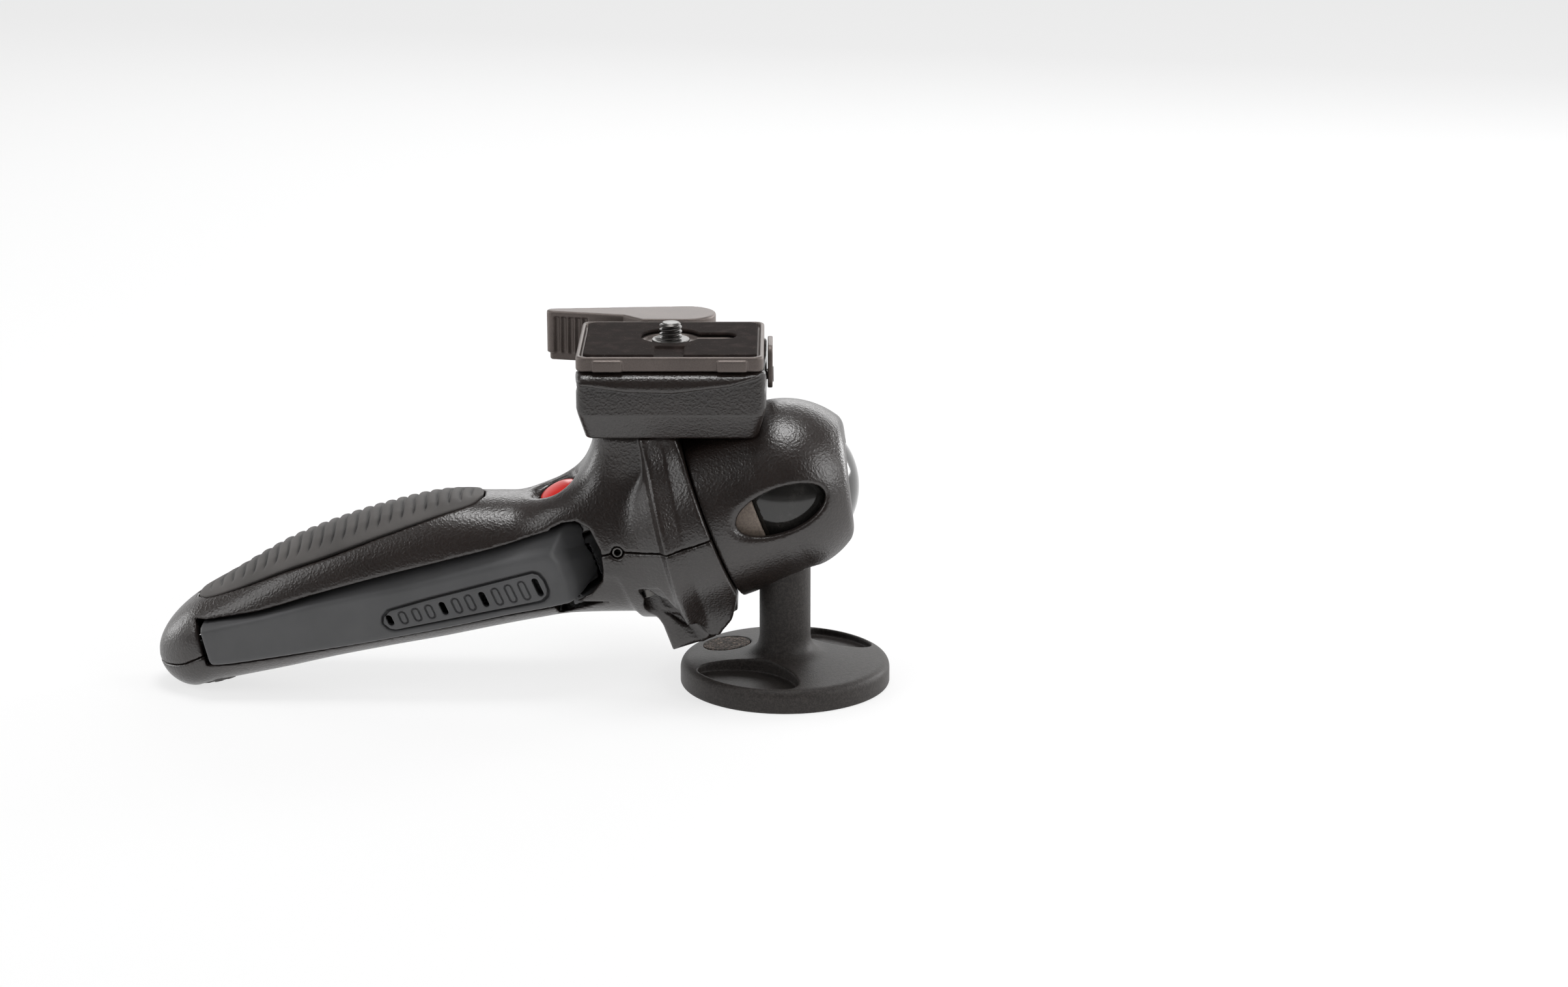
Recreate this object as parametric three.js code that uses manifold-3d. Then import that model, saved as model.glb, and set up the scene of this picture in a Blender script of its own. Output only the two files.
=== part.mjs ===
// Joystick ball head: a pistol grip lies on its side, a ball housing joins it to a round
// tripod base, and a quick-release clamp with its camera plate stands on the grip's neck.
// Millimetres, +Z up. The origin is the centre of the base's underside. The grip points
// along -X, its squeeze lever faces -Y, and the clamp lever is on the +Y side.
import * as THREE from 'three';
import { mergeVertices } from 'three/addons/utils/BufferGeometryUtils.js';
import Module from 'manifold-3d';

const wasm = await Module();
wasm.setup();

// Driving dimensions

const gap = 0.3; // between pieces that touch
const runningGap = 0.6; // round pieces that move past each other
const overrun = 2; // how far a cutter passes the face it cuts

// Base
const baseRadius = 30;
const baseRimHeight = 5.2;
const baseRimFillet = 1.5;
const baseTopRise = 1.6; // from the rim fillet to the foot of the stem
const baseFootChamfer = 0.5;
const stemRadius = 7.3;
const stemFlareRadius = 4.6;
const nearPocketReach = 29.6; // stem axis to the middle of the pocket's inner arc
const nearPocketRadius = 19.3;
const nearPocketTurn = 238.7; // degrees
const farPocketReach = 28.6;
const farPocketRadius = 14;
const farPocketTurn = 47.4; // degrees
const pocketRimWidth = 2.3;
const pocketDepth = 1.5;
const inlayReach = 19.8; // stem axis to the inlay's middle
const inlayRadius = 6.8;
const inlayTurn = 148.9; // degrees
const inlayThickness = 1;

// Tripod socket and the stud that holds the ball
const socketRadius = 4.6;
const bushRadius = 6.2;
const bushFlangeRadius = 9;
const bushFlangeThickness = 1.8;
const bushLength = 11;
const studRadius = 3.4;
const studInStem = 15;
const studInBall = 13;

// Ball and its housing
const ballHeight = 58; // ball centre above the ground
const ballRadius = 21;
const gripTilt = 21; // degrees, the housing's axis above the horizontal
const housingRadius = 25.2;
const housingDomeRadius = 24.9;
const housingLength = 21.7; // from the ball centre back to the collar
const housingBore = 21.5;
const facetDistance = 18.35; // ball centre to the flat at the front
const facetTurn = 14.4; // degrees, the flat's normal below the housing's axis
const facetRadius = 13.3;
const facetFillet = 6;
const spigotRadius = 23;
const spigotLength = 3.5;
const spigotFlangeRadius = 24.2;
const spigotFlangeThickness = 1.3;
const windowLength = 26;
const windowHeight = 12.8;
const windowChamferSize = 1.4;
const windowOffset = 1.3; // window centre behind the ball centre
const mouthRadius = 12.4;
const mouthOffset = 3;
const slotHalfWidth = 9.9;

// Pressure cup, spring and pull rod on the grip's axis
const cupFront = 8.2; // behind the ball centre
const cupBack = 24.4;
const cupShoulder = 17.5;
const cupBackRadius = 12;
const rodRadius = 3;
const rodTipRadius = 3.8;
const rodTipLength = 2.6;
const springRadius = 8.2; // centre line of the wire
const springWire = 1.3; // wire radius
const springTurns = 3;
const bulkheadRadius = 12.6;
const bulkheadThickness = 4;
const bulkheadFront = 37.5; // behind the ball centre
const nutRadius = 5.4;
const nutNoseRadius = 4.2;
const nutLength = 5;
const nutFront = 57.8; // behind the ball centre

// Collar and tail, around the grip's axis
const collarRadius = 27.6;
const collarRidgeRadius = 28.7;
const collarFront = 22;
const collarGroove = 31;
const collarRidge = 34;
const collarLength = 29; // along the axis
const tailHalfWidth = 14;
const tailRounding = 4;

// Grip body
const gripEndReach = 179.3; // stem axis to the grip's end
const gripRootReach = 40;
const gripGirthHeight = 40.8;
const gripGirthWidth = 37.2;
const gripCentreHeight = 33; // mean height of the grip's centre line
const gripEndRounding = 14;
const gripSquareness = 2.4; // superellipse power of the section
const gripWall = 2.6;
const gripCrownWall = 5.4; // under the palm pad
const gripCavityEndReach = 172;
const gripCavityRootReach = 70;
const splitTipHeight = 8.4; // the shells' joint beyond the grip's end
const splitEndHeight = 10.9;
const splitLeverHeight = 43.3; // at the lever's root
const splitRootHeight = 45;
const splitCollarHeight = 47.9;
const splitFrontHeight = 53.6;

// Neck below the clamp
const neckLength = 29; // at its seat
const neckHeight = 34;
const neckSeatReach = 54; // stem axis to the neck's far end at its seat
const neckHalfWidth = 14.5;
const neckSquareness = 3.6;

// Palm pad on the crown of the grip
const padEndReach = 167;
const padRootReach = 85.4;
const padThickness = 2.3;
const padAngle = 45; // degrees, half of its widest wrap round the grip
const ribCount = 24;
const ribHeight = 0.55;

// Red badge at the foot of the neck
const badgeRadius = 5.6;
const badgeThickness = 1.8;
const badgeDome = 0.8;
const badgeReach = 64.2;
const badgeHeight = 58.3;
const badgeTurn = 25; // degrees

// Squeeze lever in the grip's front side
const leverEndReach = 163.4;
const leverRootReach = 61.4;
const leverEndGap = 1.9; // at its free end, which swings outwards as it closes
const leverFaceDepth = 18.4; // lever face to the grip's middle plane
const leverInnerDepth = 8;
const leverBevelDepth = 13.8;
const leverWall = 2.2;
const leverArmDepth = 13;
const leverGap = 0.7; // between the lever and the edge of its window
const leverPivotBack = 60; // behind the ball centre
const leverPivotDepth = 8; // beyond the grip's middle plane
const leverPinRadius = 2;
const leverPinLength = 23;
const leverBossRadius = 4.2;
const yokeHalfHeight = 8;
const yokeArmThickness = 2;
const yokePlateThickness = 2.4;
const yokeHoleRadius = 4;
const plaqueLength = 47;
const plaqueThickness = 0.8;
const plaqueReach = 90.2; // stem axis to the plaque's middle
const plaqueHeight = 28.9;
const plaqueSlope = 15; // degrees
const plaqueHeightAcross = 8;
const plaqueProud = 0.6;
const slotCount = 12;
const slotPitch = 3.87;
const slotWidth = 1.7;
const slotEndHeight = 3.2;
const slotRootHeight = 5.6;
const bumpHeight = 0.35;
const throughSlots = [1, 5, 8, 12]; // the rest are raised bumps

// Friction dial under the grip's end
const dialReach = 161.5;
const dialRadius = 9;
const dialThickness = 3.4;
const dialHeight = 0.35; // its lowest edge above the ground
const dialTilt = 12; // degrees
const dialScrewRadius = 1.6;
const dialScrewHeadRadius = 3.4;
const dialScrewHeadLength = 1.4;
const dialScrewLength = 5.5;
const dialNotchCount = 14;

// Shell fasteners
const screwRadius = 1.5;
const screwHeadRadius = 2.7;
const screwHeadLength = 2.6;
const hexKeyRadius = 1.3;
const bossRadius = 3.6;
const gripScrewReaches = [128, 86];
const gripScrewDepth = 10;
const collarScrewReach = 38.6;
const collarScrewHeight = 33.6;
const collarScrewDepth = 15.6;
const collarScrewTurn = 20; // degrees
const collarTroughTurn = 42; // degrees
const collarScrewLength = 17;
const rollPinRadius = 1.5;
const rollPinBore = 0.9;
const rollPinLength = 3;
const rollPinDepth = 17; // its inner end from the middle plane
const rollPinReach = 46.8;
const rollPinHeight = 44.4;

// Clamp
const clampLength = 52.6;
const clampHalfWidth = 21;
const clampEndReach = 57.8;
const clampBottom = 76.3;
const clampBevelRise = 9.3;
const clampBevelHeight = clampBottom + clampBevelRise;
const clampBevelInset = 4.8;
const clampBevelEndInset = 2.4;
const clampFloorRise = 14.5;
const clampFloor = clampBottom + clampFloorRise;
const plateFootHeight = 5.5;
const clampLipTop = clampFloor + plateFootHeight;
const plateFlangeThickness = 4.2;
const plateTop = clampFloor + gap + plateFootHeight + plateFlangeThickness;
const clampRollHeight = 5.6; // of the bulging roll along the near lip
const clampRollProud = 0.9;
const clampCorner = 3;
const bracketThickness = 8;
const camLobeRadius = 6;
const camRise = 5.5; // above the channel's floor
const camTop = clampFloor + camRise;
const hubReach = 28.2; // stem axis to the clamp lever's hub
const hubDepth = 29.7; // behind the middle plane
const hubRadius = 8.3;
const clampLeverRise = 10.3;
const clampLeverBottom = clampBottom + clampLeverRise;
const clampLeverProud = 0.4; // above the plate's top
const clampLeverTop = plateTop + clampLeverProud;
const clampLeverTipReach = 68.8;
const clampLeverTipThickness = 4;
const clampLeverFoot = 2.2; // height of the plain foot below the flutes
const fluteCount = 5;
const fluteRadius = 0.85;
const fluteTopInset = 1.6; // below the lever's top
const clampPinRadius = 3;
const clampPinHeadRadius = 4.4;
const clampPinHeadHeight = 1.4;
const footInset = 0.8;
const clampScrewReaches = [48, 36];
const clampScrewRadius = 2.4;
const clampScrewHeadRadius = 4.4;
const clampScrewHeadLength = 3.4;
const clampScrewSink = 0.6;
const clampScrewLength = 22;
const catchThickness = 1.4;
const catchWidth = 15;
const catchHeight = 12.4;
const catchDepth = 8; // its pivot behind the middle plane
const catchRise = 9.7;
const catchBottom = clampBottom + catchRise;
const catchPivotRise = 2.6;
const catchPinRadius = 1.5;
const catchPinHeadRadius = 2.2;
const catchPinHeadHeight = 0.4;
const catchPinLength = 7;

// Camera plate
const plateEndInset = 0.1; // inside the clamp's far end
const plateRootInset = 0.7; // inside the clamp's near end
const plateLength = clampLength - plateEndInset - plateRootInset;
const plateEndReach = clampEndReach - plateEndInset;
const plateHalfWidth = 21;
const plateCorner = 2.4;
const plateFootTopHalfWidth = 17;
const plateFootHalfWidth = 18.3;
const plateFootEndInset = 1.6;
const plateRim = 1.4;
const padProud = 0.25;
const platePadThickness = 1;
const plateRecessRadius = 8;
const plateRecessDepth = 1.5;
const plateSlotRootInset = 8.2; // from the slot's end to the plate's
const plateSlotHalfWidth = 2.8;
const plateNotchHalfWidth = 3.6;
const plateNotchLength = 10;
const plateTabLength = 8;
const plateTabHeight = 2.7;
const plateTabProud = 0.45;
const plateTabOffset = 17.2; // from the plate's middle
const cameraScrewDepth = 3; // behind the middle plane
const cameraScrewRadius = 3.17;
const cameraScrewReach = 32.1;
const cameraScrewHeight = 4.1; // above the plate's top
const plateSlotLength = cameraScrewReach + plateLength - plateEndReach
  - plateSlotRootInset - plateSlotHalfWidth;
const cameraFlangeRadius = 5.3;
const cameraFlangeThickness = 0.6;
const cameraHeadRadius = 7;
const cameraHeadThickness = 2.6;
const coinSlotHalfWidth = 0.9;
const coinSlotDepth = 1.2;

// How finely round forms are cut into facets
const fineSides = 32;
const roundSides = 20;
const smallSides = 10;
const gripSides = 20;
const gripStations = 12;

// Finishes: warm black leather-fine coat, smooth charcoal, die-cast grey, rubber and steel
const finishes = {
  coat: { color: 0x46413e, roughness: 0.55, metalness: 0.3 },
  charcoal: { color: 0x4a4b4c, roughness: 0.45, metalness: 0.1 },
  rubber: { color: 0x3f3d3b, roughness: 0.8, metalness: 0 },
  sandedBlack: { color: 0x4c4845, roughness: 0.6, metalness: 0.4 },
  ballBlack: { color: 0x151414, roughness: 0.15, metalness: 0.2 },
  cupGrey: { color: 0x6c645e, roughness: 0.6, metalness: 0 },
  steel: { color: 0x8c8c8e, roughness: 0.3, metalness: 0.9 },
  darkSteel: { color: 0x3a3a3b, roughness: 0.3, metalness: 0.9 },
  springSteel: { color: 0x70706e, roughness: 0.35, metalness: 0.9 },
  dieCast: { color: 0x69605b, roughness: 0.5, metalness: 0.6 },
  brass: { color: 0xb08d4a, roughness: 0.35, metalness: 0.9 },
  platePad: { color: 0x2f2a28, roughness: 0.85, metalness: 0 },
  cork: { color: 0x5a4a41, roughness: 0.95, metalness: 0 },
  red: { color: 0xe13c32, roughness: 0.15, metalness: 0 },
};

// Helpers

const radians = THREE.MathUtils.degToRad;
const slant = radians(gripTilt);
const scratchVector = new THREE.Vector3();

/** The volume inside a closed triangle mesh, negative where its faces point in. */
function signedVolume(geometry) {
  const position = geometry.getAttribute('position');
  const index = geometry.getIndex();
  const corners = [new THREE.Vector3(), new THREE.Vector3(), new THREE.Vector3()];
  let sum = 0;
  for (let i = 0; i < index.count; i += 3) {
    corners.forEach((corner, k) => corner.fromBufferAttribute(position, index.getX(i + k)));
    sum += corners[0].dot(scratchVector.crossVectors(corners[1], corners[2])) / 6;
  }
  return sum;
}

/** A manifold solid from a closed geometry, moved by a matrix, with its faces outwards. */
function solid(geometry, matrix = null) {
  const bare = geometry.clone();
  bare.deleteAttribute('normal');
  bare.deleteAttribute('uv');
  if (matrix) bare.applyMatrix4(matrix);
  const merged = mergeVertices(bare, 1e-4);
  const index = Uint32Array.from(merged.getIndex().array);
  if (signedVolume(merged) < 0) {
    for (let i = 0; i < index.length; i += 3) {
      [index[i], index[i + 1]] = [index[i + 1], index[i]];
    }
  }
  const vertProperties = Float32Array.from(merged.getAttribute('position').array);
  return new wasm.Manifold(new wasm.Mesh({ numProp: 3, vertProperties, triVerts: index }));
}

/** A named mesh of a solid, placed by the middle of its box, with its own material. */
function piece(name, body, finish) {
  const result = body.getMesh();
  const geometry = new THREE.BufferGeometry();
  geometry.setAttribute('position', new THREE.BufferAttribute(result.vertProperties, 3));
  geometry.setIndex(new THREE.BufferAttribute(result.triVerts, 1));
  geometry.computeVertexNormals();
  geometry.computeBoundingBox();
  const mesh = new THREE.Mesh(geometry, new THREE.MeshStandardMaterial(finishes[finish]));
  mesh.name = name;
  geometry.boundingBox.getCenter(mesh.position);
  geometry.translate(-mesh.position.x, -mesh.position.y, -mesh.position.z);
  return mesh;
}

/** The union of several solids. */
const union = (first, ...rest) => rest.reduce((sum, body) => sum.add(body), first);

/** The first solid less all the others. */
const cut = (first, ...rest) => rest.reduce((left, body) => left.subtract(body), first);

/** A revolve about Z of [radius, height] points, closed on the axis or on itself. */
function revolve(points, sides = roundSides) {
  const profile = points.map(([r, z]) => new THREE.Vector2(r, z));
  if (points[0][0] !== 0) profile.push(profile[0].clone());
  return new THREE.LatheGeometry(profile, sides).rotateX(Math.PI / 2);
}

/** A plain round bar along Z between two heights. */
const bar = (radius, low, high, sides = roundSides) =>
  revolve([[0, low], [radius, low], [radius, high], [0, high]], sides);

/** Points of an arc about (x, y), from one angle to another in degrees. */
function arc(x, y, radius, from, to, steps) {
  return Array.from({ length: steps + 1 }, (_, i) => {
    const angle = radians(from + (to - from) * i / steps);
    return [x + radius * Math.cos(angle), y + radius * Math.sin(angle)];
  });
}

/** An outline in the XZ plane carried along Y, with rounded edges if a rounding is given. */
function slab(points, nearY, farY, rounding = 0) {
  const shape = new THREE.Shape(points.map(([x, z]) => new THREE.Vector2(x, z)));
  const options = rounding
    ? { depth: farY - nearY - 2 * rounding, bevelEnabled: true, bevelSegments: 3,
      bevelThickness: rounding, bevelSize: rounding, bevelOffset: -rounding, steps: 1 }
    : { depth: farY - nearY, bevelEnabled: false, steps: 1 };
  const geometry = new THREE.ExtrudeGeometry(shape, options).rotateX(Math.PI / 2);
  return geometry.translate(0, farY - rounding, 0);
}

/** An outline in the XY plane carried up from one height to another. */
function upright(points, low, high) {
  const shape = new THREE.Shape(points.map(([x, y]) => new THREE.Vector2(x, y)));
  const geometry = new THREE.ExtrudeGeometry(shape, { depth: high - low, bevelEnabled: false });
  return geometry.translate(0, 0, low);
}

/** The outline of a rectangle with round corners, centred on (x, y). */
function roundedRectangle(x, y, halfLength, halfWidth, corner, steps = 4) {
  return [
    ...arc(x + halfLength - corner, y - halfWidth + corner, corner, -90, 0, steps),
    ...arc(x + halfLength - corner, y + halfWidth - corner, corner, 0, 90, steps),
    ...arc(x - halfLength + corner, y + halfWidth - corner, corner, 90, 180, steps),
    ...arc(x - halfLength + corner, y - halfWidth + corner, corner, 180, 270, steps),
  ];
}

/** A closed skin over rings of equally many points, with a fan over each end. */
function loft(rings) {
  const count = rings[0].length;
  const vertices = rings.flat().flatMap((point) => [point.x, point.y, point.z]);
  const faces = [];
  for (let ring = 0; ring < rings.length - 1; ring += 1) {
    for (let i = 0; i < count; i += 1) {
      const next = (i + 1) % count;
      const a = ring * count + i;
      const b = ring * count + next;
      faces.push(a, b, b + count, a, b + count, a + count);
    }
  }
  [0, rings.length - 1].forEach((ring) => {
    const middle = rings[ring].reduce((sum, p) => sum.add(p), new THREE.Vector3())
      .divideScalar(count);
    const centre = vertices.length / 3;
    vertices.push(middle.x, middle.y, middle.z);
    for (let i = 0; i < count; i += 1) {
      const next = (i + 1) % count;
      const corners = [ring * count + i, ring * count + next];
      if (ring === 0) corners.reverse();
      faces.push(centre, ...corners);
    }
  });
  const geometry = new THREE.BufferGeometry();
  geometry.setAttribute('position', new THREE.Float32BufferAttribute(vertices, 3));
  geometry.setIndex(faces);
  return geometry;
}

/** A smooth curve through rows of [place, value, value, ...], as a function of the place. */
function smoothRows(rows) {
  const slope = (i, k) => {
    const before = rows[Math.max(i - 1, 0)];
    const after = rows[Math.min(i + 1, rows.length - 1)];
    return (after[k] - before[k]) / (after[0] - before[0]);
  };
  return (place) => {
    let i = 0;
    while (i < rows.length - 2 && place > rows[i + 1][0]) i += 1;
    const span = rows[i + 1][0] - rows[i][0];
    const t = THREE.MathUtils.clamp((place - rows[i][0]) / span, 0, 1);
    return rows[i].slice(1).map((value, j) => {
      const k = j + 1;
      const rise = rows[i + 1][k] - value;
      const start = slope(i, k) * span;
      const end = slope(i + 1, k) * span;
      return value + start * t + (3 * rise - 2 * start - end) * t ** 2
        + (start + end - 2 * rise) * t ** 3;
    });
  };
}

/** One point of a superellipse ring, at an angle from its first axis. */
function superellipse(angle, first, second, power) {
  const c = Math.cos(angle);
  const s = Math.sin(angle);
  return [
    first * Math.sign(c) * Math.abs(c) ** (2 / power),
    second * Math.sign(s) * Math.abs(s) ** (2 / power),
  ];
}

/** Rotation about Y by a turn, then a move. */
const placed = (x, y, z, turnY = 0) =>
  new THREE.Matrix4().makeTranslation(x, y, z)
    .multiply(new THREE.Matrix4().makeRotationY(turnY));

// The grip's axis frame: x runs forwards along the housing's axis, z is square to it.
const axisFrame = placed(0, 0, ballHeight, -slant);
// Turns a revolve about Z into one about the axis frame's x.
const alongAxis = axisFrame.clone().multiply(new THREE.Matrix4().makeRotationY(Math.PI / 2));

/** A revolve about the grip's axis of [place, radius] points, places counted backwards. */
const axisRevolve = (points, sides = fineSides) =>
  solid(revolve(points.map(([back, r]) => [r, -back]), sides), alongAxis);

// Base casting, its tripod bush, inlay and stud

const stemTop = ballHeight - Math.sqrt(ballRadius ** 2 - stemRadius ** 2) - gap;
const coneFoot = baseRimHeight + baseRimFillet;
const stemFoot = coneFoot + baseTopRise;

/** Outline of the part of the disc between a round scallop and the rim. */
function scallop(away, radius, rimRadius, turn) {
  const meet = Math.acos((rimRadius ** 2 + away ** 2 - radius ** 2) / (2 * away * rimRadius));
  const meetDegrees = THREE.MathUtils.radToDeg(meet);
  const inner = Math.atan2(rimRadius * Math.sin(meet), rimRadius * Math.cos(meet) - away);
  const innerDegrees = THREE.MathUtils.radToDeg(inner);
  const outline = [
    ...arc(0, 0, rimRadius, -meetDegrees, meetDegrees, 8),
    ...arc(away, 0, radius, innerDegrees, 360 - innerDegrees, 10).slice(1, -1),
  ];
  const turned = radians(turn);
  return outline.map(([x, y]) => [
    x * Math.cos(turned) - y * Math.sin(turned),
    x * Math.sin(turned) + y * Math.cos(turned),
  ]);
}

/** Height of the disc's shallow cone at a radius. */
const coneHeight = (radius) => {
  const outer = baseRadius - baseRimFillet;
  const inner = stemRadius + stemFlareRadius;
  return coneFoot + baseTopRise * (outer - radius) / (outer - inner);
};

const pocketRimRadius = baseRadius - pocketRimWidth;
const inlayBottom = coneHeight(inlayReach + inlayRadius) - inlayThickness + gap;
const inlayFrame = placed(inlayReach * Math.cos(radians(inlayTurn)),
  inlayReach * Math.sin(radians(inlayTurn)), 0);

function baseCasting() {
  const outside = [
    [0, 0],
    [baseRadius - baseFootChamfer, 0],
    [baseRadius, baseFootChamfer],
    ...arc(baseRadius - baseRimFillet, baseRimHeight, baseRimFillet, 0, 90, 2),
    ...arc(stemRadius + stemFlareRadius, stemFoot + stemFlareRadius, stemFlareRadius,
      262, 180, 4),
    [stemRadius, stemTop],
    [studRadius + gap, stemTop],
    [studRadius + gap, stemTop - studInStem - gap],
    [0, stemTop - studInStem - gap],
  ];
  const bushSeat = [
    [0, -overrun],
    [bushFlangeRadius + gap, -overrun],
    [bushFlangeRadius + gap, bushFlangeThickness + gap],
    [bushRadius + gap, bushFlangeThickness + gap],
    [bushRadius + gap, bushLength + gap],
    [0, bushLength + gap],
  ];
  const floor = coneHeight(pocketRimRadius) - pocketDepth;
  const high = stemFoot + pocketDepth;
  const pockets = [
    scallop(nearPocketReach, nearPocketRadius, pocketRimRadius, nearPocketTurn),
    scallop(farPocketReach, farPocketRadius, pocketRimRadius, farPocketTurn),
  ].map((outline) => solid(upright(outline, floor, high)));
  const seat = solid(bar(inlayRadius + gap, inlayBottom - gap, high), inlayFrame);
  return cut(solid(revolve(outside, fineSides)), solid(revolve(bushSeat)), ...pockets, seat);
}

function tripodBush() {
  return solid(revolve([
    [socketRadius, 0],
    [bushFlangeRadius, 0],
    [bushFlangeRadius, bushFlangeThickness],
    [bushRadius, bushFlangeThickness],
    [bushRadius, bushLength],
    [socketRadius, bushLength],
  ]));
}

function baseInlay() {
  return solid(bar(inlayRadius, inlayBottom, inlayBottom + inlayThickness), inlayFrame);
}

function stemStud() {
  const low = stemTop - studInStem;
  const high = stemTop + studInBall;
  return solid(bar(studRadius, low, high, smallSides));
}

// Ball, housing and pressure cup

function ballSolid() {
  const seat = stemTop + gap - ballHeight;
  const start = THREE.MathUtils.radToDeg(Math.asin(seat / ballRadius));
  const hole = studRadius + gap;
  return solid(revolve([
    [0, seat + studInBall + gap],
    [hole, seat + studInBall + gap],
    [hole, seat],
    ...arc(0, 0, ballRadius, start, 90, 13).slice(0, -1),
    [0, ballRadius],
  ], roundSides), placed(0, 0, ballHeight));
}

/** The housing's outside: cylinder, dome and rear spigot, flattened towards the front. */
function housingOutside() {
  const spigotEnd = housingLength + spigotLength;
  const blend = THREE.MathUtils.radToDeg(Math.acos(housingDomeRadius / housingRadius));
  const shell = axisRevolve([
    [spigotEnd, 0],
    [spigotEnd, spigotFlangeRadius],
    [spigotEnd - spigotFlangeThickness, spigotFlangeRadius],
    [spigotEnd - spigotFlangeThickness, spigotRadius],
    [housingLength, spigotRadius],
    [housingLength, housingRadius],
    [housingRadius * Math.sin(radians(blend)), housingRadius],
    ...arc(0, 0, housingDomeRadius, 90, 180, 8),
  ]);
  const far = housingRadius + spigotEnd + overrun;
  const front = new THREE.Matrix4().makeRotationY(radians(facetTurn));
  const toFacet = axisFrame.clone().multiply(front)
    .multiply(new THREE.Matrix4().makeRotationY(Math.PI / 2));
  const flat = revolve([
    [0, -far],
    [far, -far],
    [far, facetDistance - facetFillet - far / 4],
    [facetRadius + facetFillet + far / 4, facetDistance - facetFillet - far / 4],
    ...arc(facetRadius, facetDistance - facetFillet, facetFillet, 45, 90, 3),
    [0, facetDistance],
  ], fineSides);
  return shell.intersect(solid(flat, toFacet));
}

/** The window through one side wall, an ellipse with its chamfer. */
function windowCut(side) {
  const ring = (grow, depth) => Array.from({ length: roundSides }, (_, i) => {
    const angle = 2 * Math.PI * i / roundSides;
    const x = -windowOffset + (windowLength / 2 + grow) * Math.cos(angle);
    const z = (windowHeight / 2 + grow) * Math.sin(angle);
    return new THREE.Vector3(x, side * depth, z);
  });
  const skin = housingRadius - windowChamferSize;
  const rings = [
    ring(0, housingBore / 2),
    ring(0, skin),
    ring(windowChamferSize + overrun, skin + windowChamferSize + overrun),
  ];
  return solid(loft(rings), axisFrame);
}

function ballHousing() {
  const seatRadius = (ballRadius + gap) / Math.cos(Math.PI / roundSides);
  const bore = axisRevolve([
    [0, 0],
    [0, housingBore],
    [housingLength + spigotLength + overrun, housingBore],
    [housingLength + spigotLength + overrun, 0],
  ]);
  const seat = solid(new THREE.SphereGeometry(seatRadius, roundSides, roundSides / 2)
    .rotateX(Math.PI / 2), axisFrame);
  const mouth = solid(bar(mouthRadius, 0, ballHeight, fineSides), placed(mouthOffset, 0, 0));
  const reach = housingRadius + overrun;
  const sector = [[0, ballHeight], ...arc(0, ballHeight, reach, -90, 6, 8)];
  const slot = solid(slab(sector, -slotHalfWidth, slotHalfWidth));
  return cut(housingOutside(), bore, seat, mouth, slot, windowCut(-1), windowCut(1));
}

function pressureCup() {
  const innerRadius = ballRadius + gap;
  const outerRadius = housingBore - gap;
  const from = 180 - THREE.MathUtils.radToDeg(Math.acos(cupFront / innerRadius));
  const holeRadius = rodTipRadius + gap;
  const to = 180 - THREE.MathUtils.radToDeg(Math.asin(holeRadius / innerRadius));
  const inner = arc(0, 0, innerRadius, from, to, 5).map(([x, r]) => [-x, r]);
  const cup = axisRevolve([
    [cupBack, holeRadius],
    ...inner.reverse(),
    [cupFront, outerRadius],
    [cupShoulder, outerRadius],
    [cupBack, cupBackRadius],
  ]);
  const notch = solid(bar(stemRadius + runningGap, 0, ballHeight, roundSides));
  const relief = solid(slab([
    [0, 0],
    [housingRadius, 0],
    [housingRadius, ballHeight],
    [0, ballHeight],
  ], -stemRadius - runningGap, stemRadius + runningGap));
  return cut(cup, notch, relief);
}

// Spring, bulkhead, pull rod and nut

function mainSpring() {
  const front = cupBack + gap + springWire;
  const back = bulkheadFront - gap - springWire;
  const steps = 12 * springTurns;
  const points = Array.from({ length: steps + 1 }, (_, i) => {
    const angle = 2 * Math.PI * springTurns * i / steps;
    const place = front + (back - front) * i / steps;
    return new THREE.Vector3(-place, springRadius * Math.cos(angle), springRadius * Math.sin(angle));
  });
  const rings = points.map((point, i) => {
    const angle = 2 * Math.PI * springTurns * i / steps;
    const out = new THREE.Vector3(0, Math.cos(angle), Math.sin(angle));
    const side = new THREE.Vector3(1, 0, 0);
    return Array.from({ length: 6 }, (_, k) => {
      const turn = 2 * Math.PI * k / 6;
      return point.clone()
        .addScaledVector(out, springWire * Math.cos(turn))
        .addScaledVector(side, springWire * Math.sin(turn));
    });
  });
  const pitch = (back - front) / springTurns;
  console.log(`least gap between the spring's turns: ${(pitch - 2 * springWire).toFixed(2)}`);
  return solid(loft(rings), axisFrame);
}

function bulkhead() {
  const back = bulkheadFront + bulkheadThickness;
  return axisRevolve([
    [bulkheadFront, rodRadius + gap],
    [back, rodRadius + gap],
    [back, bulkheadRadius],
    [bulkheadFront, bulkheadRadius],
  ], roundSides);
}

function pullRod() {
  const tipFront = cupBack - rodTipLength;
  const rodEnd = nutFront + nutLength + nutLength / 2;
  return axisRevolve([
    [tipFront, 0],
    [tipFront, rodTipRadius],
    [cupBack + rodTipLength, rodTipRadius],
    [cupBack + rodTipLength, rodRadius],
    [rodEnd, rodRadius],
    [rodEnd, 0],
  ], smallSides);
}

function rodNut() {
  const back = nutFront + nutLength;
  const nose = nutFront + nutLength / 4;
  const hexagon = axisRevolve([
    [nutFront, 0],
    [nutFront, nutNoseRadius],
    [nose, nutRadius],
    [back, nutRadius],
    [back, 0],
  ], 6);
  const hole = axisRevolve([
    [nutFront - overrun, 0],
    [nutFront - overrun, rodRadius + gap],
    [back + overrun, rodRadius + gap],
    [back + overrun, 0],
  ], smallSides);
  return hexagon.subtract(hole);
}

// Grip shells

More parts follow.
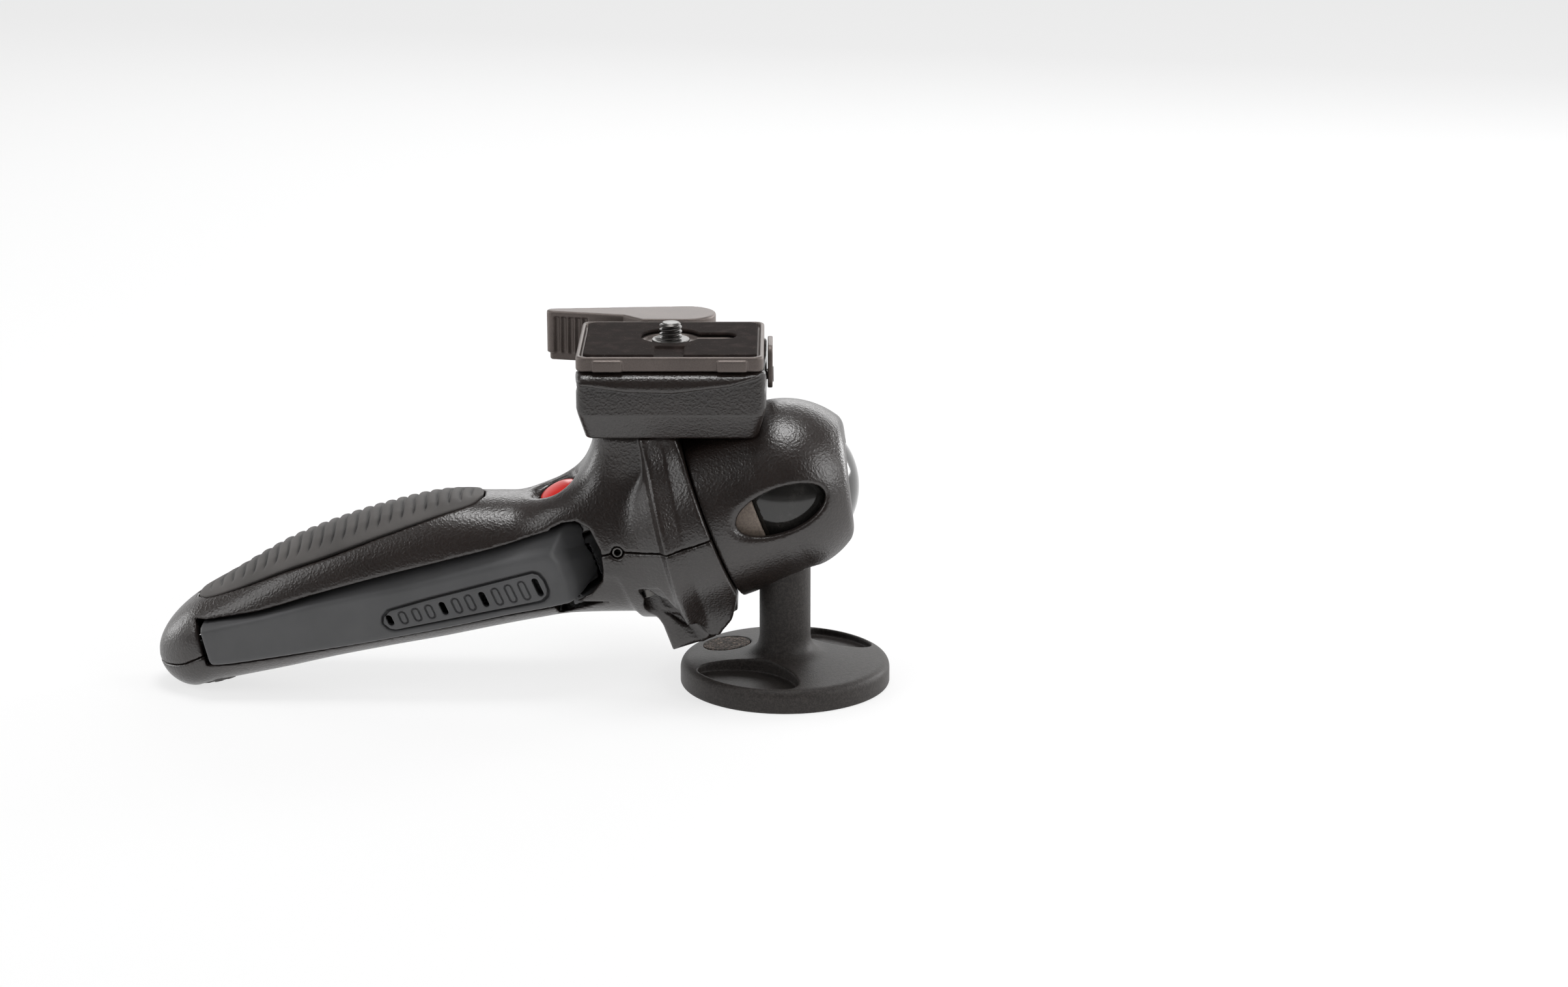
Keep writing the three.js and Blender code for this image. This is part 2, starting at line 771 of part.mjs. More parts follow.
// Rows along the grip from its end to its root: share of the length, height of the centre
// line as a share of gripCentreHeight, half height and half width as shares of the girth.
const gripShares = [
  [0, 0.288, 0.570, 0.65],
  [0.067, 0.361, 0.632, 0.78],
  [0.139, 0.485, 0.696, 0.87],
  [0.268, 0.703, 0.863, 0.96],
  [0.375, 0.851, 0.936, 1],
  [0.483, 0.970, 0.985, 1],
  [0.591, 1.063, 1, 0.995],
  [0.699, 1.115, 0.926, 0.995],
  [0.785, 1.152, 0.868, 1],
  [0.856, 1.197, 0.863, 1.01],
  [1, 1.272, 0.956, 1.08],
];
const gripLine = smoothRows(gripShares);
const gripLength = gripEndReach - gripRootReach;

/** Centre height, half height and half width of the grip at a reach from the stem. */
function gripSection(reach) {
  const share = (gripEndReach - reach) / gripLength;
  const [centre, tall, wide] = gripLine(share);
  const fromEnd = Math.min((gripEndReach - reach) / gripEndRounding, 1);
  const round = Math.sqrt(Math.max(1 - (1 - fromEnd) ** 2, 0));
  return {
    centre: centre * gripCentreHeight,
    tall: tall * gripGirthHeight / 2 * round,
    wide: wide * gripGirthWidth / 2 * round,
  };
}

/** One ring of the grip's outside, or of a skin inside it. */
function gripRing(reach, section) {
  return Array.from({ length: gripSides }, (_, i) => {
    const angle = 2 * Math.PI * (i + 0.5) / gripSides;
    const [y, z] = superellipse(angle, section.wide, section.tall, gripSquareness);
    return new THREE.Vector3(-reach, y, section.centre + z);
  });
}

function gripOutside() {
  const endSteps = 4;
  const reaches = [
    ...Array.from({ length: endSteps }, (_, i) =>
      gripEndReach - gripEndRounding * (1 - Math.cos(Math.PI / 2 * (i + 0.5) / endSteps))),
    ...Array.from({ length: gripStations }, (_, i) =>
      THREE.MathUtils.lerp(gripEndReach - gripEndRounding, gripRootReach,
        i / (gripStations - 1))),
  ];
  return solid(loft(reaches.map((reach) => gripRing(reach, gripSection(reach)))));
}

function gripCavity() {
  const length = gripCavityEndReach - gripCavityRootReach;
  const steps = 8;
  const rings = Array.from({ length: steps + 1 }, (_, i) => {
    const reach = gripCavityEndReach - length * i / steps;
    const { centre, tall, wide } = gripSection(reach);
    const low = centre - tall + gripWall;
    const high = centre + tall - gripCrownWall;
    const ends = Math.min(i / 2 + 0.4, 1);
    return gripRing(reach, {
      centre: (low + high) / 2,
      tall: (high - low) / 2 * ends,
      wide: (wide - gripWall) * ends,
    });
  });
  return solid(loft(rings));
}

// The neck from the clamp's seat down into the grip: share of the neck's height, and
// how far its end face stands beyond the seat's, as a share of the neck's length.
const neckTop = clampBottom - gap;
const neckShares = [
  [0, 0],
  [0.15, 0.02],
  [0.3, 0.09],
  [0.42, 0.19],
  [0.52, 0.33],
  [0.61, 0.50],
  [0.76, 0.58],
  [1, 0.52],
];

function neck() {
  const rings = neckShares.map(([down, flare]) => {
    const end = neckSeatReach + flare * neckLength;
    const root = neckSeatReach - neckLength;
    const wide = neckHalfWidth * (1 + flare / 4);
    return Array.from({ length: roundSides }, (_, i) => {
      const angle = 2 * Math.PI * (i + 0.5) / roundSides;
      const [x, y] = superellipse(angle, (end - root) / 2, wide, neckSquareness);
      return new THREE.Vector3(x - (end + root) / 2, y, neckTop - down * neckHeight);
    });
  });
  return solid(loft(rings));
}

// The collar's outline behind its ridge: share of its length, share of its radius.
const collarShares = [
  [0.52, 0.955],
  [0.66, 0.86],
  [0.83, 0.76],
  [1, 0.70],
];

function collar() {
  const chamfer = baseFootChamfer * 2;
  return axisRevolve([
    [collarFront, 0],
    [collarFront, collarRadius - chamfer],
    [collarFront + chamfer, collarRadius],
    [collarGroove - chamfer * 2, collarRadius],
    [collarGroove, collarRadius - chamfer / 2],
    [collarRidge - chamfer, collarRidgeRadius],
    [collarRidge + chamfer, collarRidgeRadius],
    ...collarShares.map(([back, r]) => [collarFront + back * collarLength, r * collarRidgeRadius]),
    [collarFront + collarLength, 0],
  ]);
}

// The tail's side view in the axis frame: shares of the collar's length back from its
// front, and of its ridge radius down from the axis.
const tailShares = [
  [0.03, 0.55],
  [0.03, 0.90],
  [0.13, 1.02],
  [0.40, 1.25],
  [0.64, 1.22],
  [0.88, 1.16],
  [0.93, 0.74],
  [0.93, 0.40],
  [0.30, 0.40],
];

function tail() {
  const outline = tailShares.map(([back, down]) =>
    [-collarFront - back * collarLength, -down * collarRidgeRadius]);
  return solid(slab(outline, -tailHalfWidth, tailHalfWidth, tailRounding), axisFrame);
}

// The squeeze lever seen from the side: place along it from its free end as a share of its
// length, then its lower edge, crease and upper edge as shares of the grip's girth.
const leverShares = [
  [0, 0.252, 0.520, 0.525],
  [0.046, 0.255, 0.547, 0.554],
  [0.155, 0.294, 0.603, 0.618],
  [0.3, 0.353, 0.691, 0.738],
  [0.444, 0.414, 0.765, 0.843],
  [0.552, 0.466, 0.814, 0.914],
  [0.697, 0.539, 0.907, 1.005],
  [0.84, 0.618, 0.995, 1.098],
  [0.948, 0.669, 1.049, 1.190],
  [1, 0.699, 1.070, 1.235],
];
const leverLine = smoothRows(leverShares);
const leverLength = leverEndReach - leverRootReach;
const leverPlace = ([along, up]) => [
  -leverEndReach + along * leverLength,
  up * gripGirthHeight,
];

/** Place along X, lower edge, crease and upper edge of the lever at a share of its length. */
function leverEdges(along) {
  const [low, crease, high] = leverLine(along).map((share) => share * gripGirthHeight);
  return { x: -leverEndReach + along * leverLength, low, crease, high };
}

// The window's round end beyond the lever's root, and the lever's own curved end face.
const windowEndShares = [
  [0.99, 1.275],
  [1.028, 1.292],
  [1.062, 1.245],
  [1.088, 1.090],
  [1.094, 0.966],
  [1.084, 0.895],
  [1.06, 0.830],
];
const leverEndShares = [
  [0.946, 1.5],
  [0.946, 1.064],
  [0.975, 0.973],
  [0.994, 0.855],
  [1, 0.716],
  [0.987, 0.660],
  [0.987, 0],
  [1.2, 0],
  [1.2, 1.5],
];

/** The opening in the shells that the lever moves in. */
function leverWindow() {
  const steps = 12;
  const edges = Array.from({ length: steps + 1 }, (_, i) => leverEdges(i / steps));
  const endX = -leverEndReach - leverEndGap;
  const outline = [
    [endX, edges[0].high],
    ...edges.map(({ x, high }) => [x, high + leverGap]),
    ...edges.reverse().map(({ x, low }) => [x, low - leverGap]),
    [endX, edges[edges.length - 1].low],
  ];
  const deep = solid(slab(outline, -gripGirthWidth, gripGirthWidth / 8));
  const root = leverEdges(1);
  const pocket = [
    [root.x - leverBossRadius, root.low],
    [root.x - leverBossRadius, root.high],
    ...windowEndShares.map(leverPlace),
    [root.x, root.low - leverGap],
  ];
  const shallow = solid(slab(pocket, -gripGirthWidth, -leverInnerDepth + gap));
  return deep.add(shallow);
}

/** Clearance in both shells round the yoke, the nut and the rod's end. */
function yokePocket() {
  const front = nutFront - yokePlateThickness - leverGap - overrun;
  const back = leverPivotBack + leverBossRadius + overrun + nutLength;
  const high = yokeHalfHeight + runningGap + 2 * gap;
  const outline = [[-back, -high], [-front, -high], [-front, high], [-back, high]];
  const far = leverPivotDepth + leverBossRadius + runningGap;
  return solid(slab(outline, -leverFaceDepth + gripWall, far), axisFrame);
}

/** Bores along the axis for the housing's spigot, the spring, bulkhead and rod. */
function axisBores() {
  const spigotEnd = housingLength + spigotLength + gap;
  const bulkheadBack = bulkheadFront + bulkheadThickness + gap;
  const throat = bulkheadRadius / 2 + gap;
  return axisRevolve([
    [collarFront - overrun, 0],
    [collarFront - overrun, spigotRadius + gap],
    [spigotEnd - spigotFlangeThickness - 2 * gap, spigotRadius + gap],
    [spigotEnd - spigotFlangeThickness - 2 * gap, spigotFlangeRadius + gap],
    [spigotEnd, spigotFlangeRadius + gap],
    [spigotEnd, bulkheadRadius + gap],
    [bulkheadBack, bulkheadRadius + gap],
    [bulkheadBack, throat],
    [nutFront, throat],
    [nutFront, 0],
  ], roundSides);
}

const splitLine = [
  [-gripEndReach - gripEndRounding, splitTipHeight],
  [-gripEndReach + gripEndRounding, splitEndHeight],
  [-gripCavityRootReach + gripGirthWidth / 2, splitLeverHeight],
  [-gripRootReach, splitRootHeight],
  [-gripRootReach + gripEndRounding, splitCollarHeight],
  [-gripRootReach + 2 * gripEndRounding, splitFrontHeight],
];

/** The half of space above or below the joint between the shells. */
function splitSide(up) {
  const shift = up ? gap / 2 : -gap / 2;
  const edge = splitLine.map(([x, z]) => [x, z + shift]);
  const far = up ? 2 * ballHeight : -ballHeight;
  const outline = [...edge, [edge[edge.length - 1][0], far], [edge[0][0], far]];
  if (up) outline.reverse();
  return solid(slab(outline, -gripGirthWidth, gripGirthWidth));
}

/** A height on the shells' joint above a given place along X. */
function splitHeight(x) {
  const i = splitLine.findIndex(([end]) => end > x);
  const [x0, z0] = splitLine[i - 1];
  const [x1, z1] = splitLine[i];
  return z0 + (z1 - z0) * (x - x0) / (x1 - x0);
}

const gripScrewSeat = (reach) => {
  const { centre, tall } = gripSection(reach);
  return centre - tall + gripWall + screwHeadLength;
};
const gripScrewTop = (reach) => splitHeight(-reach) + 3 * screwHeadLength;
const collarSides = [-collarScrewDepth, collarScrewDepth];
const collarScrewFrames = collarSides.map((y) =>
  placed(-collarScrewReach, y, collarScrewHeight, -radians(collarScrewTurn)));
const collarTroughFrames = collarSides.map((y) =>
  placed(-collarScrewReach, y, collarScrewHeight, -radians(collarTroughTurn)));

/** Posts, before the shells are split, that the grip's screws run through. */
const gripPosts = () => gripScrewReaches.map((reach) =>
  solid(bar(bossRadius, 0, ballHeight, smallSides), placed(-reach, gripScrewDepth, 0)));

function gripScrewCuts() {
  return gripScrewReaches.flatMap((reach) => {
    const seat = gripScrewSeat(reach);
    const top = gripScrewTop(reach) + gap;
    return [
      solid(bar(screwHeadRadius + gap, -overrun, seat, smallSides),
        placed(-reach, gripScrewDepth, 0)),
      solid(bar(screwRadius + gap, 0, top, smallSides), placed(-reach, gripScrewDepth, 0)),
    ];
  });
}

/** Shaft hole of a screw beside the collar, and the trough that its head is reached by. */
function collarScrewCuts(frame, troughFrame) {
  const seat = bar(screwHeadRadius + gap, -collarLength, 0, smallSides);
  const hole = solid(bar(screwRadius + gap, -overrun, collarScrewLength + gap, smallSides),
    frame);
  return [solid(seat, frame), solid(seat, troughFrame), hole];
}

const leverPinFrame = axisFrame.clone().multiply(placed(-leverPivotBack, leverPivotDepth, 0));

const dialLow = dialHeight + dialRadius * Math.sin(radians(dialTilt));
const dialFrame = placed(-dialReach, 0, dialLow, -radians(dialTilt));

const badgeFrame = placed(-badgeReach, 0, badgeHeight, -radians(badgeTurn));

function badgePocket() {
  return solid(bar(badgeRadius + 2 * gap, -badgeThickness - gap, badgeRadius, roundSides),
    badgeFrame);
}

// Half of the palm pad's wrap along its length, as a share of its widest.
const padWrapShares = [
  [0, 0.18],
  [0.04, 0.50],
  [0.13, 0.74],
  [0.225, 0.89],
  [0.34, 0.97],
  [0.45, 1],
  [0.545, 0.98],
  [0.636, 0.93],
  [0.73, 0.87],
  [0.82, 0.78],
  [0.91, 0.62],
  [0.97, 0.42],
  [1, 0.15],
];
const padWrap = smoothRows(padWrapShares);

/** The palm pad grown on all sides: a curved slice of the grip's crown, ribbed or plain. */
function padSkin(grow, ribbed) {
  const steps = ribbed ? 2 * ribCount : ribCount;
  const across = 6;
  const length = padEndReach - padRootReach;
  const rings = Array.from({ length: steps + 1 }, (_, i) => {
    const along = i / steps;
    const reach = padEndReach + grow - (length + 2 * grow) * along;
    const { centre, tall, wide } = gripSection(reach);
    const wrap = radians(padAngle) * padWrap(along)[0] + 4 * grow / gripGirthWidth;
    const isRib = ribbed && i % 2 === 1;
    const under = padThickness + grow;
    const outer = [];
    const inner = [];
    for (let k = 0; k <= across; k += 1) {
      const angle = Math.PI / 2 - wrap + 2 * wrap * k / across;
      const onRim = k === 0 || k === across;
      const raise = (isRib && !onRim ? ribHeight : 0) + grow;
      const [y, z] = superellipse(angle, wide + raise, tall + raise, gripSquareness);
      outer.push(new THREE.Vector3(-reach, y, centre + z));
      const [iy, iz] = superellipse(angle, wide - under, tall - under, gripSquareness);
      inner.push(new THREE.Vector3(-reach, iy, centre + iz));
    }
    return [...outer, ...inner.reverse()];
  });
  return solid(loft(rings));
}

/** Both shells before they are split: grip, neck, collar and tail, hollowed. */
function shellBlank() {
  const ahead = solid(slab([
    [-collarFront, -ballHeight],
    [ballHeight, -ballHeight],
    [ballHeight, ballHeight],
    [-collarFront, ballHeight],
  ], -gripGirthWidth, gripGirthWidth), axisFrame);
  const grip = gripOutside();
  const outside = union(grip, neck(), collar(), tail());
  const hollow = cut(outside, ahead, gripCavity(), axisBores(), yokePocket());
  const dialSeat = solid(bar(dialRadius + gripWall, 0, dialLow + 2 * dialThickness), placed(
    -dialReach, 0, 0)).intersect(grip);
  const posts = gripPosts().map((post) => post.intersect(grip));
  return cut(union(hollow, dialSeat, ...posts), leverWindow(), ...gripScrewCuts(),
    ...collarScrewCuts(collarScrewFrames[0], collarTroughFrames[0]),
    ...collarScrewCuts(collarScrewFrames[1], collarTroughFrames[1]),
    solid(bar(leverPinRadius + gap, -leverPinLength / 2 - gap, leverPinLength / 2 + gap,
      smallSides), leverPinFrame),
    solid(bar(rollPinRadius + gap, rollPinDepth - gap, gripGirthWidth, smallSides)
      .rotateX(Math.PI / 2), placed(-rollPinReach, 0, rollPinHeight)),
    solid(bar(dialRadius + gap, -ballHeight, dialThickness + gap), dialFrame),
    solid(bar(dialScrewRadius + gap, 0, dialScrewHeadLength + dialScrewLength + 2 * gap,
      smallSides), dialFrame));
}

const blank = shellBlank();

const gripLowerShell = () => blank.intersect(splitSide(false));

const clampScrewHeadTop = clampFloor - clampScrewSink;
const clampScrewSeat = clampScrewHeadTop - clampScrewHeadLength;

function gripUpperShell() {
  const screwHoles = clampScrewReaches.map((reach) =>
    solid(bar(clampScrewRadius + gap, clampScrewSeat - clampScrewLength - gap, clampFloor,
      smallSides), placed(-reach, 0, 0)));
  return cut(blank.intersect(splitSide(true)), padSkin(gap, false), badgePocket(),
    ...screwHoles);
}

// Small pieces set into the grip

function badge() {
  const edge = badgeThickness - badgeDome;
  return solid(revolve([
    [0, -badgeThickness],
    [badgeRadius, -badgeThickness],
    [badgeRadius, -badgeDome],
    [badgeRadius * 0.9, -badgeDome + edge * 0.4],
    [badgeRadius * 0.6, -badgeDome + edge * 0.7],
    [0, 0],
  ]), badgeFrame);
}

/** A socket-head screw pointing up: its head hangs below zero, its shaft rises from it. */
function socketScrew(headRadius, headLength, shaftRadius, shaftLength, keyRadius) {
  const blankScrew = solid(revolve([
    [0, -headLength],
    [headRadius, -headLength],
    [headRadius, 0],
    [shaftRadius, 0],
    [shaftRadius, shaftLength],
    [0, shaftLength],
  ], smallSides));
  const key = solid(bar(keyRadius, -headLength - overrun, -headLength + headLength / 2, 6));
  return cut(blankScrew, key);
}

function gripScrew(reach) {
  const seat = gripScrewSeat(reach) - gap;
  const length = gripScrewTop(reach) - seat;
  return socketScrew(screwHeadRadius, screwHeadLength, screwRadius, length, hexKeyRadius)
    .translate(-reach, gripScrewDepth, seat);
}

const transformed = (body, matrix) => body.transform(matrix.elements);

function collarScrew(frame) {
  const lowered = frame.clone().multiply(placed(0, 0, -gap));
  return transformed(socketScrew(screwHeadRadius, screwHeadLength, screwRadius,
    collarScrewLength, hexKeyRadius), lowered);
}

function rollPin() {
  return solid(revolve([
    [rollPinBore, rollPinDepth],
    [rollPinRadius, rollPinDepth],
    [rollPinRadius, rollPinDepth + rollPinLength],
    [rollPinBore, rollPinDepth + rollPinLength],
  ], smallSides).rotateX(Math.PI / 2), placed(-rollPinReach, 0, rollPinHeight));
}

const leverPivotPin = () =>
  solid(bar(leverPinRadius, -leverPinLength / 2, leverPinLength / 2, smallSides), leverPinFrame);

// Squeeze lever with its yoke, and the plaque on its face

/** A ring across the lever, drawn in by a wall for the skin inside it. */
function leverRing(along, wall) {
  const { x, low, crease, high } = leverEdges(along);
  const edge = leverWall / 2;
  const near = Math.min(along * leverLength / leverWall, 1);
  const face = THREE.MathUtils.lerp(leverBevelDepth, leverFaceDepth, near) - wall;
  const inner = leverInnerDepth - (wall ? overrun : 0);
  const bevel = Math.min(leverBevelDepth, face + wall) - wall;
  return [
    [-inner, low + wall],
    [-face + edge, low + wall],
    [-face, low + wall + edge],
    [-face, crease - wall - edge],
    [-face + edge / 2, crease - wall],
    [-bevel, high - wall],
    [-inner, high - wall],
  ].map(([y, z]) => new THREE.Vector3(x, y, z));
}

function leverSkin(from, to, wall) {
  const steps = wall ? 8 : 14;
  const places = Array.from({ length: steps + 1 }, (_, i) => from + (to - from) * i / steps);
  if (!wall) places.splice(1, 0, leverWall / leverLength);
  return solid(loft(places.map((along) => leverRing(along, wall))));
}

// The plaque's outline in its own frame: shares of its length and of its height.
const plaqueShares = [
  [-0.437, -0.300],
  [-0.470, -0.200],
  [-0.497, 0.030],
  [-0.485, 0.240],
  [-0.440, 0.400],
  [-0.2, 0.440],
  [0.2, 0.440],
  [0.446, 0.440],
  [0.478, 0.330],
  [0.498, 0.080],
  [0.504, -0.260],
  [0.492, -0.450],
  [0.455, -0.570],
  [0.425, -0.575],
];
const plaqueFrame = placed(-plaqueReach, 0, plaqueHeight, -radians(plaqueSlope));

const plaqueOutline = (grow) => plaqueShares.map(([along, up]) => [
  along * (plaqueLength + 2 * grow),
  up * (plaqueHeightAcross + 2 * grow),
]);

function gripLever() {
  const skin = leverSkin(0, 1, 0);
  const inside = leverSkin(leverWall / leverLength * 2, 0.86, leverWall);
  const endFace = solid(slab(leverEndShares.map(leverPlace), -2 * leverFaceDepth, 0));
  const plaqueFloor = leverFaceDepth - plaqueThickness + plaqueProud - gap;
  const plaqueSeat = solid(slab(plaqueOutline(gap), -2 * leverFaceDepth, -plaqueFloor),
    plaqueFrame);
  const body = cut(skin, inside, endFace, plaqueSeat);
  const front = -nutFront + 2 * gap + yokePlateThickness;
  const back = -leverPivotBack - leverBossRadius - yokePlateThickness;
  const arm = solid(slab([
    [back - 3 * leverBossRadius, -yokeHalfHeight / 2],
    [front, -yokeHalfHeight / 2],
    [front, yokeHalfHeight],
    [back - 3 * leverBossRadius, yokeHalfHeight],
  ], -leverArmDepth, -leverInnerDepth), axisFrame);
  const cheek = upright([
    [back, -leverArmDepth],
    [front, -leverArmDepth],
    [front, leverPivotDepth / 2],
    ...arc(-leverPivotBack, leverPivotDepth, leverBossRadius, -10, 180, 8),
    [back + leverBossRadius / 2, 0],
  ], yokeHalfHeight - yokeArmThickness, yokeHalfHeight);
  const yokePlate = solid(slab([
    [front - yokePlateThickness, -yokeHalfHeight],
    [front, -yokeHalfHeight],
    [front, yokeHalfHeight],
    [front - yokePlateThickness, yokeHalfHeight],
  ], -leverArmDepth, leverPivotDepth / 2), axisFrame);
  const drop = placed(0, 0, yokeArmThickness - 2 * yokeHalfHeight);
  const cheeks = [solid(cheek, axisFrame), solid(cheek, axisFrame.clone().multiply(drop))];
  const rodHole = axisRevolve([
    [nutFront - 3 * yokePlateThickness, 0],
    [nutFront - 3 * yokePlateThickness, yokeHoleRadius],
    [nutFront, yokeHoleRadius],
    [nutFront, 0],
  ], smallSides);
  const nutRoom = axisRevolve([
    [nutFront - 2 * gap, 0],
    [nutFront - 2 * gap, yokeHalfHeight - yokeArmThickness],
    [nutFront + 3 * nutLength, yokeHalfHeight - yokeArmThickness],
    [nutFront + 3 * nutLength, 0],
  ], smallSides);
  const pinHole = solid(bar(leverPinRadius + gap, -ballHeight, ballHeight, smallSides),
    leverPinFrame);
  return cut(union(body, arm, yokePlate, ...cheeks), rodHole, nutRoom, pinHole);
}

/** A slot's outline: an upright bar with round ends. */
const capsule = (x, z, height, width) => [
  ...arc(x, z + (height - width) / 2, width / 2, 0, 180, 3),
  ...arc(x, z - (height - width) / 2, width / 2, 180, 360, 3),
];

function leverPlaque() {
  const outer = -leverFaceDepth - plaqueProud;
  const slots = Array.from({ length: slotCount }, (_, i) => {
    const share = i / (slotCount - 1);
    const x = (i - (slotCount - 1) / 2) * slotPitch;
    const z = THREE.MathUtils.lerp(plaqueHeightAcross, -plaqueHeightAcross, share) / 12;
    const height = THREE.MathUtils.lerp(slotEndHeight, slotRootHeight, share);
    return capsule(x, z, height, slotWidth);
  });
  const deep = plaqueThickness + overrun;
  const parts = slots.map((outline, i) => (throughSlots.includes(i + 1)
    ? { hole: solid(slab(outline, outer - deep, outer + deep)) }
    : { bump: solid(slab(outline, outer - bumpHeight, outer + plaqueThickness / 2)) }));
  const face = solid(slab(plaqueOutline(0), outer, outer + plaqueThickness));
  const raised = union(face, ...parts.filter(({ bump }) => bump).map(({ bump }) => bump));
  const pierced = cut(raised, ...parts.filter(({ hole }) => hole).map(({ hole }) => hole));
  return transformed(pierced, plaqueFrame);
}

// Friction dial and its screw

function frictionDial() {
  const notches = Array.from({ length: dialNotchCount }, (_, i) => {
    const angle = 2 * Math.PI * i / dialNotchCount;
    return solid(bar(dialScrewRadius / 2, -overrun, dialThickness + overrun, 6),
      placed(dialRadius * Math.cos(angle), dialRadius * Math.sin(angle), 0));
  });
  const seat = solid(bar(dialScrewHeadRadius + gap, -overrun, dialScrewHeadLength + gap));
  const hole = solid(bar(dialScrewRadius + gap, -overrun, dialThickness + overrun, smallSides));
  const disc = solid(revolve([
    [0, 0],
    [dialRadius - baseFootChamfer, 0],
    [dialRadius, baseFootChamfer],
    [dialRadius, dialThickness],
    [0, dialThickness],
  ]));
  return transformed(cut(disc, seat, hole, ...notches), dialFrame);
}

function dialScrew() {
  const lift = dialScrewHeadLength;
  return transformed(socketScrew(dialScrewHeadRadius, dialScrewHeadLength - gap / 2,
    dialScrewRadius, dialScrewLength, hexKeyRadius), dialFrame.clone()
    .multiply(placed(0, 0, lift)));
}

// Clamp

const clampMiddle = -clampEndReach + clampLength / 2;
const catchFrame = placed(-clampEndReach + clampLength, catchDepth,
  catchBottom + catchPivotRise);
const hubFrame = placed(-hubReach, hubDepth, 0);
const lobeReach = hubDepth - plateFootHalfWidth - 2 * gap;

/** A level ring of the clamp's block, drawn in at its ends and at its sides. */
const clampRing = (z, endInset, sideInset) => roundedRectangle(clampMiddle, 0,
  clampLength / 2 - endInset, clampHalfWidth - sideInset, clampCorner)
  .map(([x, y]) => new THREE.Vector3(x, y, z));

/** An outline in the YZ plane carried along X. */
function rail(points, startX, endX) {
  const shape = new THREE.Shape(points.map(([y, z]) => new THREE.Vector2(y, z)));
  const geometry = new THREE.ExtrudeGeometry(shape, { depth: endX - startX,
    bevelEnabled: false });
  const basis = new THREE.Matrix4().makeBasis(new THREE.Vector3(0, 1, 0),
    new THREE.Vector3(0, 0, 1), new THREE.Vector3(1, 0, 0));
  return geometry.applyMatrix4(basis).translate(startX, 0, 0);
}

/** The housing and collar grown by the gap, which the clamp and the neck fit over. */
const housingRoom = () => axisRevolve([
  [collarFront, 0],
  [collarFront, housingRadius + gap],
  [0, housingRadius + gap],
  ...arc(0, 0, housingRadius + gap, 90, 180, 8).slice(1),
]);

// Lower edge of the near lip's roll: shares of the clamp's length from its far end, and of
// the roll's height below the lip's top.
const rollShares = [
  [0, 0.66],
  [0.06, 0.66],
  [0.15, 0.79],
  [0.265, 0.93],
  [0.51, 1],
  [0.81, 0.66],
  [0.95, 0.29],
  [1, 0.1],
];

function clampBody() {
  const block = solid(loft([
    clampRing(clampBottom, clampBevelEndInset, clampBevelInset),
    clampRing(clampBevelHeight, 0, 0),
    clampRing(clampLipTop, 0, 0),
  ]));
  const bracketTop = clampLeverBottom - gap;
  const bracket = solid(upright([
    ...arc(-hubReach, hubDepth, hubRadius, 0, 180, 12),
    [-hubReach - hubRadius, clampHalfWidth - clampBevelInset - overrun],
    [-hubReach + hubRadius, clampHalfWidth - clampBevelInset - overrun],
  ], bracketTop - bracketThickness, bracketTop));
  const flankTop = plateTop - plateFlangeThickness;
  const channel = solid(rail([
    [-plateFootHalfWidth - gap, clampFloor],
    [plateFootHalfWidth + gap, clampFloor],
    [plateFootTopHalfWidth + gap, flankTop],
    [-plateFootTopHalfWidth - gap, flankTop],
  ], -clampEndReach - overrun, -clampEndReach + clampLength + overrun));
  const belowRoll = solid(slab([
    ...rollShares.map(([along, down]) => [-clampEndReach + along * clampLength,
      clampLipTop - down * clampRollHeight]),
    [-clampEndReach + clampLength + overrun, clampLipTop - rollShares.at(-1)[1]
      * clampRollHeight],
    [-clampEndReach + clampLength + overrun, clampBottom - overrun],
    [-clampEndReach - overrun, clampBottom - overrun],
    [-clampEndReach - overrun, clampLipTop - rollShares[0][1] * clampRollHeight],
  ].reverse(), -clampHalfWidth - overrun, -clampHalfWidth + clampRollProud));
  const camRoom = solid(bar(lobeReach + gap, bracketTop, plateTop, fineSides), hubFrame);
  const pinHole = solid(bar(clampPinRadius + gap, 0, plateTop, smallSides), hubFrame);
  const screwCuts = clampScrewReaches.flatMap((reach) => [
    solid(bar(clampScrewHeadRadius + gap, clampScrewSeat - gap, plateTop), placed(-reach, 0, 0)),
    solid(bar(clampScrewRadius + gap, 0, plateTop, smallSides), placed(-reach, 0, 0)),
  ]);
  const catchHole = solid(bar(catchPinRadius + gap, -catchPinLength, overrun, smallSides)
    .rotateY(Math.PI / 2), catchFrame);
  return cut(block.add(bracket), channel, belowRoll, camRoom, pinHole, housingRoom(), catchHole,
    ...screwCuts);
}

/** A clamp screw, head up, in the channel's floor. */
function clampScrew(reach) {
  const flip = new THREE.Matrix4().makeRotationX(Math.PI);
  return transformed(socketScrew(clampScrewHeadRadius, clampScrewHeadLength, clampScrewRadius,
    clampScrewLength, clampScrewRadius * 0.8), placed(-reach, 0, clampScrewSeat).multiply(flip));
}

// The clamp lever's blade in plan: shares of its length out from the hub, and of the hub's
// radius away from the clamp.
const bladeNearShares = [
  [0.448, -0.373],
  [0.315, -0.988],
];
const bladeFarShares = [[0.451, 0.855]];
const bladeTipShare = 0.42;
const fluteSpanShare = 0.5; // of the straight near side

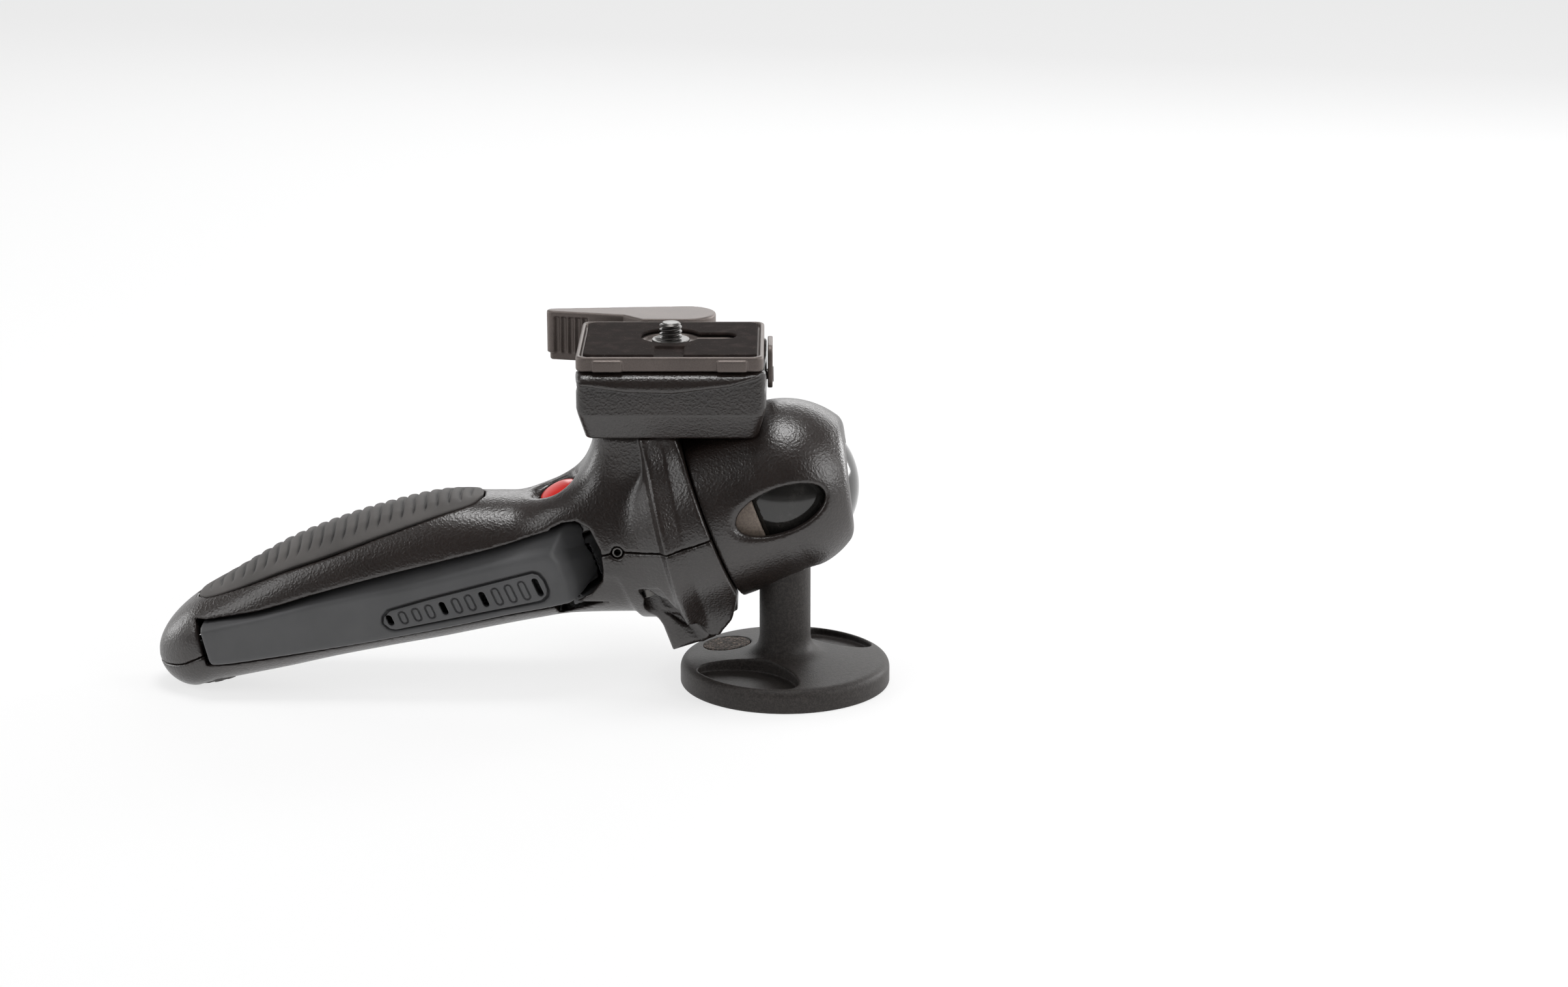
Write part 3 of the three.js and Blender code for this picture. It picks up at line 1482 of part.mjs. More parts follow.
const clampLeverBlade = (inset) => {
  const length = clampLeverTipReach - hubReach;
  const tip = clampLeverTipThickness / 2;
  const near = ([out, away]) => [-hubReach - out * length, hubDepth + away * hubRadius + inset];
  const far = ([out, away]) => [-hubReach - out * length, hubDepth + away * hubRadius - inset];
  return [
    ...arc(-clampLeverTipReach + tip, hubDepth + bladeTipShare * hubRadius, tip - inset,
      90, 270, 6),
    ...bladeNearShares.map(near),
    ...arc(-hubReach, hubDepth, hubRadius - inset, 270, 450, 18),
    ...bladeFarShares.map(far),
  ];
};

function clampLever() {
  const footTop = clampLeverBottom + clampLeverFoot;
  const blade = solid(upright(clampLeverBlade(0), footTop, clampLeverTop));
  const foot = solid(upright(clampLeverBlade(footInset), clampLeverBottom, footTop + overrun));
  const lobe = solid(bar(camLobeRadius, clampLeverBottom, camTop), placed(-hubReach,
    hubDepth - lobeReach + camLobeRadius, 0));
  const [out, away] = bladeNearShares[0];
  const tip = clampLeverTipThickness / 2;
  const start = [-clampLeverTipReach + tip, hubDepth + bladeTipShare * hubRadius - tip];
  const end = [-hubReach - out * (clampLeverTipReach - hubReach), hubDepth + away * hubRadius];
  const flutes = Array.from({ length: fluteCount }, (_, i) => {
    const share = fluteSpanShare * (i + 0.5) / fluteCount;
    const x = THREE.MathUtils.lerp(start[0], end[0], share);
    const y = THREE.MathUtils.lerp(start[1], end[1], share);
    return solid(bar(fluteRadius, footTop, clampLeverTop - fluteTopInset, 8), placed(x, y, 0));
  });
  const headRoom = solid(bar(clampPinHeadRadius + gap, clampLeverTop - clampPinHeadHeight - gap,
    plateTop + overrun), hubFrame);
  const pinHole = solid(bar(clampPinRadius + gap, 0, plateTop + overrun, smallSides), hubFrame);
  return cut(union(blade, foot, lobe), headRoom, pinHole, ...flutes);
}

function clampLeverPin() {
  const low = clampLeverBottom - gap - bracketThickness + gap;
  return solid(revolve([
    [0, low],
    [clampPinRadius, low],
    [clampPinRadius, clampLeverTop - clampPinHeadHeight],
    [clampPinHeadRadius, clampLeverTop - clampPinHeadHeight],
    [clampPinHeadRadius, clampLeverTop - gap],
    [0, clampLeverTop - gap],
  ]), hubFrame);
}

function safetyCatch() {
  const start = -clampEndReach + clampLength + gap;
  const middle = catchBottom + catchHeight / 2;
  const body = solid(rail(roundedRectangle(catchDepth, middle, catchWidth / 2, catchHeight / 2,
    catchPivotRise), start, start + catchThickness));
  const hole = solid(bar(catchPinRadius + gap, -overrun, 2 * overrun, smallSides)
    .rotateY(Math.PI / 2), catchFrame);
  return cut(body, hole);
}

function catchPin() {
  const outer = 2 * gap + catchThickness;
  return solid(revolve([
    [0, gap - catchPinLength],
    [catchPinRadius, gap - catchPinLength],
    [catchPinRadius, outer],
    [catchPinHeadRadius, outer],
    [catchPinHeadRadius, outer + catchPinHeadHeight],
    [0, outer + catchPinHeadHeight],
  ], smallSides).rotateY(Math.PI / 2), catchFrame);
}

// Camera plate, its pad and the camera screw

const plateMiddle = -plateEndReach + plateLength / 2;
const plateFootBottom = clampFloor + gap;
const padFloor = plateTop + padProud - platePadThickness;
const screwFrame = placed(-cameraScrewReach, cameraScrewDepth, 0);

/** The pad's outline in plan, with the notch in its near edge. */
function padOutline(grow) {
  const halfLength = plateLength / 2 - plateRim + grow;
  const halfWidth = plateHalfWidth - plateRim + grow;
  const notch = plateNotchHalfWidth - grow;
  const notchEnd = -halfWidth + plateNotchLength;
  const corners = roundedRectangle(plateMiddle, 0, halfLength, halfWidth, plateCorner);
  return [
    ...corners,
    [-cameraScrewReach - notch, -halfWidth],
    [-cameraScrewReach - notch, notchEnd],
    [-cameraScrewReach + notch, notchEnd],
    [-cameraScrewReach + notch, -halfWidth],
  ];
}

/** The round recess about the screw with the slot that runs from it along the plate. */
function plateRecess(grow) {
  const reach = cameraScrewReach;
  const low = plateTop - plateRecessDepth;
  const round = solid(bar(plateRecessRadius + grow, low, plateTop + overrun), screwFrame);
  const slotEnd = -reach + plateSlotLength;
  const slot = solid(upright([
    [-reach, cameraScrewDepth - plateSlotHalfWidth - grow],
    ...arc(slotEnd, cameraScrewDepth, plateSlotHalfWidth + grow, -90, 90, 8),
    [-reach, cameraScrewDepth + plateSlotHalfWidth + grow],
  ], low, plateTop + overrun));
  return round.add(slot);
}

function cameraPlate() {
  const flangeBottom = plateTop - plateFlangeThickness;
  const flange = solid(upright(roundedRectangle(plateMiddle, 0, plateLength / 2,
    plateHalfWidth, plateCorner), flangeBottom, plateTop));
  const foot = solid(rail([
    [-plateFootHalfWidth, plateFootBottom],
    [plateFootHalfWidth, plateFootBottom],
    [plateFootTopHalfWidth, flangeBottom + gap],
    [-plateFootTopHalfWidth, flangeBottom + gap],
  ], -plateEndReach + plateFootEndInset, -plateEndReach + plateLength - plateFootEndInset));
  const tabMiddle = plateTop - plateFlangeThickness / 2;
  const tabs = [-plateTabOffset, plateTabOffset].map((offset) => solid(slab(
    roundedRectangle(plateMiddle + offset, tabMiddle, plateTabLength / 2, plateTabHeight / 2,
      plateTabProud), -plateHalfWidth - plateTabProud, -plateHalfWidth + plateCorner)));
  const padSeat = solid(upright(padOutline(gap), padFloor - gap, plateTop + overrun));
  const headRoom = solid(bar(cameraHeadRadius + 2 * gap, 0, plateFootBottom + 2 * gap
    + cameraHeadThickness), screwFrame);
  const hole = solid(bar(cameraScrewRadius + gap, 0, plateTop + overrun), screwFrame);
  return cut(union(flange, foot, ...tabs), padSeat, plateRecess(-gap), headRoom, hole);
}

function platePad() {
  const sheet = solid(upright(padOutline(0), padFloor, padFloor + platePadThickness));
  return cut(sheet, plateRecess(gap));
}

function cameraScrew() {
  const low = plateFootBottom + gap;
  const flangeLow = plateTop - plateRecessDepth + gap;
  const tip = plateTop + cameraScrewHeight;
  const tipChamfer = cameraScrewRadius / 5;
  const body = solid(revolve([
    [0, low],
    [cameraHeadRadius, low],
    [cameraHeadRadius, low + cameraHeadThickness],
    [cameraScrewRadius, low + cameraHeadThickness],
    [cameraScrewRadius, flangeLow],
    [cameraFlangeRadius, flangeLow],
    [cameraFlangeRadius, flangeLow + cameraFlangeThickness],
    [cameraScrewRadius, flangeLow + cameraFlangeThickness],
    [cameraScrewRadius, tip - tipChamfer],
    [cameraScrewRadius - tipChamfer, tip],
    [0, tip],
  ]), screwFrame);
  const coinSlot = solid(upright([
    [-cameraHeadRadius - overrun, -coinSlotHalfWidth],
    [cameraHeadRadius + overrun, -coinSlotHalfWidth],
    [cameraHeadRadius + overrun, coinSlotHalfWidth],
    [-cameraHeadRadius - overrun, coinSlotHalfWidth],
  ], 0, low + coinSlotDepth), screwFrame);
  return body.subtract(coinSlot);
}

// The scene graph, one group for each body that moves

/** The pieces of one body. */
function assembly(...pieces) {
  const group = new THREE.Group();
  group.add(...pieces);
  return group;
}

const base = assembly(
  piece('base_casting', baseCasting(), 'sandedBlack'),
  piece('tripod_bush', tripodBush(), 'brass'),
  piece('base_inlay', baseInlay(), 'cork'),
  piece('stem_stud', stemStud(), 'steel'),
);

const camera = assembly(piece('camera_screw', cameraScrew(), 'darkSteel'));

const clampLeverGroup = assembly(piece('clamp_lever', clampLever(), 'dieCast'));

const safetyCatchGroup = assembly(piece('safety_catch', safetyCatch(), 'dieCast'));

const squeezeLever = assembly(
  piece('grip_lever', gripLever(), 'charcoal'),
  piece('lever_plaque', leverPlaque(), 'charcoal'),
);

const rod = assembly(
  piece('pull_rod', pullRod(), 'steel'),
  piece('rod_nut', rodNut(), 'steel'),
);

const dial = assembly(
  piece('friction_dial', frictionDial(), 'coat'),
  piece('dial_screw', dialScrew(), 'darkSteel'),
);

const head = assembly(
  piece('ball_housing', ballHousing(), 'coat'),
  piece('grip_upper_shell', gripUpperShell(), 'coat'),
  piece('grip_lower_shell', gripLowerShell(), 'coat'),
  piece('palm_pad', padSkin(0, true), 'rubber'),
  piece('badge', badge(), 'red'),
  piece('bulkhead', bulkhead(), 'steel'),
  piece('main_spring', mainSpring(), 'springSteel'),
  piece('lever_pivot_pin', leverPivotPin(), 'steel'),
  piece('roll_pin', rollPin(), 'darkSteel'),
  ...collarScrewFrames.map((frame, i) =>
    piece(`collar_screw_${i + 1}`, collarScrew(frame), 'darkSteel')),
  ...gripScrewReaches.map((reach, i) =>
    piece(`grip_screw_${i + 1}`, gripScrew(reach), 'darkSteel')),
  piece('clamp_body', clampBody(), 'coat'),
  ...clampScrewReaches.map((reach, i) =>
    piece(`clamp_screw_${i + 1}`, clampScrew(reach), 'darkSteel')),
  piece('clamp_lever_pin', clampLeverPin(), 'darkSteel'),
  piece('catch_pin', catchPin(), 'darkSteel'),
  piece('camera_plate', cameraPlate(), 'dieCast'),
  piece('plate_pad', platePad(), 'platePad'),
  camera,
  clampLeverGroup,
  safetyCatchGroup,
  squeezeLever,
  rod,
  dial,
);

const ballSeat = assembly(piece('pressure_cup', pressureCup(), 'cupGrey'), head);
const ball = assembly(piece('ball', ballSolid(), 'ballBlack'), ballSeat);

const joystickHead = assembly(base, ball);
joystickHead.name = 'joystick_head';

export default joystickHead;
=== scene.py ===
"""Joystick ball head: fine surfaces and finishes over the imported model.

Sizes in the property groups are metres; the shape functions work in millimetres. The
origin is the centre of the base's underside, +Z is up, -X runs along the grip, -Y is the
side of the squeeze lever.
"""
import functools
import math
from types import SimpleNamespace

import bpy
import numpy as np
from bpy.props import FloatProperty, FloatVectorProperty, IntProperty, PointerProperty
from bpy.types import Operator, Panel, PropertyGroup
from mathutils import Matrix, Vector


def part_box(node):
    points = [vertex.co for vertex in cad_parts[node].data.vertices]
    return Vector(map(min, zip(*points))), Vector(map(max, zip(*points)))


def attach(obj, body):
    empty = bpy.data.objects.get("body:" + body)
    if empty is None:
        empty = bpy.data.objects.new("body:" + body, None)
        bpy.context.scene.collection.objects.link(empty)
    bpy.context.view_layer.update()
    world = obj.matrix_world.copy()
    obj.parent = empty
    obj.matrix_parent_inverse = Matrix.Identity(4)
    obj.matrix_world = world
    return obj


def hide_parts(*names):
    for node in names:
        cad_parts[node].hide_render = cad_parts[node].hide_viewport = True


bl_info = {
    "name": "Joystick Ball Head",
    "version": (1, 0, 0),
    "blender": (4, 5, 0),
    "location": "3D View > Sidebar > Joystick",
    "description": "Builds the fine surfaces and finishes of a joystick ball head",
    "category": "Add Mesh",
}

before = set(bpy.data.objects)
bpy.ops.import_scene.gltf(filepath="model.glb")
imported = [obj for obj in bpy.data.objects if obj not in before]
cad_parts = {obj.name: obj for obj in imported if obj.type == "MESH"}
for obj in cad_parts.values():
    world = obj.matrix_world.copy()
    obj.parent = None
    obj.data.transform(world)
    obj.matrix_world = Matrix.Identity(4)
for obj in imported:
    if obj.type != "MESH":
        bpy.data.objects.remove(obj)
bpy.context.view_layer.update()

MM = 0.001


# Sizes and colours

def size(name, description, millimetres):
    """A length property whose default is given in millimetres."""
    return FloatProperty(name=name, description=description, default=millimetres * MM,
                         unit="LENGTH", precision=5)


def turn(name, description, degrees):
    """An angle property whose default is given in degrees."""
    return FloatProperty(name=name, description=description,
                         default=math.radians(degrees), subtype="ANGLE")


def tint(name, description, red, green, blue):
    """A colour property in scene linear values."""
    return FloatVectorProperty(name=name, description=description, size=3, subtype="COLOR",
                               min=0.0, max=1.0, default=(red, green, blue))


class BaseSizes(PropertyGroup):
    radius: size("Radius", "Radius of the round base", 30)
    rim_height: size("Rim height", "Height of the base's straight side", 5.2)
    rim_fillet: size("Rim fillet", "Rounding between the side and the top", 1.5)
    top_rise: size("Top rise", "Rise of the shallow cone towards the stem", 1.6)
    foot_chamfer: size("Foot chamfer", "Chamfer round the underside", 0.5)
    stem_radius: size("Stem radius", "Radius of the stem", 7.3)
    flare_radius: size("Flare", "Rounding at the foot of the stem", 4.6)
    stem_top: size("Stem top", "Height at which the stem meets the ball", 38.0)
    near_pocket_centre: size("Near pocket", "Stem axis to the near pocket's centre", 29.6)
    near_pocket_radius: size("Near pocket radius", "Radius of the near pocket", 19.3)
    near_pocket_turn: turn("Near pocket turn", "Direction of the near pocket", 238.7)
    far_pocket_centre: size("Far pocket", "Stem axis to the far pocket's centre", 28.6)
    far_pocket_radius: size("Far pocket radius", "Radius of the far pocket", 14)
    far_pocket_turn: turn("Far pocket turn", "Direction of the far pocket", 47.4)
    pocket_depth: size("Pocket depth", "Depth of the pockets at their rim", 2.1)
    pocket_rim: size("Pocket rim", "Radius of the pockets' outer edge", 27.7)
    inlay_reach: size("Inlay place", "Stem axis to the speckled inlay's middle", 19.8)
    inlay_turn: turn("Inlay turn", "Direction of the speckled inlay", 148.9)
    inlay_radius: size("Inlay radius", "Radius of the speckled inlay", 6.8)
    inlay_depth: size("Inlay depth", "Thickness of the speckled inlay", 1)
    bush_radius: size("Bush radius", "Radius of the threaded bush", 6.2)
    bush_flange: size("Bush flange", "Radius of the bush's flange", 9)
    bush_length: size("Bush length", "Length of the bush", 11)
    socket_radius: size("Socket radius", "Radius of the tripod thread", 4.6)


class BallSizes(PropertyGroup):
    height: size("Height", "Ball centre above the ground", 58)
    radius: size("Ball radius", "Radius of the ball", 21)
    tilt: turn("Tilt", "Slope of the housing's axis", 21)
    housing_radius: size("Housing radius", "Outer radius of the ball housing", 25.2)
    dome_radius: size("Dome radius", "Radius of the housing's round front", 24.9)
    housing_length: size("Housing length", "Ball centre back to the collar", 21.7)
    bore: size("Bore", "Inner radius of the housing", 21.5)
    facet: size("Facet", "Ball centre to the flat front", 18.35)
    facet_turn: turn("Facet turn", "Turn of the flat front below the axis", 14.4)
    mouth_radius: size("Mouth", "Radius of the round mouth below the ball", 12.4)
    mouth_offset: size("Mouth offset", "Mouth's centre in front of the stem", 3)
    slot_half: size("Slot half width", "Half width of the slot for the stem", 9.9)
    window_length: size("Window length", "Length of the oval side windows", 26)
    window_height: size("Window height", "Height of the oval side windows", 12.8)
    window_chamfer: size("Window chamfer", "Chamfer round the side windows", 1.4)
    window_back: size("Window place", "Window's centre behind the ball's centre", 1.3)


class GripSizes(PropertyGroup):
    end: size("End", "Stem axis to the end of the grip", 179.3)
    root: size("Root", "Stem axis to the root of the grip", 40)
    girth_height: size("Girth height", "Greatest height of the grip", 40.8)
    girth_width: size("Girth width", "Greatest width of the grip", 37.2)
    centre_height: size("Centre height", "Mean height of the grip's middle line", 33)
    end_rounding: size("End rounding", "Length of the rounded end", 14)
    wall: size("Wall", "Thickness of the shells", 2.6)
    crown_wall: size("Crown wall", "Thickness of the shell under the palm pad", 5.4)
    joint: size("Joint", "Gap between the shells", 0.3)
    neck_top: size("Neck top", "Height of the seat below the clamp", 76)
    neck_height: size("Neck height", "Height over which the neck flares", 34)
    neck_length: size("Neck length", "Length of the neck at its seat", 29)
    neck_half: size("Neck half width", "Half width of the neck at its seat", 14.5)
    collar_front: size("Collar front", "Ball centre back to the collar's front", 22)
    ridge_radius: size("Ridge radius", "Radius of the collar's ridge", 28.7)
    collar_length: size("Collar length", "Length of the collar and its cone", 29)
    chin: size("Chin", "Stem axis to the front of the collar's lower edge", 13.4)
    tail_half: size("Tail half width", "Half width of the tail below the collar", 14)
    pillar_half: size("Pillar", "Half width of the collar's bands above the round collar", 16.5)
    pad_end: size("Pad end", "Stem axis to the far end of the palm pad", 167)
    pad_root: size("Pad root", "Stem axis to the near end of the palm pad", 85.4)
    pad_thickness: size("Pad thickness", "Thickness of the palm pad", 2.3)
    pad_wrap: turn("Pad wrap", "Half of the pad's widest wrap round the grip", 45)
    rib_height: size("Rib height", "Height of the palm pad's ribs", 1.0)
    ribs: IntProperty(name="Ribs", description="Number of ribs across the palm pad",
                      default=24, min=4, max=60)
    badge_radius: size("Badge radius", "Radius of the round red badge", 5.6)


class LeverSizes(PropertyGroup):
    end: size("End", "Stem axis to the lever's free end", 163.4)
    end_slant: size("End slant", "Lean of the lever's free end from top to bottom", 2.6)
    root: size("Root", "Stem axis to the lever's root", 61.4)
    end_gap: size("End gap", "Gap beyond the lever's free end", 1.6)
    gap: size("Gap", "Gap between the lever and its window", 0.7)
    face: size("Face", "Middle plane to the lever's face", 18.4)
    inner: size("Inner", "Middle plane to the lever's back edge", 8)
    bevel: size("Bevel", "Middle plane to the far edge of the upper bevel", 13.8)
    wall: size("Wall", "Thickness of the lever's skin", 2.2)
    pivot_back: size("Pivot", "Ball centre back to the lever's pivot", 60)
    pivot_depth: size("Pivot depth", "Pivot beyond the middle plane", 8)
    plaque_length: size("Plaque length", "Length of the plaque", 47)
    plaque_across: size("Plaque height", "Height of the plaque", 8)
    plaque_reach: size("Plaque reach", "Stem axis to the plaque's middle", 90.2)
    plaque_height: size("Plaque place", "Height of the plaque's middle", 28.9)
    plaque_slope: turn("Plaque slope", "Slope of the plaque", 15)
    plaque_proud: size("Plaque proud", "Plaque's face in front of the lever's", 0.6)
    slot_pitch: size("Slot pitch", "Distance between the plaque's slots", 3.87)
    slot_width: size("Slot width", "Width of the plaque's slots", 1.7)


class ClampSizes(PropertyGroup):
    end: size("End", "Stem axis to the clamp's far end", 57.8)
    length: size("Length", "Length of the clamp", 52.6)
    half: size("Half width", "Half width of the clamp", 21)
    bottom: size("Bottom", "Height of the clamp's underside", 76.3)
    bevel_height: size("Bevel height", "Height at which the sides become upright", 85.6)
    bevel_inset: size("Bevel inset", "Lean of the lower sides", 4.8)
    end_inset: size("End inset", "Lean of the lower ends", 2.4)
    floor: size("Floor", "Height of the channel's floor", 90.8)
    lip: size("Lip", "Height of the clamp's lips", 96.3)
    roll: size("Roll", "Height of the bulging roll along the near lip", 5.6)
    roll_proud: size("Roll proud", "Bulge of the roll beyond the clamp's side", 0.9)
    hub_reach: size("Hub reach", "Stem axis to the clamp lever's hub", 28.2)
    hub_depth: size("Hub depth", "Hub behind the middle plane", 29.7)
    hub_radius: size("Hub radius", "Radius of the clamp lever's hub", 8.3)
    lever_bottom: size("Lever bottom", "Height of the clamp lever's underside", 86.6)
    lever_top: size("Lever top", "Height of the clamp lever's top", 101.2)
    lever_tip: size("Lever tip", "Stem axis to the clamp lever's tip", 68.8)
    tip_thickness: size("Tip thickness", "Thickness of the clamp lever's tip", 4)
    foot: size("Foot", "Height of the clamp lever's plain foot", 2.2)
    flute: size("Flute radius", "Radius of the flutes in the lever's tip", 0.85)
    flutes: IntProperty(name="Flutes", description="Number of flutes in the lever's tip",
                        default=5, min=0, max=12)


class PlateSizes(PropertyGroup):
    end: size("End", "Stem axis to the plate's far end", 57.7)
    length: size("Length", "Length of the camera plate", 51.8)
    half: size("Half width", "Half width of the camera plate", 21)
    top: size("Top", "Height of the plate's metal top", 100.8)
    flange: size("Flange", "Thickness of the plate's flange", 4.2)
    corner: size("Corner", "Radius of the plate's corners", 2.4)
    rim: size("Rim", "Width of the bare metal rim round the pad", 1.4)
    pad_proud: size("Pad proud", "Pad's face above the metal", 0.25)
    recess: size("Recess", "Radius of the round recess", 8)
    recess_depth: size("Recess depth", "Depth of the recess", 1.5)
    slot_length: size("Slot length", "Length of the slot from the screw", 15.2)
    slot_half: size("Slot half width", "Half width of the slot", 2.8)
    foot_top_half: size("Foot top", "Half width of the plate's foot below its flange", 17)
    foot_half: size("Foot", "Half width of the plate's foot at the channel's floor", 18.3)
    screw_reach: size("Screw reach", "Stem axis to the camera screw", 32.1)
    screw_depth: size("Screw depth", "Camera screw behind the middle plane", 3)
    screw_radius: size("Screw radius", "Radius of the camera thread", 3.17)
    screw_height: size("Screw height", "Thread above the plate", 4.1)
    pitch: size("Pitch", "Pitch of the camera thread", 1.27)


class Colours(PropertyGroup):
    coat: tint("Coat", "Warm black leather-fine coat", 0.0150, 0.0098, 0.0080)
    charcoal: tint("Charcoal", "Smooth charcoal plastic of the squeeze lever", 0.070, 0.070, 0.072)
    rubber: tint("Rubber", "Dark grey rubber of the palm pad", 0.066, 0.061, 0.058)
    base: tint("Base", "Sand-blasted black of the base", 0.030, 0.026, 0.024)
    ball: tint("Ball", "Gloss black of the ball", 0.016, 0.015, 0.014)
    cup: tint("Cup", "Brown grey of the pressure cup", 0.17, 0.135, 0.11)
    die_cast: tint("Die cast", "Warm grey-brown of the plate and clamp lever", 0.135, 0.113, 0.103)
    plate_pad: tint("Plate pad", "Near-black brown of the plate's pad", 0.013, 0.0095, 0.0085)
    inlay: tint("Inlay", "Brown of the speckled inlay", 0.085, 0.062, 0.047)
    badge: tint("Badge", "Red of the badge", 0.66, 0.022, 0.016)


class Head(PropertyGroup):
    base: PointerProperty(type=BaseSizes, name="Base", description="Sizes of the base")
    ball: PointerProperty(type=BallSizes, name="Ball", description="Sizes of the ball's end")
    grip: PointerProperty(type=GripSizes, name="Grip", description="Sizes of the grip")
    lever: PointerProperty(type=LeverSizes, name="Lever", description="Squeeze lever's sizes")
    clamp: PointerProperty(type=ClampSizes, name="Clamp", description="Sizes of the clamp")
    plate: PointerProperty(type=PlateSizes, name="Plate", description="Camera plate's sizes")
    colours: PointerProperty(type=Colours, name="Colours", description="Finish colours")


def sizes(group_name):
    """A property group's values with its lengths in millimetres."""
    group = getattr(bpy.context.scene.joystick_head, group_name)
    values = {}
    for rule in group.bl_rna.properties:
        if rule.identifier in ("rna_type", "name"):
            continue
        value = getattr(group, rule.identifier)
        is_length = rule.type == "FLOAT" and rule.unit == "LENGTH"
        values[rule.identifier] = value / MM if is_length else value
    return SimpleNamespace(**values)


# Tables of shares

# Share of the grip's length from its end: centre height as a share of the mean height,
# half height and half width as shares of the girth's halves.
GRIP_ROWS = [
    [0, 0.288, 0.570, 0.65], [0.067, 0.361, 0.632, 0.78], [0.139, 0.485, 0.696, 0.87],
    [0.268, 0.703, 0.863, 0.96], [0.375, 0.851, 0.936, 1], [0.483, 0.970, 0.985, 1],
    [0.591, 1.063, 1, 0.995], [0.699, 1.115, 0.926, 0.995], [0.785, 1.152, 0.868, 1],
    [0.856, 1.197, 0.863, 1.01], [1, 1.272, 0.956, 1.08],
]
GRIP_POWER = 2.4

# Share of the neck's height down from its seat: flare of its far end as a share of its length.
NECK_ROWS = [[0, 0], [0.15, 0.02], [0.3, 0.09], [0.42, 0.19], [0.52, 0.33], [0.61, 0.50],
             [0.76, 0.58], [1, 0.52]]

# Share of the collar's length back from its front, along the bands' lean: radius as a share
# of the ridge's.
COLLAR_ROWS = [[0, 0.972], [0.27, 0.934], [0.42, 0.996], [0.455, 1.0], [0.515, 0.90],
               [0.60, 0.86], [0.72, 0.80], [1, 0.70]]

# Tail in the axis frame, in millimetres back and up: the collar's lower bands, the leg
# behind them and the trough in the leg's sides.
BANDS = [[20, 60], [20.5, -10], [23.2, -20], [24.8, -26.1], [30.7, -31.9], [36.9, -31.5],
         [38.4, -20], [36.6, 0], [34.0, 20], [28.8, 60]]
LEG_OUTLINE = [[30, -8], [33, -31.5], [45.9, -30.9], [45.8, -23], [46.5, -19.6], [48.5, -15.8],
               [53, -12.5], [53, -8]]
TROUGH = [[47.3, -8.2], [41.5, -9.4], [37.8, -26], [40.2, -24.2], [46.1, -14.6]]

# Share of the lever's length from its free end: lower edge, crease and upper edge as
# shares of the grip's girth height.
LEVER_ROWS = [
    [0, 0.252, 0.520, 0.525], [0.046, 0.255, 0.547, 0.554], [0.155, 0.294, 0.603, 0.618],
    [0.3, 0.353, 0.691, 0.738], [0.444, 0.414, 0.765, 0.843], [0.552, 0.466, 0.814, 0.914],
    [0.697, 0.539, 0.907, 1.005], [0.84, 0.618, 0.995, 1.098], [0.948, 0.669, 1.049, 1.190],
    [1, 0.699, 1.070, 1.235],
]
WINDOW_END = [[0.99, 1.275], [1.028, 1.292], [1.066, 1.245], [1.096, 1.10], [1.103, 0.966],
              [1.100, 0.87], [1.07, 0.77]]

# Squeeze lever's root in millimetres: its outline in side view as [x, z], and the place of
# the slanted facet's edge on the lever's face by height.
ROOT_OUTLINE = [[-200, 0], [-61.2, 0], [-61.2, 27.6], [-56.7, 31.0], [-52.6, 35.5], [-52.8, 40],
                [-54.8, 46], [-57.6, 48.9], [-61.5, 50.6], [-66, 52], [-90, 60], [-200, 60]]
FACET_EDGE = [[28, -61.0], [35, -62.2], [40.4, -64.1], [43.3, -66.2], [47, -66.7], [52, -68]]

# Half of the palm pad's wrap along its length, as a share of its widest.
PAD_ROWS = [[0, 0.18], [0.04, 0.50], [0.13, 0.74], [0.225, 0.89], [0.34, 0.97], [0.45, 1],
            [0.545, 0.98], [0.636, 0.93], [0.73, 0.87], [0.82, 0.78], [0.91, 0.62],
            [0.97, 0.42], [1, 0.15]]

PLAQUE_OUTLINE = [[-0.437, -0.300], [-0.470, -0.200], [-0.497, 0.030], [-0.485, 0.240],
                  [-0.440, 0.400], [-0.2, 0.440], [0.2, 0.440], [0.446, 0.440],
                  [0.478, 0.330], [0.498, 0.080], [0.504, -0.260], [0.492, -0.450],
                  [0.455, -0.570], [0.425, -0.575]]

# Joint between the shells: place along X and height, in millimetres.
SPLIT_LINE = [[-193.3, 6.6], [-176, 7.4], [-173, 8.1], [-170, 9.2], [-167.5, 10.6], [-164, 12.4],
              [-51.4, 43.3], [-46, 44.6], [-40, 45], [-33, 45.9], [-26, 47.9], [-12, 53.6]]

# Lower edge of the clamp's near roll: shares of the clamp's length from its far end and of
# the roll's height below the lip's top.
ROLL_ROWS = [[0, 0.66], [0.06, 0.66], [0.15, 0.79], [0.265, 0.93], [0.51, 1], [0.81, 0.66],
             [0.95, 0.29], [1, 0.1]]

# Slots of the plaque, and those of them that are holes.
SLOTS, THROUGH_SLOTS = 12, (1, 5, 8, 12)

# Places of screws, pins and dial in millimetres, and the leans of those that aren't upright.
# The holes round them are FIT wider than the pieces; BALL_GAP is left round ball and housing.
FIT, BALL_GAP = 0.3, 0.35
SMALL_SCREW = {"head": 2.7, "head_length": 2.6, "shaft": 1.5, "key": 1.3}
CLAMP_SCREW = {"head": 4.4, "head_length": 3.4, "shaft": 2.4, "key": 1.9}
CLAMP_SCREWS, CLAMP_SEAT = (48, 36), 86.8
GRIP_SCREWS, GRIP_SCREW_SIDE = (128, 86), 10
COLLAR_SCREW, COLLAR_LEAN = np.array([-38.6, 15.6, 33.6]), math.radians(20)
ROLL_PIN_X, ROLL_PIN_Z, ROLL_PIN_RADIUS = -46.8, 44.4, 1.5
DIAL_X, DIAL_RADIUS, DIAL_LEAN = -161.5, 9, math.radians(12)
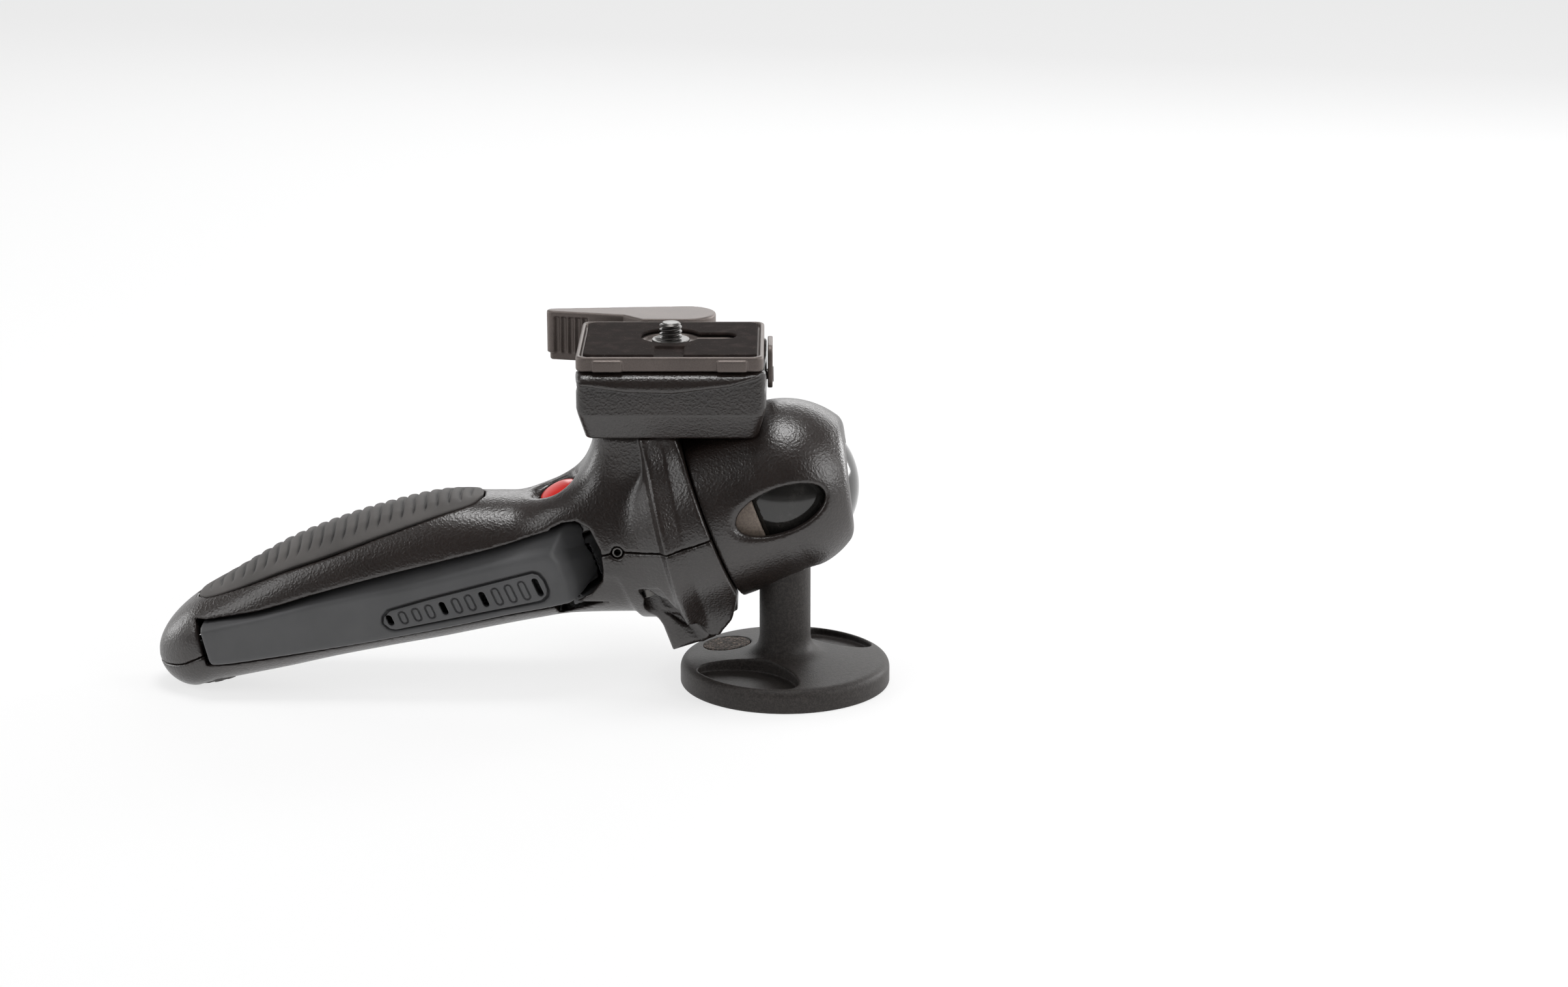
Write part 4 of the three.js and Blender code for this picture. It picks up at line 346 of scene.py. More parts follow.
DIAL_Z = 0.35 + DIAL_RADIUS * math.sin(DIAL_LEAN)
CATCH_Y, CATCH_PIN_Z = 8, 88.6
PLATE_FOOT, LOBE_GAP = 18.3, 0.6

# Badge: its face's place in millimetres, sloping along the grip and a little to the near side.
BADGE_PLACE = (Matrix.Translation((-64.5, -0.4, 57.4))
               @ Matrix.Rotation(-math.radians(25), 4, "Y")
               @ Matrix.Rotation(math.radians(9), 4, "X"))


# Meshes from arrays

def mesh_object(name, points, quads, triangles=None):
    """An object at the origin from millimetre points and faces, shaded smooth."""
    mesh = bpy.data.meshes.new(name)
    sides = [np.asarray(quads, np.int32).reshape(-1, 4)]
    if triangles is not None and len(triangles):
        sides.append(np.asarray(triangles, np.int32).reshape(-1, 3))
    loops = np.concatenate([block.ravel() for block in sides])
    counts = np.concatenate([np.full(len(block), block.shape[1]) for block in sides])
    mesh.vertices.add(len(points))
    mesh.vertices.foreach_set("co", (np.asarray(points, float) * MM).ravel())
    mesh.loops.add(len(loops))
    mesh.loops.foreach_set("vertex_index", loops)
    mesh.polygons.add(len(counts))
    mesh.polygons.foreach_set("loop_start", np.concatenate([[0], np.cumsum(counts)[:-1]]))
    mesh.polygons.foreach_set("use_smooth", np.ones(len(counts), bool))
    mesh.update(calc_edges=True)
    mesh.validate()
    piece = bpy.data.objects.new(name, mesh)
    bpy.context.scene.collection.objects.link(piece)
    return piece


def skin(name, rows, closed=True):
    """A surface through rows of points: along runs from row to row, around within a row.

    A row whose points all meet is a pole, and becomes one vertex with a fan of triangles;
    any other first or last row is closed with a fan over its middle point. With closed
    false the last row joins the first, as in a ring.
    """
    count, around = rows.shape[:2]
    points = rows.reshape(-1, 3)
    row = np.arange(count if not closed else count - 1)[:, None]
    column = np.arange(around)[None, :]
    following = (column + 1) % around
    below = (row + 1) % count
    quads = np.stack([row * around + column, row * around + following,
                      below * around + following, below * around + column], -1)
    triangles = []
    if closed:
        spread = np.ptp(rows, axis=1).max(axis=1)
        keep = np.ones(count - 1, bool)
        extra = []
        for end, inward in ((0, 1), (count - 1, -1)):
            ring = end + inward if spread[end] < 1e-6 else end
            if spread[end] < 1e-6:
                keep[min(end, ring)] = False
            centre = len(points) + len(extra)
            extra.append(rows[end].mean(axis=0))
            a = ring * around + np.arange(around)
            b = ring * around + (np.arange(around) + 1) % around
            fan = np.stack([np.full(around, centre), b, a], -1)
            triangles.append(fan if inward == 1 else fan[:, ::-1])
        points = np.concatenate([points, np.array(extra)])
        quads = quads[keep]
        triangles = np.concatenate(triangles)
    quads = quads.reshape(-1, 4)
    used = np.unique(np.concatenate([quads.ravel(), np.asarray(triangles, int).ravel()]))
    number = np.full(len(points), -1)
    number[used] = np.arange(len(used))
    triangles = number[triangles] if len(triangles) else None
    piece = mesh_object(name, points[used], number[quads], triangles)
    return face_outwards(piece)


def mesh_points(mesh):
    """A mesh's points as rows, in metres."""
    flat = np.empty(len(mesh.vertices) * 3)
    mesh.vertices.foreach_get("co", flat)
    return flat.reshape(-1, 3)


def reshape(piece, change):
    """Replaces a piece's points by what change makes of them, in millimetres."""
    points = change(mesh_points(piece.data) / MM)
    piece.data.vertices.foreach_set("co", (points * MM).ravel())
    piece.data.update()
    return piece


def face_outwards(piece):
    """Turns all faces over where the mesh encloses a negative volume."""
    mesh = piece.data
    mesh.calc_loop_triangles()
    faces = np.empty(len(mesh.loop_triangles) * 3, np.int32)
    mesh.loop_triangles.foreach_get("vertices", faces)
    a, b, c = mesh_points(mesh)[faces.reshape(-1, 3)].transpose(1, 0, 2)
    if np.einsum("ij,ij->i", a, np.cross(b, c)).sum() < 0:
        mesh.flip_normals()
    return piece


def fillets(corners, radii, steps=5):
    """A polyline with each inner corner replaced by a curve: a parabola through the two
    points a radius away from the corner, with the corner as its middle control point."""
    corners = np.asarray(corners, float)
    points = [corners[0][None]]
    for i in range(1, len(corners) - 1):
        before, here, after = corners[i - 1], corners[i], corners[i + 1]
        back, ahead = before - here, after - here
        reach = min(radii[i], 0.49 * np.linalg.norm(back), 0.49 * np.linalg.norm(ahead))
        if reach <= 0:
            points.append(here[None])
            continue
        start = here + back / np.linalg.norm(back) * reach
        end = here + ahead / np.linalg.norm(ahead) * reach
        t = np.linspace(0, 1, steps + 1)[:, None]
        points.append((1 - t) ** 2 * start + 2 * t * (1 - t) * here + t ** 2 * end)
    points.append(corners[-1][None])
    return np.concatenate(points)


def spaced(line, step):
    """The line with its long segments cut so that none is longer than a step."""
    lengths = np.linalg.norm(np.diff(line, axis=0), axis=1)
    pieces = [np.linspace(line[i], line[i + 1], max(int(np.ceil(length / step)), 1) + 1)[:-1]
              for i, length in enumerate(lengths)]
    return np.concatenate(pieces + [line[-1:]])


def full_turn(sides):
    """Equal angles once round."""
    return 2 * np.pi * np.arange(sides) / sides


def arc(start, end, count):
    """Points of a unit circle between two angles in degrees."""
    angle = np.radians(np.linspace(start, end, count))
    return np.stack([np.cos(angle), np.sin(angle)], -1)


def rings(radius, height, angle):
    """Rows of points round the local Z: (radius cos, radius sin, height)."""
    return np.stack([radius * np.cos(angle), radius * np.sin(angle), height + 0 * angle], -1)


def turned(name, profile, sides, place, closed=True):
    """A revolve: each profile point [radius, height] goes round the local Z at equal
    angles, and the place matrix then moves it. The profile starts and ends on the axis,
    or is a closed line where closed is false."""
    radius, height = np.asarray(profile, float).T[:, :, None]
    return skin(name, moved(rings(radius, height, full_turn(sides)), place), closed)


def carried(name, outline, steps):
    """A closed outline carried up: at each [inset, height] of steps the outline is drawn
    in along its own normals, and its two ends are closed flat."""
    outline = np.asarray(outline, float)
    ahead = np.roll(outline, -1, axis=0) - np.roll(outline, 1, axis=0)
    length = np.linalg.norm(ahead, axis=1, keepdims=True)
    inward = np.stack([-ahead[:, 1], ahead[:, 0]], -1) / length
    steps = np.asarray(steps, float)
    flat = outline[None] + inward[None] * steps[:, 0][:, None, None]
    height = np.broadcast_to(steps[:, 1][:, None, None], flat.shape[:2] + (1,))
    return skin(name, np.concatenate([flat, height], -1))


def rounded_steps(low, high, radius, count=4):
    """Inset and height of a slab with quarter rounds at both ends, heights rising."""
    angle = np.linspace(0, np.pi / 2, count + 1)
    inset = radius * (1 - np.sin(angle))
    lower = np.stack([inset, low + radius * (1 - np.cos(angle))], -1)
    upper = np.stack([inset[::-1], high - radius * (1 - np.cos(angle[::-1]))], -1)
    return np.concatenate([lower, upper])


def rounded_rectangle(x, y, half_x, half_y, corner, steps=6):
    """The outline of a rectangle with round corners, anticlockwise, as [x, y] rows."""
    quarter = np.radians(np.linspace(0, 90, steps + 1))
    rows = []
    for k, (sx, sy) in enumerate(((1, -1), (1, 1), (-1, 1), (-1, -1))):
        angle = quarter + np.radians(90 * (k - 1))
        rows.append(np.stack([x + sx * (half_x - corner) + corner * np.cos(angle),
                              y + sy * (half_y - corner) + corner * np.sin(angle)], -1))
    return np.concatenate(rows)


def moved(points, place):
    """Points turned and moved by a 4 by 4 matrix in millimetres."""
    place = np.asarray(place, float)
    return points @ place[:3, :3].T + place[:3, 3]


def placed(x, y, z, turn_y=0.0):
    """A turn about Y, then a move, as a 4 by 4 matrix in millimetres."""
    return np.array(Matrix.Translation((x, y, z)) @ Matrix.Rotation(turn_y, 4, "Y"))


# Curves through tables of shares

def straight_rows(rows, place):
    """Straight lines through rows of [place, value]."""
    return np.interp(place, *np.transpose(rows))


def smooth_rows(rows, place):
    """Cubic Hermite curves through rows of [place, value, ...], with each row's slope
    taken from its two neighbours. Returns one array for each value."""
    rows = np.asarray(rows, float)
    place = np.asarray(place, float)
    before = rows[np.maximum(np.arange(len(rows)) - 1, 0)]
    after = rows[np.minimum(np.arange(len(rows)) + 1, len(rows) - 1)]
    slopes = (after[:, 1:] - before[:, 1:]) / (after[:, :1] - before[:, :1])
    at = np.clip(np.searchsorted(rows[:, 0], place, side="left") - 1, 0, len(rows) - 2)
    span = rows[at + 1, 0] - rows[at, 0]
    t = np.clip((place - rows[at, 0]) / span, 0, 1)
    values = []
    for k in range(rows.shape[1] - 1):
        low, rise = rows[at, k + 1], rows[at + 1, k + 1] - rows[at, k + 1]
        start, end = slopes[at, k] * span, slopes[at + 1, k] * span
        values.append(low + start * t + (3 * rise - 2 * start - end) * t ** 2
                      + (start + end - 2 * rise) * t ** 3)
    return values


# Fields: negative inside, in millimetres. The moulded shells, the housing, the clamp and
# the plate are blends and cuts of many forms, which no one grid can follow, so each is
# the zero level of a field instead.

def both(first, second, soft=0.0):
    """Where both forms are, with the edge between them rounded: the greater value, raised
    by (soft - difference)^2 / (4 soft) where the two differ by less than soft."""
    if not soft:
        return np.maximum(first, second)
    near = np.maximum(soft - np.abs(first - second), 0)
    return np.maximum(first, second) + near ** 2 / (4 * soft)


def either(first, second, soft=0.0):
    """Where either form is, with the crease between them filled."""
    return -both(-first, -second, soft)


def meet(*forms):
    """Where all the forms are, with sharp edges."""
    return functools.reduce(np.maximum, forms)


def less(first, *others, soft=0.0):
    """The first form without what all the others share."""
    return both(first, -meet(*others), soft)


def slab_field(value, low, high):
    """Distance to the layer between two values of a coordinate."""
    return np.maximum(low - value, value - high)


def polygon_field(u, v, outline):
    """Signed distance to a polygon: the least distance to its edges, negative where a
    level ray crosses them an odd number of times."""
    outline = np.asarray(outline, float)
    u, v = np.broadcast_arrays(u, v)
    nearest = np.full(u.shape, np.inf)
    inside = np.zeros(u.shape, bool)
    for (u0, v0), (u1, v1) in zip(outline, np.roll(outline, -1, axis=0)):
        du, dv = u1 - u0, v1 - v0
        t = np.clip(((u - u0) * du + (v - v0) * dv) / (du * du + dv * dv + 1e-12), 0, 1)
        nearest = np.minimum(nearest, (u - u0 - t * du) ** 2 + (v - v0 - t * dv) ** 2)
        if dv:
            crosses = (v0 > v) != (v1 > v)
            inside ^= crosses & (u < u0 + (v - v0) / dv * du)
    distance = np.sqrt(nearest)
    return np.where(inside, -distance, distance)


def squared_ring(u, v, a, b, power):
    """One on a squared ellipse with half axes a and b: (|u / a|^p + |v / b|^p)^(1 / p)."""
    return ((np.abs(u) / a) ** power + (np.abs(v) / b) ** power) ** (1 / power)


def ellipse_field(u, v, a, b):
    """First-order distance to an ellipse with half axes a and b."""
    k = np.sqrt((u / a) ** 2 + (v / b) ** 2) + 1e-9
    g = np.sqrt((u / a ** 2) ** 2 + (v / b ** 2) ** 2) + 1e-9
    return k * (k - 1) / g


def rod_field(x, y, z, start, end, radius):
    """Distance to a straight round bar with flat ends between two points."""
    start, end = np.asarray(start, float), np.asarray(end, float)
    length = np.linalg.norm(end - start)
    ux, uy, uz = (end - start) / length
    px, py, pz = x - start[0], y - start[1], z - start[2]
    along = px * ux + py * uy + pz * uz
    off = np.sqrt(np.maximum(px ** 2 + py ** 2 + pz ** 2 - along ** 2, 0))
    return np.maximum(off - radius, slab_field(along, 0, length))


CORNERS = np.array([[i, j, k] for i in (0, 1) for j in (0, 1) for k in (0, 1)])
EDGES = np.array([[a, b] for a in range(8) for b in range(a + 1, 8)
                  if np.abs(CORNERS[a] - CORNERS[b]).sum() == 1])


def field_surface(name, field, low, high, step, passes=3):
    """The zero level of a field as a mesh of quads.

    The box from low to high is cut into cubes of the step. A cube whose corners differ in
    sign gets one vertex, the mean of the crossings on its edges, and each lattice edge that
    changes sign gets a quad over the four cubes round it. Each vertex then moves along the
    field's slope by value / slope^2, a few times, until it lies on the zero level.
    """
    lines = [np.arange(a, b + step, step) for a, b in zip(low, high)]
    grid = np.meshgrid(*lines, indexing="ij", sparse=True)
    shape = tuple(len(line) for line in lines)
    values = np.broadcast_to(field(*grid), shape).astype(np.float32)
    inside = values < 0
    cells = tuple(n - 1 for n in shape)
    count = np.zeros(cells, np.uint8)
    for i, j, k in CORNERS:
        count += inside[i:i + cells[0], j:j + cells[1], k:k + cells[2]]
    active = (count > 0) & (count < 8)
    cell = np.argwhere(active)
    number = np.full(cells, -1, np.int32)
    number[active] = np.arange(len(cell))
    spots = cell[:, None, :] + CORNERS[None]
    corner = values[spots[..., 0], spots[..., 1], spots[..., 2]]
    first, second = corner[:, EDGES[:, 0]], corner[:, EDGES[:, 1]]
    crosses = (first < 0) != (second < 0)
    share = np.where(crosses, first / np.where(crosses, first - second, 1), 0)
    away = CORNERS[EDGES[:, 1]] - CORNERS[EDGES[:, 0]]
    crossing = CORNERS[EDGES[:, 0]][None] + share[..., None] * away[None]
    middle = (crossing * crosses[..., None]).sum(1) / crosses.sum(1)[:, None]
    points = np.array([line[0] for line in lines]) + step * (cell + middle)
    quads = []
    for axis in range(3):
        u, w = (axis + 1) % 3, (axis + 2) % 3
        near = np.take(inside, np.arange(shape[axis] - 1), axis)
        far = np.take(inside, np.arange(1, shape[axis]), axis)
        edge = np.argwhere(near != far)
        fits = ((edge[:, u] > 0) & (edge[:, w] > 0)
                & (edge[:, u] < shape[u] - 1) & (edge[:, w] < shape[w] - 1))
        edge = edge[fits]
        ring = []
        for back_u, back_w in ((1, 1), (0, 1), (0, 0), (1, 0)):
            spot = edge.copy()
            spot[:, u] -= back_u
            spot[:, w] -= back_w
            ring.append(number[spot[:, 0], spot[:, 1], spot[:, 2]])
        ring = np.stack(ring, -1)
        outwards = near[edge[:, 0], edge[:, 1], edge[:, 2]]
        quads.append(np.where(outwards[:, None], ring, ring[:, ::-1]))
    quads = np.concatenate(quads)
    reach = 0.08
    for _ in range(passes):
        x, y, z = points.T
        value = field(x, y, z)
        slope = np.stack([field(x + reach, y, z) - field(x - reach, y, z),
                          field(x, y + reach, z) - field(x, y - reach, z),
                          field(x, y, z + reach) - field(x, y, z - reach)], -1) / (2 * reach)
        steep = np.maximum((slope ** 2).sum(-1), 0.05)
        shift = -(value / steep)[:, None] * slope
        length = np.linalg.norm(shift, axis=1, keepdims=True)
        points = points + shift * np.minimum(1, 0.6 * step / np.maximum(length, 1e-9))
    return mesh_object(name, points, quads)


# Shader maths

class Wire:
    """A shader value: an output socket, or a number, with the operators it needs."""

    def __init__(self, graph, socket):
        self.graph = graph
        self.socket = socket

    def maths(self, operation, *others):
        values = {i: other for i, other in enumerate((self,) + others)}
        return self.graph.node("ShaderNodeMath", {"operation": operation}, values)

    def __add__(self, other):
        return self.maths("ADD", other)

    def __radd__(self, other):
        return self.maths("ADD", other)

    def __sub__(self, other):
        return self.maths("SUBTRACT", other)

    def __rsub__(self, other):
        return self.graph.node("ShaderNodeMath", {"operation": "SUBTRACT"}, {0: other, 1: self})

    def __mul__(self, other):
        return self.maths("MULTIPLY", other)

    def __rmul__(self, other):
        return self.maths("MULTIPLY", other)

    def ramp(self, low, high):
        """0 below low, 1 above high, and a smooth rise between them."""
        return self.graph.node("ShaderNodeMapRange", {"interpolation_type": "SMOOTHSTEP"},
                               {"Value": self, "From Min": low, "From Max": high})


class Graph:
    """A material's or a world's node tree, with one method that adds any node."""

    def __init__(self, name, kind="materials"):
        self.material = getattr(bpy.data, kind).new(name)
        self.material.use_nodes = True
        self.tree = self.material.node_tree
        self.shader = self.tree.nodes.get("Principled BSDF")

    def path(self, ray):
        """One where the ray that arrives is of this kind."""
        return self.node("ShaderNodeLightPath", output=f"Is {ray} Ray")

    def between(self, factor, first, second):
        """A value between two values."""
        return self.node("ShaderNodeMix", {}, {0: factor, 2: first, 3: second})

    def node(self, kind, settings=None, values=None, output=0):
        """Adds a node, sets its settings, then sets or links its input sockets."""
        node = self.tree.nodes.new(kind)
        for key, value in (settings or {}).items():
            if key == "stops":
                ramp = node.color_ramp
                for i, (place, colour) in enumerate(value):
                    stop = ramp.elements[i] if i < 2 else ramp.elements.new(place)
                    stop.position = place
                    stop.color = (*colour, 1)
            else:
                setattr(node, key, value)
        for key, value in (values or {}).items():
            self.feed(node.inputs[key], value)
        return Wire(self, node.outputs[output])

    def feed(self, socket, value):
        """Links a wire to a socket, or sets the socket's own value."""
        if isinstance(value, Wire):
            self.tree.links.new(value.socket, socket)
        elif socket.type == "RGBA" and not isinstance(value, float):
            socket.default_value = (*value, 1)
        else:
            socket.default_value = value

    def set(self, **values):
        """Feeds the shader's sockets, with an underscore for a space; gives the material."""
        for key, value in values.items():
            self.feed(self.shader.inputs[key.replace("_", " ")], value)
        return self.material

    def places(self):
        """Object coordinates, in metres."""
        return self.node("ShaderNodeTexCoord", output="Object")

    def noise(self, scale, detail=2.0, roughness=0.5, vector=None, output=0):
        """Noise between 0 and 1, with scale in waves per metre."""
        return self.node("ShaderNodeTexNoise", {}, {
            "Vector": vector or self.places(), "Scale": scale, "Detail": detail,
            "Roughness": roughness}, output)

    def cells(self, scale, vector=None, feature="F1", output="Distance"):
        """Distance to the nearest of scattered points, in cells, or that point's colour."""
        values = {"Vector": vector or self.places(), "Scale": scale}
        return self.node("ShaderNodeTexVoronoi", {"feature": feature}, values, output)

    def blend(self, factor, first, second):
        """A colour between two colours."""
        return self.node("ShaderNodeMix", {"data_type": "RGBA"},
                         {0: factor, 6: first, 7: second}, 2)

    def tones(self, factor, colour, low, high):
        """A colour between two shades of one colour."""
        return self.blend(factor, shade(colour, low), shade(colour, high))

    def vectors(self, operation, first, second, socket=1):
        """Vector maths on two inputs."""
        return self.node("ShaderNodeVectorMath", {"operation": operation},
                         {0: first, socket: second})

    def bump(self, height, distance, strength):
        """A normal from a height between 0 and 1 that stands for a distance in metres."""
        return self.node("ShaderNodeBump", {}, {"Height": height, "Distance": distance,
                                                "Strength": strength})

    def seen(self):
        """One where the camera looks, straight or through glass."""
        return self.node("ShaderNodeMath", {"operation": "MAXIMUM"},
                         {0: self.path("Camera"), 1: self.path("Transmission")})


def shade(colour, factor):
    """A colour made lighter or darker."""
    return tuple(min(channel * factor, 1.0) for channel in colour)


def grained_coat(g, colours):
    """Black coat with a fine leather grain: rounded cells bent by noise, with painted highlight on
    the cells' tops and painted shade in the dips.
    """
    bend = g.noise(900)
    warp = g.vectors("SCALE", g.noise(700.0, 1.0, output="Color"), 0.0011, 3)
    place = g.vectors("ADD", g.places(), warp)
    grain = g.cells(1500, place, "SMOOTH_F1").ramp(0.0, 0.75)
    broad = g.noise(45, 3)
    # Random broad patches, plus painted highlight on the grain's tops and painted shade in its
    # dips.
    tone = broad.ramp(0.35, 0.7) * 0.5 + (1 - grain) * 0.35
    return g.set(Base_Color=g.tones(tone, colours.coat, 0.8, 1.35),
                 Roughness=0.26 + 0.09 * grain + 0.06 * broad, Specular_IOR_Level=0.9,
                 Normal=g.bump((1 - grain) * 0.6 + bend * 0.4, 0.00010, 0.85))


def smooth_charcoal(g, colours):
    """Matte moulded plastic: a very fine spark texture and faint rubbed patches."""
    fine, broad = g.noise(3200), g.noise(60, 3)
    return g.set(Base_Color=g.tones(broad.ramp(0.3, 0.7), colours.charcoal, 0.92, 1.1),
                 Roughness=0.44 + 0.07 * broad + 0.03 * fine,
                 Normal=g.bump(fine, 0.000022, 0.6))


def ribbed_rubber(g, colours):
    """Matte rubber: fine grain, worn lighter where a hand rubs it, and painted shade darker
    between the ribs.
    """
    fine, broad = g.noise(2600, 3), g.noise(90, 3)
    rib = g.node("ShaderNodeAttribute", {"attribute_name": "rib"}, output="Fac")
    # The rib attribute is painted shade: it darkens the valleys between the ribs.
    tone = (broad.ramp(0.3, 0.75) * 0.3 + fine * 0.2 + 0.6) * rib.ramp(-0.1, 1.0)
    return g.set(Base_Color=g.tones(tone, colours.rubber, 0.2, 1.35),
                 Roughness=0.62 + 0.12 * fine, Normal=g.bump(fine, 0.00005, 0.6))


def sand_blasted(g, colours):
    """Satin black over a sand-blasted casting: sharp fine pits and lighter peaks."""
    pits = g.noise(2300, 3, 0.6)
    height = pits * 0.65 + g.noise(1100) * 0.35
    return g.set(Base_Color=g.tones(height.ramp(0.38, 0.66), colours.base, 0.72, 1.5),
                 Roughness=0.44 + 0.16 * pits, Specular_IOR_Level=0.3,
                 Normal=g.bump(height, 0.00012, 0.9))


def gloss_ball(g, colours):
    """Polished black with faint wear."""
    wear = g.noise(160, 4, 0.6)
    return g.set(Base_Color=g.tones(wear.ramp(0.5, 0.8), colours.ball, 1, 2.5),
                 Roughness=0.09 + 0.08 * wear, Normal=g.bump(wear, 0.00001, 0.3),
                 Coat_Weight=0.4, Coat_Roughness=0.06)


def cup_plastic(g, colours):
    """Brown-grey moulded plastic with fine grain."""
    fine = g.noise(1800, 3)
    return g.set(Base_Color=g.tones(fine.ramp(0.35, 0.65), colours.cup, 0.85, 1.15),
                 Roughness=0.5 + 0.12 * fine, Normal=g.bump(fine, 0.00004, 0.5))


def cast_metal(g, colours):
    """Die-cast metal with a thin satin coat: fine grain and brushed patches."""
    fine, broad = g.noise(2800, 3, 0.6), g.noise(80, 3)
    tone = (fine * 0.5 + broad * 0.5).ramp(0.35, 0.65)
    return g.set(Base_Color=g.tones(tone, colours.die_cast, 0.88, 1.18), Metallic=0.55,
                 Roughness=0.40 + 0.12 * fine + 0.05 * broad,
                 Normal=g.bump(fine, 0.000035, 0.5))


def metal(g, colour, roughness):
    """Bare metal with fine turning marks along Z and faint stains."""
    stretched = g.node("ShaderNodeMapping", {}, {"Vector": g.places(),
                                                 "Scale": (0.15, 0.15, 2.0)})
    lines, stain = g.noise(2000, vector=stretched), g.noise(300, 3)
    return g.set(Base_Color=g.tones(stain.ramp(0.3, 0.7), colour, 0.8, 1.15), Metallic=0.95,
                 Roughness=roughness + 0.15 * lines, Normal=g.bump(lines, 0.000015, 0.4))


def pad_rubber(g, colours):
    """Near-black brown rubber with pale specks and fine grain."""
    fine = g.noise(2200, 3)
    speck = (1 - g.cells(900)).ramp(0.86, 0.97)
    dust = g.noise(260, 4).ramp(0.45, 0.75)
    base = g.tones(dust * 0.8 + fine * 0.3, colours.plate_pad, 1, 2.1)
    return g.set(Base_Color=g.blend(speck * 0.35, base, (0.22, 0.18, 0.16)),
                 Roughness=0.75 + 0.15 * fine, Specular_IOR_Level=0.05,
                 Normal=g.bump(fine, 0.00009, 0.7))


def speckled_inlay(g, colours):
    """Cork-like rubber: brown crumbs of several tones with dark gaps."""
    value = g.node("ShaderNodeSeparateColor", {}, {0: g.cells(1300, output="Color")})
    gaps = g.cells(1300).ramp(0.35, 0.75)
    stops = ((0.0, 0.35), (1.0, 2.6), (0.35, 0.8), (0.7, 1.5))
    tone = g.node("ShaderNodeValToRGB", {"stops": [
        (place, shade(colours.inlay, factor)) for place, factor in stops]}, {0: value})
    return g.set(Base_Color=g.blend(gaps * 0.8, tone, shade(colours.inlay, 0.3)),
                 Roughness=0.8 + 0.1 * gaps, Normal=g.bump(1 - gaps, 0.00012, 0.7))


def badge_red(g, colours):
    """Glossy red enamel with a faint depth of colour."""
    cloud = g.noise(180, 3)
    return g.set(Base_Color=g.tones(cloud.ramp(0.3, 0.7), colours.badge, 0.9, 1),
                 Roughness=0.16 + 0.05 * cloud, Specular_IOR_Level=0.3,
                 Normal=g.bump(cloud, 0.00002, 0.2))


FINISHES = {}
COATS = {
    "coat": grained_coat, "charcoal": smooth_charcoal, "rubber": ribbed_rubber,
    "sanded_black": sand_blasted, "ball_black": gloss_ball, "cup_grey": cup_plastic,
    "die_cast": cast_metal, "plate_pad": pad_rubber, "cork": speckled_inlay, "red": badge_red,
}
# Colour and least roughness of each bare metal.
METALS = {
    "steel": ((0.42, 0.42, 0.43), 0.22), "dark_steel": ((0.13, 0.125, 0.12), 0.3),
    "spring_steel": ((0.2, 0.2, 0.195), 0.28), "brass": ((0.52, 0.33, 0.11), 0.25),
}


def make_finishes():
    """All of the object's materials, by the record's slot names."""
    colours = sizes("colours")
    for slot, make in COATS.items():
        FINISHES[slot] = make(Graph(slot), colours)
    for slot, (colour, roughness) in METALS.items():
        FINISHES[slot] = metal(Graph(slot), colour, roughness)


def finish(piece, body, slot, *nodes):
    """Gives a piece its material and its body, and hides the nodes that it stands for."""
    piece.data.materials.clear()
    piece.data.materials.append(FINISHES[slot])
    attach(piece, body)
    if nodes:
        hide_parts(*nodes)
    return piece


def dress(slot, *nodes):
    """Gives CAD nodes whose shape is right a better material."""
    for name in nodes:
        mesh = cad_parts[name].data
        if not mesh.materials:
            mesh.materials.append(FINISHES[slot])
        for i in range(len(mesh.materials)):
            mesh.materials[i] = FINISHES[slot]


# Base

FLANGE = 1.8  # Thickness of the bush's flange, in millimetres like all that follows.
STUD, STUD_BELOW, STUD_ABOVE = 3.4, 15, 13
STEM_FOOT, CUT_TOP = 3, 12


def cone_height(base, radius):
    """Height of the base's shallow cone at a radius."""
    outer, inner = base.radius - base.rim_fillet, base.stem_radius + base.flare_radius
    foot = base.rim_height + base.rim_fillet
    return foot + base.top_rise * (outer - radius) / (outer - inner)


def base_field(base):
    """A shallow cone with a round rim and a stem that flares into it, less the two pockets,
    the inlay's seat, the bush's hole below and the stud's hole in the stem."""
    low = cone_height(base, base.pocket_rim) - base.pocket_depth
    inlay_low = cone_height(base, base.inlay_reach + base.inlay_radius) - base.inlay_depth
    cuts = [(base.near_pocket_turn, base.near_pocket_centre, base.near_pocket_radius, low),
            (base.far_pocket_turn, base.far_pocket_centre, base.far_pocket_radius, low),
            (base.inlay_turn, base.inlay_reach, base.inlay_radius + FIT, inlay_low)]

    def field(x, y, z):
        off = np.hypot(x, y)
        top = (z - cone_height(base, off)) * 0.98
        body = both(both(off - base.radius, top, base.rim_fillet * 1.7), -z, base.foot_chamfer)
        stem = both(off - base.stem_radius, slab_field(z, STEM_FOOT, base.stem_top), 0.3)
        body = np.maximum(either(body, stem, base.flare_radius * 1.2), -z)
        for way, away, radius, floor in cuts:
            across = np.hypot(x - away * math.cos(way), y - away * math.sin(way)) - radius
            cut = np.maximum(both(across, off - base.pocket_rim, 5.0), floor - z)
            body = less(body, cut, z - CUT_TOP, soft=0.4)
        for radius, top in ((base.bush_radius, base.bush_length), (base.bush_flange, FLANGE)):
            body = less(body, off - radius - FIT, z - top - FIT)
        return less(body, off - STUD - FIT, base.stem_top - STUD_BELOW - FIT - z)
    return field


def tilt_top(points, base):
    """Raises a disc's upper points to the base's cone: height rises by the cone's slope
    times the way from the disc's outer side towards the stem."""
    outer = base.inlay_reach + base.inlay_radius
    slope = base.top_rise / (base.radius - base.rim_fillet - base.stem_radius
                             - base.flare_radius)
    lift = np.clip(outer - np.hypot(points[:, 0], points[:, 1]), 0, None) * slope
    points[:, 2] += np.where(points[:, 2] > cone_height(base, outer) - 0.35, lift, 0)
    return points


